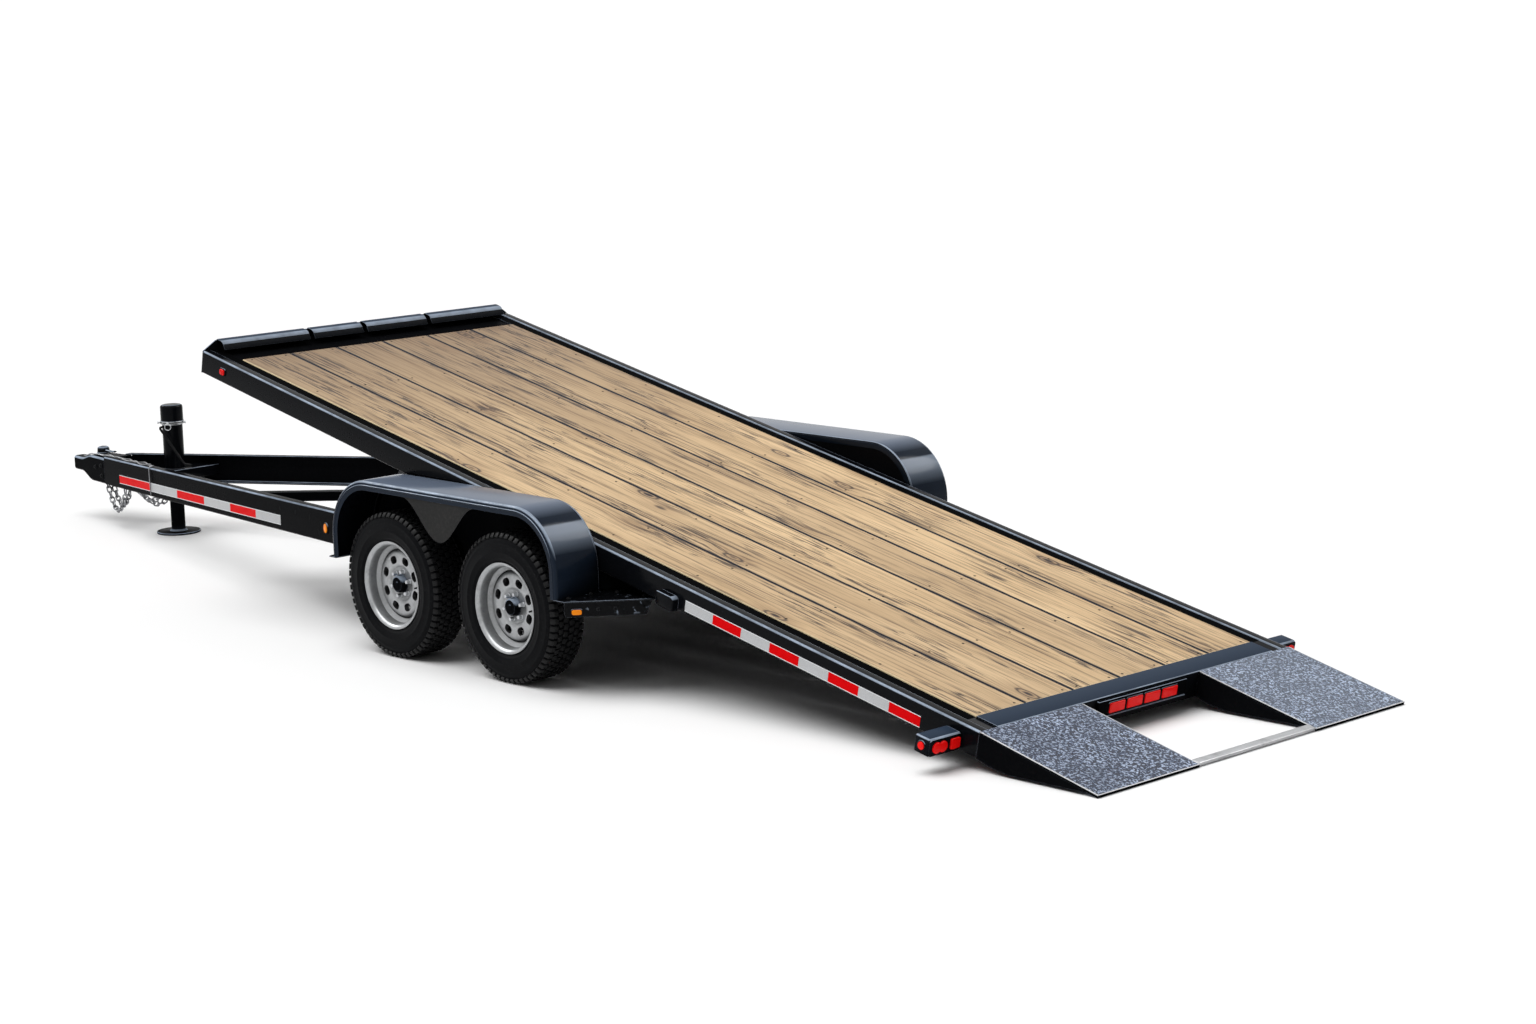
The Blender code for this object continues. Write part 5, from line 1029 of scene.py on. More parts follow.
# %% Boards and screws
BOARD_COUNT = 6
WOOD_HALF_WIDTH = 0.873
BOARD_GAP = 0.006
SEAM_REACH = 0.010
RIM_REACH = 0.004
BOARD_TOP = DECK_TOP - 0.002
BOARD_BOTTOM = BOARD_TOP - 0.038
WOOD_START = DECK_FRONT + SHELF_LENGTH + 0.001
WOOD_END = DECK_REAR - HEADER_LENGTH - 0.001
JOIST_COUNT = 10
BOARD_PITCH = (2 * WOOD_HALF_WIDTH + BOARD_GAP) / BOARD_COUNT
BOARD_SHIFT = Vector((7.31, 1.93))

boards = []
for index in range(BOARD_COUNT):
    first_y = -WOOD_HALF_WIDTH + index * BOARD_PITCH
    low = (WOOD_START, first_y, BOARD_BOTTOM)
    high = (WOOD_END, first_y + BOARD_PITCH - BOARD_GAP, BOARD_TOP)
    board = soften(box(low, high), 0.0022, 2)
    for y, way in ((low[1] + SEAM_REACH, 1.0), (high[1] - SEAM_REACH, -1.0)):
        everything = board.verts[:] + board.edges[:] + board.faces[:]
        bmesh.ops.bisect_plane(board, geom=everything, plane_co=(0, y, 0), plane_no=(0, way, 0))
    seam = board.verts.layers.float.new("seam")
    for vertex in board.verts:
        inner = min(vertex.co.y - low[1], high[1] - vertex.co.y) >= SEAM_REACH - 0.0001
        at_rim = WOOD_HALF_WIDTH - abs(vertex.co.y) < SEAM_REACH / 2
        vertex[seam] = 0.0 if inner or at_rim else 1.0
    grain = board.loops.layers.uv.new("grain")
    mark = board.faces.layers.float.new("fold")
    for face in board.faces:
        middle = face.calc_center_median()
        to_rim = min(WOOD_HALF_WIDTH - abs(middle.y), middle.x - WOOD_START, WOOD_END - middle.x)
        face[mark] = 0.0 if face.normal.z > 0.99 else (-1.0 if to_rim < RIM_REACH else 1.0)
        for loop in face.loops:
            flat_place = Vector((loop.vert.co.x, loop.vert.co.y + loop.vert.co.z * 0.4))
            loop[grain].uv = flat_place + BOARD_SHIFT * (index + 1)
    boards.append(board)
finished("pine_floor", gather(boards), PINE, "deck", DECK, ["floor_boards"])

screw_places = []
for joist in range(JOIST_COUNT):
    x = WOOD_START + 0.022 + (WOOD_END - WOOD_START - 0.044) * joist / (JOIST_COUNT - 1)
    for index in range(BOARD_COUNT):
        for share in (0.14, 0.86):
            y = -WOOD_HALF_WIDTH + index * BOARD_PITCH + (BOARD_PITCH - BOARD_GAP) * share
            place = DECK @ Vector((x, y, BOARD_TOP + 0.0004))
            screw_places.append((place, aimed(DECK_TURN.to_3x3() @ Vector((0, 0, 1)), index + joist)))
screw_profile = mm((-4, 0), (-4, 5.2), (0, 5.8), (0.6, 4), (0.2, 1.8), (-1, 0))
screw = turned(screw_profile, 12, ORIGIN, axis="z")
repeat("floor_screws", screw, screw_places, SATIN_BLACK, "deck")
print(BOARD_COUNT, "boards,", len(screw_places), "screws")

# %% [markdown]
# ## Bulkhead and rear strip
#
# The front of the deck ends in a plate whose top is rolled rearwards into a deep round flange.
# It shows as a pale band with three dark notches in it; the pale band is a reflection of the sky
# painted on the roll's top. One rolled section, run between the notches, gives that better than a
# plate with holes cut in it, because each bend keeps its rounding. At the rear a plain painted
# strip covers the boards' ends, with the same painted reflection on its top.

# %% Bulkhead and header
BULKHEAD_RISE = 0.055
BULKHEAD_TAPER = 0.080
ROLL_TOP = 0.052
ROLL_BACK = 0.082
ROLL_DROP = 0.038
NOTCHES_Y = (-0.360, -0.020, 0.400)
NOTCH_WIDTH = 0.028
NOTCH_DEPTH = 0.006

lip = DECK_TOP + BULKHEAD_RISE
lip_half = DECK_HALF_WIDTH - BULKHEAD_TAPER
face_top = lip - NOTCH_DEPTH
face_share = (lip - face_top) / BULKHEAD_RISE
face_half = lip_half + BULKHEAD_TAPER * face_share
face = [
    (-DECK_HALF_WIDTH, DECK_BOTTOM),
    (DECK_HALF_WIDTH, DECK_BOTTOM),
    (DECK_HALF_WIDTH, DECK_TOP),
    (face_half, face_top),
    (-face_half, face_top),
    (-DECK_HALF_WIDTH, DECK_TOP),
]
bulkhead_shapes = [soften(prism(face, "x", DECK_FRONT, DECK_FRONT + WALL), 0.0015, 2)]
fold = rounded((
    (DECK_FRONT + 0.0002, face_top - 0.020, 0.001),
    (DECK_FRONT + 0.0002, lip, 0.006),
    (DECK_FRONT + ROLL_TOP, lip, 0.034),
    (DECK_FRONT + ROLL_BACK, lip - ROLL_DROP, 0.001),
    (DECK_FRONT + ROLL_BACK - WALL, lip - ROLL_DROP, 0.001),
    (DECK_FRONT + ROLL_TOP - WALL / 2, lip - WALL, 0.028),
    (DECK_FRONT + WALL, lip - WALL, 0.004),
    (DECK_FRONT + WALL, face_top - 0.020, 0.001),
), 5)
spans = [-lip_half] + [y + half * NOTCH_WIDTH / 2 for y in NOTCHES_Y for half in (-1, 1)] + [lip_half]
for first_y, last_y in zip(spans[::2], spans[1::2]):
    bulkhead_shapes.append(soften(prism(fold, "y", first_y, last_y), 0.001, 1, 60.0))
shelf_low = (DECK_FRONT + WALL / 2, -LEDGE_INNER_Y + 0.001, DECK_TOP - 0.020)
shelf_high = (WOOD_START - 0.001, LEDGE_INNER_Y - 0.001, DECK_TOP - 0.012)
shelf = soften(box(shelf_low, shelf_high), 0.0015, 1)
finished("bulkhead_shelf", shelf, GLOSS_BLACK, "deck", DECK)
finished("bulkhead_skin", gather(bulkhead_shapes), STRIP, "deck", DECK, ["bulkhead"])

header = rounded((
    (DECK_REAR - HEADER_LENGTH, DECK_TOP - 0.008, 0.001),
    (DECK_REAR - HEADER_LENGTH, DECK_TOP, 0.002),
    (DECK_REAR, DECK_TOP, 0.005),
    (DECK_REAR, DECK_BOTTOM, 0.001),
    (DECK_REAR - 0.008, DECK_BOTTOM, 0.001),
    (DECK_REAR - 0.008, DECK_TOP - 0.008, 0.003),
))
strip = soften(prism(header, "y", -LEDGE_INNER_Y + 0.001, LEDGE_INNER_Y - 0.001), 0.001, 1, 60.0)
finished("rear_strip", strip, STRIP, "deck", DECK, ["rear_header"])
print("bulkhead with", len(NOTCHES_Y), "notches")

# %% [markdown]
# ## Lamps
#
# A lamp is a clear coloured lens that stands a little proud of a black housing and has rounded
# corners and a soft front edge. All lamps here differ only in outline, size and colour, so one
# helper makes a lens from an outline, and one matrix stands it on a face: its own X runs along
# the face, Y up it and Z out of it.

# %% Lens helpers
def facing(place, along, out):
    """A matrix that stands a part on a face, from a point, a direction along and one outward."""
    out = Vector(out).normalized()
    along = Vector(along).normalized()
    above = out.cross(along).normalized()
    along = above.cross(out)
    return Matrix.Translation(place) @ Matrix((along, above, out)).transposed().to_4x4()


def plate_outline(width, height, corner, steps=6):
    """A rectangle with round corners, about its middle."""
    a, b = width / 2, height / 2
    return rounded_alike(((-a, -b), (a, -b), (a, b), (-a, b)), corner, steps)


def ring_outline(radius, sides, stretch=1.0):
    """A circle, or an oval taller than wide."""
    turns = [2 * math.pi * step / sides for step in range(sides)]
    return [(radius * math.cos(turn), radius * stretch * math.sin(turn)) for turn in turns]


def lens_shape(outline, depth, edge, matrix):
    """A lens or housing from an outline, with a soft front edge, standing on a face."""
    return moved(soften(prism(outline, "z", -0.002, depth), edge, 3), matrix)


def lamp(name, outline, housing_outline, depth, finish, slot, body, matrix, base):
    """A black housing and its coloured lens on a face."""
    housing = lens_shape(housing_outline, base, 0.0015, matrix)
    finished(name + "_housing", housing, SATIN_BLACK, body)
    finished(name, lens_shape(outline, depth, min(depth * 0.55, 0.004), matrix), finish, body)


print("lens helpers ready")

# %% [markdown]
# ## Light bar
#
# Below the rear strip a black bar, with a small fold along its foot, carries four red lenses in
# a row. They are all alike, so the lamp helper sets one lens down four times at an even pitch.

# %% Light bar
BAR_START = DECK_REAR + HAIRLINE
BAR_DEPTH = 0.016
BAR_HALF = 0.280
BAR_TOP = DECK_TOP - 0.010
BAR_HEIGHT = 0.078
BAR_LAMPS = 4
BAR_PITCH = 0.112
BAR_LENS = (0.096, 0.044)
BAR_LENS_MIDDLE = BAR_TOP - 0.014 - BAR_LENS[1] / 2

bar_face = BAR_START + BAR_DEPTH
bar_bottom = BAR_TOP - BAR_HEIGHT
bar_shape = soften(box((BAR_START, -BAR_HALF, bar_bottom), (bar_face, BAR_HALF, BAR_TOP)), 0.003, 3)
lower_fold = rounded((
    (bar_face - 0.002, bar_bottom + 0.001, 0.001),
    (bar_face - 0.002, bar_bottom + 0.010, 0.001),
    (bar_face + 0.005, bar_bottom + 0.007, 0.002),
    (bar_face + 0.005, bar_bottom + 0.002, 0.002),
))
bar_shape = gather([bar_shape, prism(lower_fold, "y", -BAR_HALF + 0.004, BAR_HALF - 0.004)])
finished("light_bar_body", bar_shape, GLOSS_BLACK, "deck", DECK, ["light_bar"])
for number in range(BAR_LAMPS):
    y = (number - (BAR_LAMPS - 1) / 2) * BAR_PITCH
    stand = DECK @ facing(Vector((bar_face, y, BAR_LENS_MIDDLE)), (0, 1, 0), (1, 0, 0))
    outline = plate_outline(*BAR_LENS, 0.006)
    housing = plate_outline(BAR_LENS[0] + 0.008, BAR_LENS[1] + 0.008, 0.008)
    lamp("bar_lamp_" + str(number), outline, housing, 0.008, RED_LENS, "red_lens", "deck", stand, 0.003)
print(BAR_LAMPS, "lamps on the bar")

# %% [markdown]
# ## Tail boxes and front markers
#
# Outside each side rail sits a box with two lenses to the rear, one of two joined circles and
# one nearly square, and a round one on its end. The joined circles are one outline made of two
# arcs, which gives a cleaner edge than two circles joined by a boolean. A small marker lamp sits
# on the front end of each rail.

# %% Tail boxes
TAIL_REAR = DECK_REAR - 0.092
TAIL_LENGTH = 0.080
TAIL_TOP = DECK_TOP - 0.036
TAIL_HEIGHT = 0.075
TAIL_INNER = DECK_HALF_WIDTH + HAIRLINE
TAIL_OUTER = DECK_HALF_WIDTH + 0.180
TAIL_MIDDLE = TAIL_TOP - TAIL_HEIGHT / 2
LOBE_RADIUS = 0.024
LOBE_APART = 0.017
LOBE_STEPS = 18
SQUARE_LENS = (0.054, 0.046, 0.009)

lobe_cut = math.acos(-LOBE_APART / LOBE_RADIUS)
lobes = []
for sign in (1.0, -1.0):
    for step in range(LOBE_STEPS + 1):
        angle = -lobe_cut + 2 * lobe_cut * step / LOBE_STEPS + (0.0 if sign > 0 else math.pi)
        if step or sign > 0:
            lobes.append((sign * LOBE_APART + LOBE_RADIUS * math.cos(angle), LOBE_RADIUS * math.sin(angle)))
lobes.pop()
for side_name, side in SIDES:
    near, far = sorted((side * TAIL_INNER, side * TAIL_OUTER))
    low = (TAIL_REAR - TAIL_LENGTH, near, TAIL_TOP - TAIL_HEIGHT)
    case = soften(box(low, (TAIL_REAR, far, TAIL_TOP)), 0.008, 4)
    frame_out = plate_outline(TAIL_OUTER - TAIL_INNER - 0.004, TAIL_HEIGHT - 0.003, 0.012)
    middle_y = side * (TAIL_INNER + TAIL_OUTER) / 2
    rear_face = facing(Vector((TAIL_REAR, middle_y, TAIL_MIDDLE)), (0, 1, 0), (1, 0, 0))
    rim_plate = lens_shape(frame_out, 0.005, 0.003, rear_face)
    stands_for = ["tail_light_box_" + side_name]
    finished("tail_box_" + side_name, gather([case, rim_plate]), STRIP, "deck", DECK, stands_for)
    lens_parts = []
    for inwards, outline in ((0.055, lobes), (0.142, plate_outline(*SQUARE_LENS))):
        y = side * (TAIL_OUTER - inwards)
        stand = facing(Vector((TAIL_REAR + 0.005, y, TAIL_MIDDLE)), (0, 1, 0), (1, 0, 0))
        lens_parts.append(lens_shape(outline, 0.009, 0.004, stand))
    stands_for = ["tail_lamp_" + side_name]
    finished("tail_lens_" + side_name, gather(lens_parts), RED_LENS, "deck", DECK, stands_for)
    end_place = Vector((TAIL_REAR - TAIL_LENGTH / 2, side * TAIL_OUTER, TAIL_MIDDLE))
    stand = DECK @ facing(end_place, (1, 0, 0), (0, side, 0))
    circles = (ring_outline(0.017, 28), ring_outline(0.022, 28))
    lamp("end_lamp_" + side_name, *circles, 0.008, RED_LENS, "red_lens", "deck", stand, 0.003)
    marker_place = Vector((MARKER_ALONG, side * DECK_HALF_WIDTH, MARKER_MIDDLE))
    stand = DECK @ facing(marker_place, (1, 0, 0), (0, side, 0))
    outlines = (plate_outline(0.036, 0.028, 0.008), plate_outline(0.048, 0.040, 0.012))
    lamp("front_marker_" + side_name, *outlines, 0.012, RED_LENS, "red_lens", "deck", stand, 0.005)
print("tail boxes, end lamps and front markers")

# %% [markdown]
# ## Reflective tape
#
# The tape is stuck on the rails in red and pale lengths of equal size, with a thin light line
# along both edges. Each length is a very thin plate with its own finish. It stands only a few
# tenths of a millimetre off the paint, as tape does.

# %% Deck tape
TAPE_THICK = 0.0005
TAPE_START = 0.834
TAPE_STEP = 0.178
TAPE_LENGTHS = 8
TAPE_TOP = DECK_TOP - 0.055
TAPE_BOTTOM = DECK_TOP - 0.105
TAPE_EDGE = 0.0035
TAPES = {"pale": PALE_TAPE, "red": RED_TAPE, "edge": EDGE_TAPE}


def stick(rail_name, strips, side_name, body, matrix=None):
    """The three kinds of tape on one side of a rail, each as a piece of its own."""
    for kind, tape in TAPES.items():
        name = rail_name + "_tape_" + kind + "_" + side_name
        finished(name, gather(strips[kind]), tape, body, matrix)


for side_name, side in SIDES:
    near, far = sorted((side * DECK_HALF_WIDTH, side * (DECK_HALF_WIDTH + TAPE_THICK)))
    strips = {"pale": [], "red": [], "edge": []}
    for number in range(TAPE_LENGTHS):
        start = TAPE_START + number * TAPE_STEP
        low = (start, near, TAPE_BOTTOM + TAPE_EDGE)
        high = (start + TAPE_STEP - 0.0008, far, TAPE_TOP - TAPE_EDGE)
        strips["pale" if number % 2 == 0 else "red"].append(box(low, high))
    tape_end = TAPE_START + TAPE_LENGTHS * TAPE_STEP
    for edge_low in (TAPE_BOTTOM, TAPE_TOP - TAPE_EDGE):
        strips["edge"].append(box((TAPE_START, near, edge_low), (tape_end, far, edge_low + TAPE_EDGE)))
    stick("deck", strips, side_name, "deck", DECK)
print(2 * TAPE_LENGTHS, "lengths of tape on the deck")

# %% [markdown]
# ## Approach plates
#
# The two plates behind the deck are coated with anti-slip grit. A thin pale strip shows along
# the tip and the sides: partly the coat rubbed off there, partly a painted highlight on those
# edges. Below them hang plain black skirts that follow the ground. The grit's grains are real
# small crystals over a coat that is speckled already: scattered at random by the repeat tree, in
# several sizes.

# %% Plates
KNEE = math.radians(2.0)
PLATE_LENGTH = 0.630
PLATE_INNER = 0.375
PLATE_THICK = 0.008
TIP_THICK = 0.014
TIP_ALONG = DECK_REAR + PLATE_LENGTH * math.cos(KNEE)
TIP_TOP = DECK_TOP - PLATE_LENGTH * math.sin(KNEE)
EDGE_STRIP = 0.005
SKIRT_THICK = 0.007
SKIRT_CLEAR = 0.012


def plate_height(along):
    """Height of a plate's top face on the level deck."""
    return DECK_TOP - (along - DECK_REAR) * math.tan(KNEE)


def over_ground(along, gap):
    """Height on the level deck of a place that stands a gap above the ground when tilted."""
    return (gap - PIVOT.z + along * math.sin(REST_TILT)) / math.cos(REST_TILT)


skirt_bend = DECK_REAR + 0.070
skirt_knee = DECK_REAR + 0.170
skirt_stop = TIP_ALONG - 0.060
skirt = rounded((
    (BAR_START, DECK_TOP - 0.006, 0.001),
    (BAR_START, DECK_TOP - 0.115, 0.004),
    (skirt_bend, over_ground(skirt_bend, 0.030), 0.030),
    (skirt_knee, over_ground(skirt_knee, SKIRT_CLEAR), 0.050),
    (skirt_stop, over_ground(skirt_stop, SKIRT_CLEAR), 0.006),
    (skirt_stop, plate_height(skirt_stop) - 0.006, 0.001),
))
worn_end = TIP_ALONG - EDGE_STRIP
tip_low = TIP_TOP - TIP_THICK
skin = [
    (BAR_START, DECK_TOP),
    (worn_end, plate_height(worn_end)),
    (worn_end, plate_height(worn_end) - TIP_THICK + 0.001),
    (BAR_START, DECK_TOP - PLATE_THICK),
]
tip_edge = rounded((
    (worn_end + 0.0002, plate_height(worn_end) + 0.0002, 0.001),
    (TIP_ALONG, TIP_TOP, 0.003),
    (TIP_ALONG, tip_low, 0.002),
    (worn_end + 0.0002, tip_low + 0.0012, 0.001),
))
chance = random.Random(7)
GRAINS_A_PLATE = 2600
GRAIN_RADIUS = 0.0015
CROSS_LONG = 0.040
CROSS_HIGH = 0.017
for side_name, side in SIDES:
    in_y, out_y = sorted((side * (PLATE_INNER + EDGE_STRIP), side * (DECK_HALF_WIDTH - EDGE_STRIP)))
    coat = soften(prism(skin, "y", in_y, out_y), 0.0015, 1)
    stands_for = ["approach_plate_" + side_name]
    finished("plate_coat_" + side_name, coat, GRIT, "deck", DECK, stands_for)
    edges = [soften(prism(tip_edge, "y", in_y, out_y), 0.0005, 1, 60.0)]
    for y in (side * PLATE_INNER, side * (DECK_HALF_WIDTH - EDGE_STRIP)):
        first, last = sorted((y, y + side * EDGE_STRIP))
        bar_side = [(a, b) for a, b in skin[:1] + [(TIP_ALONG, TIP_TOP), (TIP_ALONG, tip_low)] + skin[3:]]
        edges.append(soften(prism(bar_side, "y", first, last), 0.0015, 2))
    finished("plate_edges_" + side_name, gather(edges), GLOSS_BLACK, "deck", DECK)
    # Pale strips along the tip and the sides: worn edges, and a painted highlight on them.
    bright = []
    tip_line = (TIP_ALONG - 0.0035, TIP_TOP - 0.0020)
    bright.append(box((tip_line[0], in_y, tip_line[1]), (TIP_ALONG - 0.0002, out_y, TIP_TOP + 0.0005)))
    for y in (side * (PLATE_INNER + 0.0015), side * (DECK_HALF_WIDTH - 0.0015)):
        rub = [(BAR_START + 0.004, DECK_TOP + 0.0005), (TIP_ALONG - 0.0006, TIP_TOP + 0.0005)]
        rub += [(TIP_ALONG - 0.0006, TIP_TOP - 0.0030), (BAR_START + 0.004, DECK_TOP - 0.0030)]
        bright.append(prism(rub, "y", y - 0.0016, y + 0.0016))
    finished("plate_rubbed_edges_" + side_name, gather(bright), RUBBED_AND_HIGHLIT, "deck", DECK)
    skirts = []
    for centre in (PLATE_INNER + 0.004, (PLATE_INNER + DECK_HALF_WIDTH) / 2, DECK_HALF_WIDTH - 0.004):
        first = side * centre - SKIRT_THICK / 2
        skirts.append(soften(prism(skirt, "y", first, first + SKIRT_THICK), 0.0015, 1, 60.0))
    finished("plate_skirts_" + side_name, gather(skirts), GLOSS_BLACK, "deck", DECK)
    grains = []
    for _ in range(GRAINS_A_PLATE):
        along = chance.uniform(BAR_START + 0.006, worn_end - 0.004)
        y = chance.uniform(in_y + 0.004, out_y - 0.004)
        spin = [chance.uniform(0, 6.28) for _ in range(3)]
        grains.append((DECK @ Vector((along, y, plate_height(along) - 0.0002)), spin))
    crystal = bmesh.new()
    bmesh.ops.create_icosphere(crystal, subdivisions=1, radius=GRAIN_RADIUS)
    for vertex in crystal.verts:
        vertex.co *= chance.uniform(0.6, 1.25)
    repeat("grit_grains_" + side_name, crystal, grains, GRIT, "deck", 0.55, 3)
cross_end = TIP_ALONG - 0.004
cross_low = (cross_end - CROSS_LONG, -PLATE_INNER + HAIRLINE, tip_low + 0.0008)
cross_high = (cross_end, PLATE_INNER - HAIRLINE, tip_low + 0.0008 + CROSS_HIGH)
cross = soften(box(cross_low, cross_high), 0.003, 3)
finished("tip_bar_worn", cross, WORN, "deck", DECK, ["tip_cross_bar"])
print("plates with", 2 * GRAINS_A_PLATE, "grains")

# %% [markdown]
# ## Fenders
#
# A fender is one sheet rolled over both wheels. Its outer edge is folded down into a lip with a
# pressed bead, and these two roundings show as two bright lines all the way round: a highlight
# painted on the folds. The sheet's paint also carries a painted reflection of the sky on its flat
# top, and a painted highlight band across its rear bend. A section of the sheet is drawn flat, as
# distance across and depth below the outer line, and carried along the side view's line. The
# bell-shaped panel between the wheels is a duller sheet of its own behind the lip. At each end a
# level plate carries the fender, the rear one with an amber lamp; the plates' paint has painted
# glints on its dents.

# %% Fender sheet
AXLE_MID_X = (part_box("axle_front")[0][0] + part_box("axle_rear")[1][0]) / 2
FENDER_INNER = 1.000
FENDER_OUTER = 1.250
FENDER_TOP = 0.830
FENDER_RADIUS = 0.280
FENDER_HALF = 0.830
FENDER_FOOT = 0.438
LIP_DEPTH = 0.045
SHEET = 0.003
ARC_STEPS = 22

path = []
arc_x = FENDER_HALF - FENDER_RADIUS
arc_z = FENDER_TOP - FENDER_RADIUS
for z in (FENDER_FOOT, (FENDER_FOOT + arc_z) / 2):
    path.append((Vector((-FENDER_HALF, z)), Vector((1.0, 0.0))))
for centre_x, first_angle in ((-arc_x, math.pi), (arc_x, math.pi / 2)):
    for step in range(ARC_STEPS + 1):
        angle = first_angle - math.pi / 2 * step / ARC_STEPS
        away = Vector((math.cos(angle), math.sin(angle)))
        path.append((Vector((centre_x, arc_z)) + away * FENDER_RADIUS, -away))
for z in ((FENDER_FOOT + arc_z) / 2, FENDER_FOOT):
    path.append((Vector((FENDER_HALF, z)), Vector((-1.0, 0.0))))

face_y = FENDER_OUTER - SHEET
section = rounded((
    (FENDER_INNER, 0.034, 0.0008),
    (FENDER_INNER, 0.0, 0.010),
    (face_y, 0.0, 0.013),
    (face_y, 0.0185, 0.001),
    (FENDER_OUTER, 0.0205, 0.0015),
    (FENDER_OUTER, 0.0255, 0.0015),
    (face_y, 0.0275, 0.001),
    (face_y, LIP_DEPTH, 0.001),
    (face_y - SHEET, LIP_DEPTH, 0.001),
    (face_y - SHEET, SHEET, 0.009),
    (FENDER_INNER + SHEET, SHEET, 0.007),
    (FENDER_INNER + SHEET, 0.034, 0.0008),
), 5)
wall_inset = [tuple(point + inward * 0.002) for point, inward in path]
BELL_HALF = 0.270
BELL_EAR = 0.290
BELL_BOTTOM = 0.600
BELL_STEPS = 40
lip_bottom = FENDER_TOP - LIP_DEPTH
bell = [(BELL_EAR, FENDER_TOP - 0.030), (BELL_EAR, lip_bottom - 0.0005)]
for step in range(1, BELL_STEPS):
    x = BELL_HALF * (1 - 2 * step / BELL_STEPS)
    bell.append((x, lip_bottom - (lip_bottom - BELL_BOTTOM) * (1 + math.cos(math.pi * x / BELL_HALF)) / 2))
bell += [(-BELL_EAR, lip_bottom - 0.0005), (-BELL_EAR, FENDER_TOP - 0.030)]

GUSSET_TOP = 0.440
GUSSET_THICK = 0.006
REAR_FOOT = 0.800
GUSSET_CORNER = REAR_FOOT + 0.080
GUSSET_END = REAR_FOOT + 0.330
FRAME_OUTER = 0.900
GUSSET_BOLTS = (
    (0.840, 1.190), (0.840, 1.060), (0.900, 0.960), (1.060, 0.940), (-0.850, 1.190), (-0.850, 1.020),
)
CHASSIS_MID = Matrix.Translation((AXLE_MID_X, 0.0, 0.0))
bolt_places = []
for side_name, side in SIDES:
    rings = []
    for point, inward in path:
        moved_in = [(side * y, point + inward * depth) for y, depth in section]
        rings.append([(place.x, y, place.y) for y, place in moved_in])
    near, far = sorted((side * (FENDER_INNER + 0.0005), side * (FENDER_INNER + 0.003)))
    inner_wall = prism(wall_inset, "y", near, far)
    inner = FRAME_OUTER + HAIRLINE
    corner = Vector((GUSSET_CORNER, side * FENDER_OUTER))
    tip = Vector((GUSSET_END, side * (inner + 0.050)))
    rear_plate = (
        (REAR_FOOT, side * inner), (GUSSET_END, side * inner), tip, corner, (REAR_FOOT, side * FENDER_OUTER))
    front_plate = (
        (-REAR_FOOT, side * inner), (-REAR_FOOT - 0.120, side * inner),
        (-REAR_FOOT - 0.060, side * FENDER_OUTER), (-REAR_FOOT, side * FENDER_OUTER))
    shapes = []
    for outline in (rear_plate, front_plate):
        plate = prism(rounded_alike(outline, 0.010), "z", GUSSET_TOP - GUSSET_THICK, GUSSET_TOP)
        shapes.append(soften(plate, 0.002, 2))
    line = (tip - corner).normalized()
    outward = Vector((line.y, -line.x)) * -side
    if outward.y * side < 0:
        outward = -outward
    stand = facing((corner.x, corner.y, GUSSET_TOP - 0.002), (line.x, line.y, 0), (outward.x, outward.y, 0))
    reach = (tip - corner).length
    flip = 1.0 if (stand.to_3x3() @ Vector((0, 1, 0))).z > 0 else -1.0
    fold_low = -0.068 * flip
    fold_plate = rounded((
        (0.002, 0.0, 0.004),
        (reach - 0.002, 0.0, 0.004),
        (reach - 0.030, fold_low, 0.012),
        (0.002, fold_low, 0.012),
    ))
    shapes.append(moved(soften(prism(fold_plate, "z", -GUSSET_THICK, 0.0), 0.0015, 2, 50.0), stand))
    near, far = sorted((side * (face_y - SHEET - 0.0035), side * (face_y - SHEET - 0.0005)))
    for name, shape, finish, stands_for in (
        ("fender_sheet_", loft(rings), SHEET_BLACK, ["fender_" + side_name]),
        ("fender_inner_wall_", inner_wall, GLOSS_BLACK, []),
        ("fender_plates_", gather(shapes), DENTED_BLACK, []),
        ("fender_bell_", prism(bell, "y", near, far), MATT_GREY, []),
    ):
        finished(name + side_name, shape, finish, "chassis", CHASSIS_MID, stands_for)
    lamp_place = CHASSIS_MID @ stand @ Matrix.Translation((0.056, -0.045 * flip, 0.0))
    outlines = (plate_outline(0.044, 0.022, 0.008), plate_outline(0.052, 0.030, 0.011))
    lamp("fender_lamp_" + side_name, *outlines, 0.012, AMBER_LENS, "red_lens", "chassis", lamp_place, 0.006)
    for x, y in GUSSET_BOLTS:
        bolt_places.append(((AXLE_MID_X + x, side * y, GUSSET_TOP), (0.0, 0.0, x * 7)))
    for x in (0.150, 0.225):
        spot = CHASSIS_MID @ stand @ Vector((x, -0.035 * flip, 0.0))
        bolt_places.append((spot, aimed((outward.x, outward.y, 0))))
repeat("fender_bolts", hex_bolt(0.0075, 0.006, 0.002), bolt_places, SATIN_BLACK, "chassis")
print("two fenders,", len(section), "points in the sheet's section")

# %% [markdown]
# ## The tongue
#
# Two deep channels run together to the coupler and fall towards it. Each is one rounded section
# carried between its two ends. Places on them are given as a distance in from the outer face
# and a rise over the top, so that tape and lamps follow the slope. The tape's first and last
# places along the rail, and the seams between, are listed from front to rear.

# %% Tongue rails, their tape and lamps
TONGUE_REAR = -0.331112
TONGUE_LONG = 3.650
TONGUE_FRONT = TONGUE_REAR - TONGUE_LONG
TONGUE_HEIGHT = 0.165
TONGUE_FLANGE = 0.0515
TONGUE_WALL = 0.0083
TONGUE_HALF_REAR = 1.000
TONGUE_CLOSING = 0.900
TONGUE_TOP_REAR = 0.580
TONGUE_FALL = 0.186
TONGUE_TAPE_X = (-3.713, -3.181, -2.739, -2.313, -1.917, -1.545, -1.197)


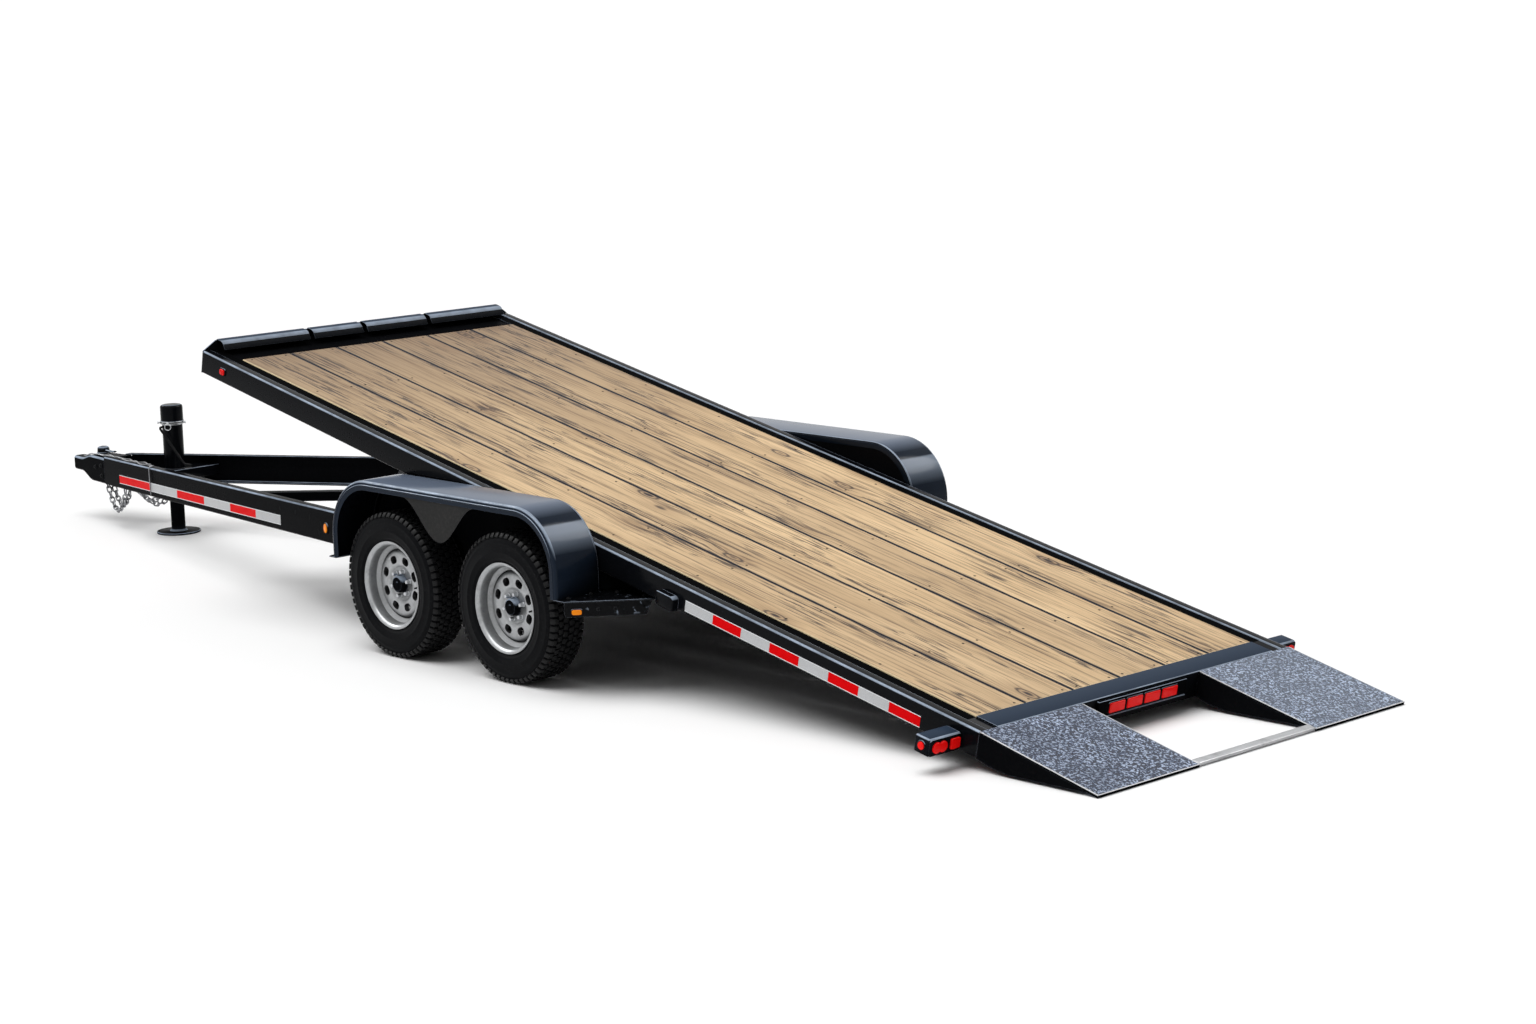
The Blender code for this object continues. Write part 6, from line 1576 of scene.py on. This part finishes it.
def on_tongue(x, inset, rise, side):
    """A place on a tongue rail, from its distance inwards and its rise over the top."""
    share = (TONGUE_REAR - x) / TONGUE_LONG
    half_width = TONGUE_HALF_REAR - TONGUE_CLOSING * share
    return Vector((x, side * (half_width - inset), TONGUE_TOP_REAR - TONGUE_FALL * share + rise))


def along_tongue(corners, first_x, last_x, side):
    """A section of (inset, rise) carried along a tongue rail."""
    ends = [[on_tongue(x, inset, rise, side) for inset, rise in corners] for x in (first_x, last_x)]
    return loft(ends)


rail_corners = rounded((
    (0.0, 0.0, 0.011),
    (0.0, -TONGUE_HEIGHT, 0.011),
    (TONGUE_FLANGE, -TONGUE_HEIGHT, 0.003),
    (TONGUE_FLANGE, 0.008 - TONGUE_HEIGHT, 0.002),
    (TONGUE_WALL, 0.008 - TONGUE_HEIGHT, 0.005),
    (TONGUE_WALL, -0.008, 0.005),
    (TONGUE_FLANGE, -0.008, 0.002),
    (TONGUE_FLANGE, 0.0, 0.003),
), 5)
for side_name, side in SIDES:
    rail = along_tongue(rail_corners, TONGUE_REAR - HAIRLINE, TONGUE_FRONT, side)
    stands_for = ["tongue_rail_" + side_name]
    finished("tongue_channel_" + side_name, rail, GLOSS_BLACK, "chassis", None, stands_for)
    strips = {"red": [], "pale": [], "edge": []}
    for number, (first_x, last_x) in enumerate(zip(TONGUE_TAPE_X, TONGUE_TAPE_X[1:])):
        tape = ((-TAPE_THICK, -0.0885), (0.0, -0.0885), (0.0, -0.1315), (-TAPE_THICK, -0.1315))
        strips["red" if number % 2 == 0 else "pale"].append(along_tongue(tape, first_x, last_x - 0.001, side))
    for low in (-0.135, -0.0885):
        edge = ((-TAPE_THICK, low + 0.0035), (0.0, low + 0.0035), (0.0, low), (-TAPE_THICK, low))
        strips["edge"].append(along_tongue(edge, TONGUE_TAPE_X[0], TONGUE_TAPE_X[-1], side))
    stick("tongue", strips, side_name, "chassis")
    lamp_x = TONGUE_REAR - 0.230 - 0.026
    ahead_line = on_tongue(TONGUE_FRONT, 0, 0, side) - on_tongue(TONGUE_REAR, 0, 0, side)
    stand = facing(on_tongue(lamp_x, 0.0, -0.092, side), ahead_line, (-TONGUE_CLOSING, side * TONGUE_LONG, 0))
    ovals = (ring_outline(0.019, 32, 1.2), ring_outline(0.024, 32, 1.2))
    lamp("tongue_lamp_" + side_name, *ovals, 0.010, AMBER_LENS, "red_lens", "chassis", stand, 0.005)
print("tongue rails with", len(TONGUE_TAPE_X) - 1, "lengths of tape a side")

# %% [markdown]
# ## Coupler
#
# The coupler is pressed and cast steel: a round nose over the ball, cheeks that deepen to the
# rails' height, and no sharp edge anywhere. Many round-cornered sections along the trailer, each
# a little smaller than the last and shrinking quickly at the very end, make one smooth skin.
# The latch is a capped pot with a flat lever.

# %% Coupler and latch
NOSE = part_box("coupler")[0][0]
COUPLER_REAR = TONGUE_FRONT - HAIRLINE
RAIL_TOP_FRONT = 0.394
NOSE_RADIUS = 0.045
NOSE_ROLL = 0.020
NOSE_STEPS = 9
BODY_STEPS = 22
SOCKET_PLACE = Vector((NOSE + NOSE_RADIUS + 0.020, 0.0, 0.286))
SOCKET_RADIUS = 0.0262


def eased(low, high, value):
    """A smooth step from 0 to 1 between two places."""
    share = min(1.0, max(0.0, (value - low) / (high - low)))
    return share * share * (3 - 2 * share)


def cast_edge(x, height, change):
    """Height of the coupler's top or under edge, which changes behind the nose."""
    return height + change * eased(NOSE + 0.120, NOSE + 0.260, x)


def cast_half(x):
    """Half the coupler's width."""
    return NOSE_RADIUS + 0.050 * max(0.0, (x - NOSE - NOSE_RADIUS) / (COUPLER_REAR - NOSE - NOSE_RADIUS))


CAST_TOP = (0.354, 0.028)
CAST_BOTTOM = (0.274, -0.045)
nose_turns = [math.pi / 2 * step / NOSE_STEPS for step in range(1, NOSE_STEPS + 1)]
stations = [NOSE + NOSE_RADIUS * (1 - math.cos(angle)) for angle in nose_turns]
body_start = NOSE + NOSE_RADIUS
stations += [body_start + (COUPLER_REAR - body_start) * step / BODY_STEPS for step in range(1, BODY_STEPS + 1)]
sections = []
for x in stations:
    high, low = cast_edge(x, *CAST_TOP), cast_edge(x, *CAST_BOTTOM)
    half, corner = cast_half(x), 0.016
    from_nose = x - NOSE
    if from_nose < NOSE_RADIUS:
        half = math.sqrt(max(1e-6, NOSE_RADIUS ** 2 - (NOSE_RADIUS - from_nose) ** 2))
        shrink = NOSE_ROLL * (1 - math.sqrt(max(0.0, 1 - max(0.0, 1 - from_nose / NOSE_ROLL) ** 2)))
        high, low, corner = high - shrink, low + shrink, min(corner, half * 0.9)
    outline = rounded_alike(((-half, low), (half, low), (half, high), (-half, high)), corner, 6)
    sections.append([(x, y, z) for y, z in outline])
coupler = finished("coupler_skin", loft(sections), GLOSS_BLACK, "chassis", None, ["coupler"])
socket = bmesh.new()
bmesh.ops.create_uvsphere(socket, u_segments=32, v_segments=20, radius=SOCKET_RADIUS)
bmesh.ops.translate(socket, vec=SOCKET_PLACE, verts=socket.verts)
cut(coupler, socket)
bolts = []
for side in (-1.0, 1.0):
    for x, z in ((NOSE + 0.320, 0.320), (NOSE + 0.400, 0.335), (NOSE + 0.400, 0.275)):
        bolts.append(((x, side * cast_half(x), z), aimed((-0.12, side, 0))))
repeat("coupler_bolts", hex_bolt(0.010, 0.008, 0.0025), bolts, SATIN_BLACK, "chassis")

LATCH_X = NOSE + 0.290
LATCH_Z = RAIL_TOP_FRONT - 0.012
LEVER_LINE = ((0.0, 0.026), (0.060, 0.026), (0.095, 0.024), (0.128, 0.027))
LEVER_RADIUS = 0.0056
LEVER_WIDER = 1.7
pot = mm((0.3, 0), (0.3, 40), (12, 40), (14, 36.5), (34, 35), (43, 31.5), (48, 22), (50, 0))
lever = tube([(LATCH_X + along, 0, LATCH_Z + rise) for along, rise in LEVER_LINE], LEVER_RADIUS, 12)
for vertex in lever.verts:
    vertex.co.y *= LEVER_WIDER
latch = gather([turned(pot, 40, (LATCH_X, 0, LATCH_Z), axis="z"), lever])
finished("latch", latch, SMOOTH_BLACK, "chassis", None, ["coupler_latch"])
print("coupler:", len(sections), "sections")

# %% [markdown]
# ## Jack
#
# The jack is a thick round tube through a beam between the rails. The collar below its domed
# cap carries bright pins, bands and a pull ring, and a thin crank stands out from its side.
# Turned profiles give the round pieces with their soft edges, and a bar along a bent line gives
# crank and ring.

# %% Jack
BEAM_HALF = 0.070
BEAM_HIGH = 0.060
JACK_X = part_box("jack_tube")[0][0] + BEAM_HALF
TUBE_RADIUS = 0.058


def arc_line(points, radius, steps=6):
    """A line of points in space with each inner corner rounded."""
    line = [Vector(points[0])]
    for before, here, after in zip(points, points[1:], points[2:]):
        here = Vector(here)
        first = here + (Vector(before) - here).normalized() * radius
        last = here + (Vector(after) - here).normalized() * radius
        for step in range(steps + 1):
            share = step / steps
            line.append(first * (1 - share) ** 2 + here * 2 * share * (1 - share) + last * share ** 2)
    return line + [Vector(points[-1])]


jack_profile = (
    (0.215, 0.0472), (0.215, TUBE_RADIUS - 0.002), (0.217, TUBE_RADIUS), (0.634, TUBE_RADIUS),
    (0.634, 0.066), (0.636, 0.068), (0.648, 0.068), (0.650, 0.066), (0.651, 0.062),
    (0.653, 0.064), (0.730, 0.064), (0.738, 0.061), (0.743, 0.054), (0.745, 0.044),
    (0.745, 0.012), (0.743, 0.0),
)
inside = ((0.7095, 0.0), (0.7095, 0.0472))
tube_skin = turned(inside + jack_profile, 56, (JACK_X, 0, 0), axis="z")
beam_top = on_tongue(JACK_X, 0, 0, 1.0).z - TONGUE_HEIGHT / 2 + BEAM_HIGH / 2
beam_ends = ((-BEAM_HALF, -1.0), (BEAM_HALF, -1.0), (BEAM_HALF, 1.0), (-BEAM_HALF, 1.0))
plan = [(JACK_X + along, on_tongue(JACK_X + along, 0.009, 0, side).y) for along, side in beam_ends]
beam_shape = soften(prism(plan, "z", beam_top - BEAM_HIGH, beam_top), 0.004, 3)
weld = ((0.0, TUBE_RADIUS - 0.002), (0.0, TUBE_RADIUS + 0.007), (0.007, TUBE_RADIUS - 0.001))
ring_weld = turned(weld, 40, (JACK_X, 0, beam_top - 0.001), axis="z")
body_shape = gather([tube_skin, beam_shape, ring_weld])
finished("jack_body", body_shape, SMOOTH_BLACK, "chassis", None, ["jack_tube"])

PIN_Z = 0.642
PIN_ANGLES = (-2.2, -0.9, 0.6, 2.3)
RING_RADIUS = 0.018
RING_SIDES = 28
pins = []
for angle in PIN_ANGLES:
    out = Vector((math.cos(angle), math.sin(angle), 0))
    pins.append((Vector((JACK_X, 0, PIN_Z)) + out * 0.067, aimed(out)))
pin_profile = mm((-4, 0), (-4, 5), (10, 5), (11, 7.5), (15, 7.5), (17, 5), (17, 0))
repeat("jack_pins", turned(pin_profile, 18, ORIGIN, axis="z"), pins, ZINC, "chassis")
bands = []
for low_z, band_radius in ((0.6375, 0.0700), (0.6470, 0.0695), (0.6300, 0.0610)):
    band = ((0.0, 0.0572), (0.0, band_radius), (0.0028, band_radius), (0.0028, 0.0572))
    bands.append(turned(band, 48, (JACK_X, 0, low_z), axis="z"))
finished("jack_bands", gather(bands), ZINC, "chassis")
ring_out = Vector((math.cos(PIN_ANGLES[1]), math.sin(PIN_ANGLES[1]), 0))
ring_across = Vector((-ring_out.y, ring_out.x, 0))
ring_middle = Vector((JACK_X, 0, PIN_Z - 0.019)) + ring_out * 0.081
circle = ring_outline(RING_RADIUS, RING_SIDES)
ring_line = [ring_middle + ring_across * across + Vector((0, 0, up)) for across, up in circle]
finished("jack_ring", tube(ring_line, 0.0022, 8, True), ZINC, "chassis")

CRANK_Z = 0.634 - 0.014
CRANK_ROOT = -TUBE_RADIUS - HAIRLINE
CRANK_Y = CRANK_ROOT - 0.030
CRANK_FALL = 0.190
crank_points = [
    (JACK_X, CRANK_ROOT, CRANK_Z),
    (JACK_X, CRANK_Y, CRANK_Z),
    (JACK_X + 0.240, CRANK_Y, CRANK_Z - CRANK_FALL),
    (JACK_X + 0.310, CRANK_Y, CRANK_Z - CRANK_FALL),
]
crank = tube(arc_line(crank_points, 0.018), 0.0066, 14)
grip = turned(mm((0, 7.2), (1, 9.5), (50, 9.5), (52, 7.2)), 20, ORIGIN, axis="z")
grip_turn = Vector((1, 0, 0)).to_track_quat("Z", "Y").to_matrix().to_4x4()
grip_place = Matrix.Translation((JACK_X + 0.256, CRANK_Y, CRANK_Z - CRANK_FALL))
whole_crank = gather([crank, moved(grip, grip_place @ grip_turn)])
whole_crank.faces.layers.float.new("fold")
finished("crank", whole_crank, SATIN_BLACK, "chassis", None, ["jack_handle"])

leg_profile = mm(
    (0, 0), (0, 122), (3, 125), (9, 125), (12, 122), (12.2, 52),
    (20, 41), (22, 40), (489, 40), (490, 46.2), (520, 46.2), (520.3, 0),
)
leg = turned(leg_profile, 56, (JACK_X, 0, 0), axis="z")
finished("jack_leg_skin", leg, GLOSS_BLACK, "jack_leg", None, ["jack_leg"])
print("jack with", len(pins), "pins")

# %% [markdown]
# ## Safety chains
#
# A chain is one link repeated, each turned a quarter against the last. The link is a round wire
# bent to a long oval. Under each rail hang two loops, one behind the other. The repeat tree sets
# the link down along them, aimed along the loop.

# %% Chains
WIRE = 0.0045
LINK_LONG = 0.053
LINK_WIDE = 0.034


def link_shape():
    """One oval link of round wire, its long way up Z."""
    bend = LINK_WIDE / 2 - WIRE
    straight = (LINK_LONG - LINK_WIDE) / 2
    line = []
    for step in range(LINK_STEPS):
        angle = 2 * math.pi * (step + 0.5) / LINK_STEPS
        push = math.copysign(straight, math.sin(angle))
        line.append((bend * math.cos(angle), 0.0, bend * math.sin(angle) + push))
    return tube(line, WIRE, 10, True)


STRANDS = (
    # start behind the rail's front, length, distance inwards, sag
    (0.035, 0.290, 0.012, 0.440),
    (0.052, 0.262, 0.044, 0.330),
)
LINK_STEPS = 24
STRAND_STEPS = 400


def strand_places(first, along, inset, sag, side):
    """Where the links of one hanging strand stand under the rail, a pitch apart."""
    pitch = LINK_LONG - 4 * WIRE + 0.001
    places = []
    walked, last = pitch, None
    for step in range(STRAND_STEPS + 1):
        share = step / STRAND_STEPS
        down = -TONGUE_HEIGHT - LINK_LONG / 2 - HAIRLINE - sag * share * (1 - share)
        here = on_tongue(TONGUE_FRONT + first + along * share, inset, down, side)
        walked += (here - last).length if last else 0.0
        last = here
        if walked >= pitch:
            places.append(here)
            walked -= pitch
    return places


for side_name, side in SIDES:
    links = []
    for strand in STRANDS:
        line = strand_places(*strand, side)
        for number, place in enumerate(line):
            direction = line[min(len(line) - 1, number + 1)] - line[max(0, number - 1)]
            links.append((place, aimed(direction, (number % 2) * math.pi / 2)))
    places = strand_places(*STRANDS[0], side)
    chain = repeat(
        "chain_" + side_name, link_shape(), links, CHAIN_ZINC, "chassis", smooth=60.0)
    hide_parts("safety_chain_" + side_name)
    hooks = []
    for place, after in ((places[0], places[1]), (places[-1], places[-2])):
        hook = place - (after - place).normalized() * (LINK_LONG / 2 - WIRE)
        top = Vector((hook.x, hook.y, on_tongue(hook.x, 0, -TONGUE_HEIGHT - 0.0006, side).z))
        bow = [top + Vector((-0.010, 0, 0)), top + Vector((-0.010, 0, -0.016)), hook + Vector((0, 0, -0.010))]
        bow += [top + Vector((0.010, 0, -0.016)), top + Vector((0.010, 0, 0))]
        hooks.append(tube(arc_line(bow, 0.006), 0.0042, 10))
    finished("chain_eyes_" + side_name, gather(hooks), CHAIN_ZINC, "chassis")
print(len(links), "links a side")

# %% [markdown]
# ## The loose cables
#
# Two thin zinc cables lie over the coupler and along the left rail's top, as far as the jack.
# There one of them hangs down over the rail's side. Each is a line of points that follows the
# steel's surface, with a slow wave across it, and a round wire along that line.

# %% Cables
CABLE_RADIUS = 0.0036
CABLE_START = NOSE + 0.130
CABLE_STOP = TONGUE_TAPE_X[1] + 0.004
CABLE_STEPS = 72
CABLES = (
    # distance aside, phase of the wave, end, whether it hangs over the side
    (0.006, 0.4, CABLE_STOP, True),
    (-0.006, 2.6, CABLE_STOP - 0.045, False),
)
HANGING = ((0.010, 0.008), (-0.001, 0.007), (-0.0075, 0.000), (-0.0085, -0.040), (-0.0080, -0.150))


def cable_line(aside, phase, stop_x, hangs):
    """Points along the coupler's top and the left rail's top, the last ones down its side."""
    line = []
    for step in range(CABLE_STEPS + 1):
        share = step / CABLE_STEPS
        x = CABLE_START + (stop_x - CABLE_START) * share
        cast_top = cast_edge(x, *CAST_TOP)
        rail = on_tongue(x, 0.026, 0.0, -1.0)
        on_rail = eased(TONGUE_FRONT - 0.070, TONGUE_FRONT - 0.004, x)
        z = cast_top + (rail.z - cast_top) * on_rail + CABLE_RADIUS + 0.0012
        y = -0.030 - 0.023 * eased(CABLE_START, NOSE + 0.240, x)
        y += (rail.y - y) * eased(NOSE + 0.340, TONGUE_FRONT + 0.020, x)
        wave = (0.002 + 0.007 * on_rail) * math.sin(phase + share * 24.0)
        line.append(Vector((x, y + wave + aside, z + 0.003 * (1 + math.sin(phase + share * 31.0)))))
    if hangs:
        for inset, rise in HANGING:
            line.append(on_tongue(stop_x + 0.012 - rise * 0.05, inset, rise, -1.0))
    return arc_line([tuple(point) for point in line], 0.0035, 2) if hangs else line


for number, cable_row in enumerate(CABLES):
    line = cable_line(*cable_row)
    cable_shape = tube(line, CABLE_RADIUS, 10)
    cable = finished("cable_" + str(number), cable_shape, CHAIN_ZINC, "chassis")

# %% [markdown]
# ## Wheels
#
# A steel wheel is a deep barrel with rolled lips and a flat disc pressed into it. Here the disc
# is nearly flat silver with eight oval windows in a ring, and through them the dark drum shows.
# A black cap covers the hub, with bright nuts around it. All of it is turned from profiles at
# many segments, and the windows are cut with one boolean of eight oval bars. The nuts come
# from the repeat tree.

# %% Wheels
WHEEL_SEGMENTS = 96
TYRE_SEGMENTS = 128
HUB_OUT = 1.020
HUB_HIGH = 0.345
BARREL = mm(
    (8.2, 208.3), (10.5, 209.5), (15.5, 208.8), (16.5, 206), (16.5, 193.5), (20, 191.8), (50, 169),
    (56, 166.6), (118, 166.6), (122.5, 170), (130, 189), (134, 191.5), (188, 192.2), (188.6, 194),
    (188.6, 206.5), (190, 208.8), (193.5, 209.2), (196.5, 207.8), (197.5, 205), (196.2, 201), (193, 196.5),
    (188, 190.5), (184.5, 188.6), (170, 187.4), (148, 186.6), (143, 185), (139.5, 180), (133, 169),
    (130, 165), (120, 162), (56, 162), (48, 165), (18, 183.5), (13, 188),
)
DISC = mm(
    (118, 68), (118.5, 153), (116, 161.9), (126, 161.9), (131, 160), (139, 152.5), (141.5, 147),
    (142.5, 139), (142.5, 96), (141, 88), (134.5, 80), (132.5, 76), (132.5, 44), (126, 42),
    (124, 44), (123.5, 68),
)
DRUM = mm(
    (0, 18.5), (0, 124), (3, 127), (76, 127), (80, 125), (86, 82), (117, 80),
    (117, 40), (149.5, 38), (149.5, 18.5),
)
CAP = mm(
    (126, 0), (126, 43), (133, 44), (134.5, 41.5), (156, 40), (161, 37.5), (163.5, 33),
    (162.5, 30), (162.5, 12), (164, 10), (164, 0),
)
NUT_SEAT = mm((-1, 0), (-1, 12), (1, 12), (3, 10.5), (3, 0))
NUT_HEAD = mm((2, 0), (2, 10.5), (18, 10.5), (22, 8), (23.5, 0))
VALVE = ((0.140, 0.141), (0.144, 0.157), (0.146, 0.171))
NUT_CIRCLE = 0.0600
NUTS = 6
WINDOWS = 8
WINDOW_CIRCLE = 0.1165
WINDOW_HALVES = (0.0190, 0.0240)
WINDOW_SIDES = 28

TYRE = mm(
    (17.2, 192.7), (17.2, 209), (15, 210.8), (10.5, 216), (7.5, 224), (5.8, 225.5), (5.2, 229),
    (3.4, 238), (2.2, 252), (1, 255), (1, 259), (2.2, 262), (2, 286), (3.4, 296),
    (2.8, 299), (4, 303), (8.5, 315), (14, 326), (21, 332), (33, 335.5), (60, 337),
    (102.5, 337.5),
)
TYRE_WIDE = 0.205
tyre_profile = list(TYRE) + [(TYRE_WIDE - along, radius) for along, radius in reversed(TYRE[:-1])]
tyre_profile[-2:] = mm((187.8, 209), (187.8, 192.7))
BLOCK_ROWS = (
    # outward distance, width, length, turn, start in pitches, top's radius, lean
    (0.0118, 0.0230, 0.0225, 0.00, 0.0, 0.3350, -0.95),
    (0.0300, 0.0230, 0.0235, 0.10, 0.0, 0.3425, -0.14),
    (0.0570, 0.0230, 0.0245, -0.30, 0.5, 0.3440, -0.04),
    (0.0860, 0.0250, 0.0245, 0.30, 0.0, 0.3444, 0.0),
    (0.1190, 0.0250, 0.0245, -0.30, 0.5, 0.3444, 0.0),
    (0.1480, 0.0230, 0.0245, 0.30, 0.0, 0.3440, 0.04),
    (0.1750, 0.0230, 0.0235, -0.10, 0.5, 0.3425, 0.14),
    (0.1932, 0.0230, 0.0225, 0.00, 0.5, 0.3350, 0.95),
)
BLOCKS_ROUND = 62
BLOCK_HIGH = 0.0090


def window_bars(centre, outward):
    """Oval bars in a ring, which cut a wheel's windows."""
    bars = []
    for window in range(WINDOWS):
        turn = 2 * math.pi * (window + 0.5) / WINDOWS
        rings = []
        for along in (0.090, 0.180):
            ring = []
            for step in range(WINDOW_SIDES):
                angle = 2 * math.pi * step / WINDOW_SIDES
                a, b = [
                    abs(wave) ** 0.80 * math.copysign(half, wave)
                    for wave, half in zip((math.cos(angle), math.sin(angle)), WINDOW_HALVES)
                ]
                a += WINDOW_CIRCLE
                x, z = a * math.cos(turn) - b * math.sin(turn), a * math.sin(turn) + b * math.cos(turn)
                ring.append(Vector(centre) + Vector((x, outward * along, z)))
            rings.append(ring)
        bars.append(loft(rings))
    return gather(bars)


for wheel in WHEELS:
    low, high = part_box("tyre_" + wheel)
    side = -1.0 if wheel.endswith("left") else 1.0
    hub = Vector(((low[0] + high[0]) / 2, side * HUB_OUT, HUB_HIGH))
    body = "wheel_" + wheel
    rim = gather([turned(BARREL, WHEEL_SEGMENTS, hub, side), turned(DISC, WHEEL_SEGMENTS, hub, side)])
    rim = finished("rim_" + wheel, rim, SILVER, body, None, ["wheel_" + wheel], 30.0)
    cut(rim, window_bars(hub, side))
    rim.data.set_sharp_from_angle(angle=math.radians(30.0))
    finished("drum_" + wheel, turned(DRUM, 64, hub, side), SATIN_BLACK, body)
    finished("hub_cap_" + wheel, turned(CAP, 56, hub, side), GLOSS_BLACK, body)
    nuts = []
    for number in range(NUTS):
        angle = 2 * math.pi * (number + 0.25) / NUTS
        away = Vector((math.cos(angle), 0, math.sin(angle))) * NUT_CIRCLE
        nuts.append((hub + away + Vector((0, side * 0.1325, 0)), aimed((0, side, 0), angle)))
    nut_low = turned(NUT_SEAT, 20, ORIGIN, axis="z")
    nut_head = turned(NUT_HEAD, 6, ORIGIN, axis="z")
    repeat("nuts_" + wheel, gather([nut_low, nut_head]), nuts, ZINC, body)
    valve_line = [hub + Vector((away, side * outward, 0)) for away, outward in VALVE]
    finished("valve_" + wheel, tube(valve_line, 0.0042, 10), RUBBER, body)

    carcass = turned(tyre_profile, TYRE_SEGMENTS, hub, side)
    finished("tyre_skin_" + wheel, carcass, RUBBER, body, None, ["tyre_" + wheel], 50.0)
    blocks = []
    for outward, width, length, turn, half, radius, lean in BLOCK_ROWS:
        for number in range(BLOCKS_ROUND):
            angle = 2 * math.pi * (number + half) / BLOCKS_ROUND
            out = Vector((math.cos(angle), 0, math.sin(angle)))
            across = Vector((0, side, 0))
            stand = Matrix((across, out.cross(across), out)).transposed()
            stand = stand @ Matrix.Rotation(lean, 3, "Y") @ Matrix.Rotation(turn, 3, "Z")
            place = hub + out * radius + across * outward
            blocks.append((place, tuple(stand.to_euler()), (width, length, BLOCK_HIGH)))
    block = soften(box((-0.5, -0.5, -1.0), (0.5, 0.5, 0.0)), 0.07, 1)
    repeat("tread_" + wheel, block, blocks, TREAD_RUBBER, body)
print("four wheels of", len(BARREL), "points a barrel")

# %% [markdown]
# ## The pieces that keep their CAD shape
#
# The frame under the deck, the axles, springs and cylinder are already the shape of the real
# ones, so they stay, and only their flat colours are exchanged for the paints made above. The
# Bevel node inside the paint rounds their edges, and the paint lays its painted highlight there.

# %% Paint on CAD pieces
CAD_FINISHES = {
    "black_paint": GLOSS_BLACK,
    "black_satin": SATIN_BLACK,
    "tyre_rubber": RUBBER,
    "wheel_silver": SILVER,
    "zinc_steel": ZINC,
    "bare_steel": WORN,
    "blue_grey_steel": STRIP,
    "grit_coat": GRIT,
    "pine_wood": PINE,
    "red_lens": RED_LENS,
}
slot_of = {row["node"]: row["material_slot"] for row in frame["record"]["subparts"]}
for node_name, node in frame["nodes"].items():
    finish_for_node = CAD_FINISHES[slot_of[node_name]]
    for holder in node.material_slots:
        holder.material = finish_for_node
print("painted", len(slot_of), "CAD pieces")
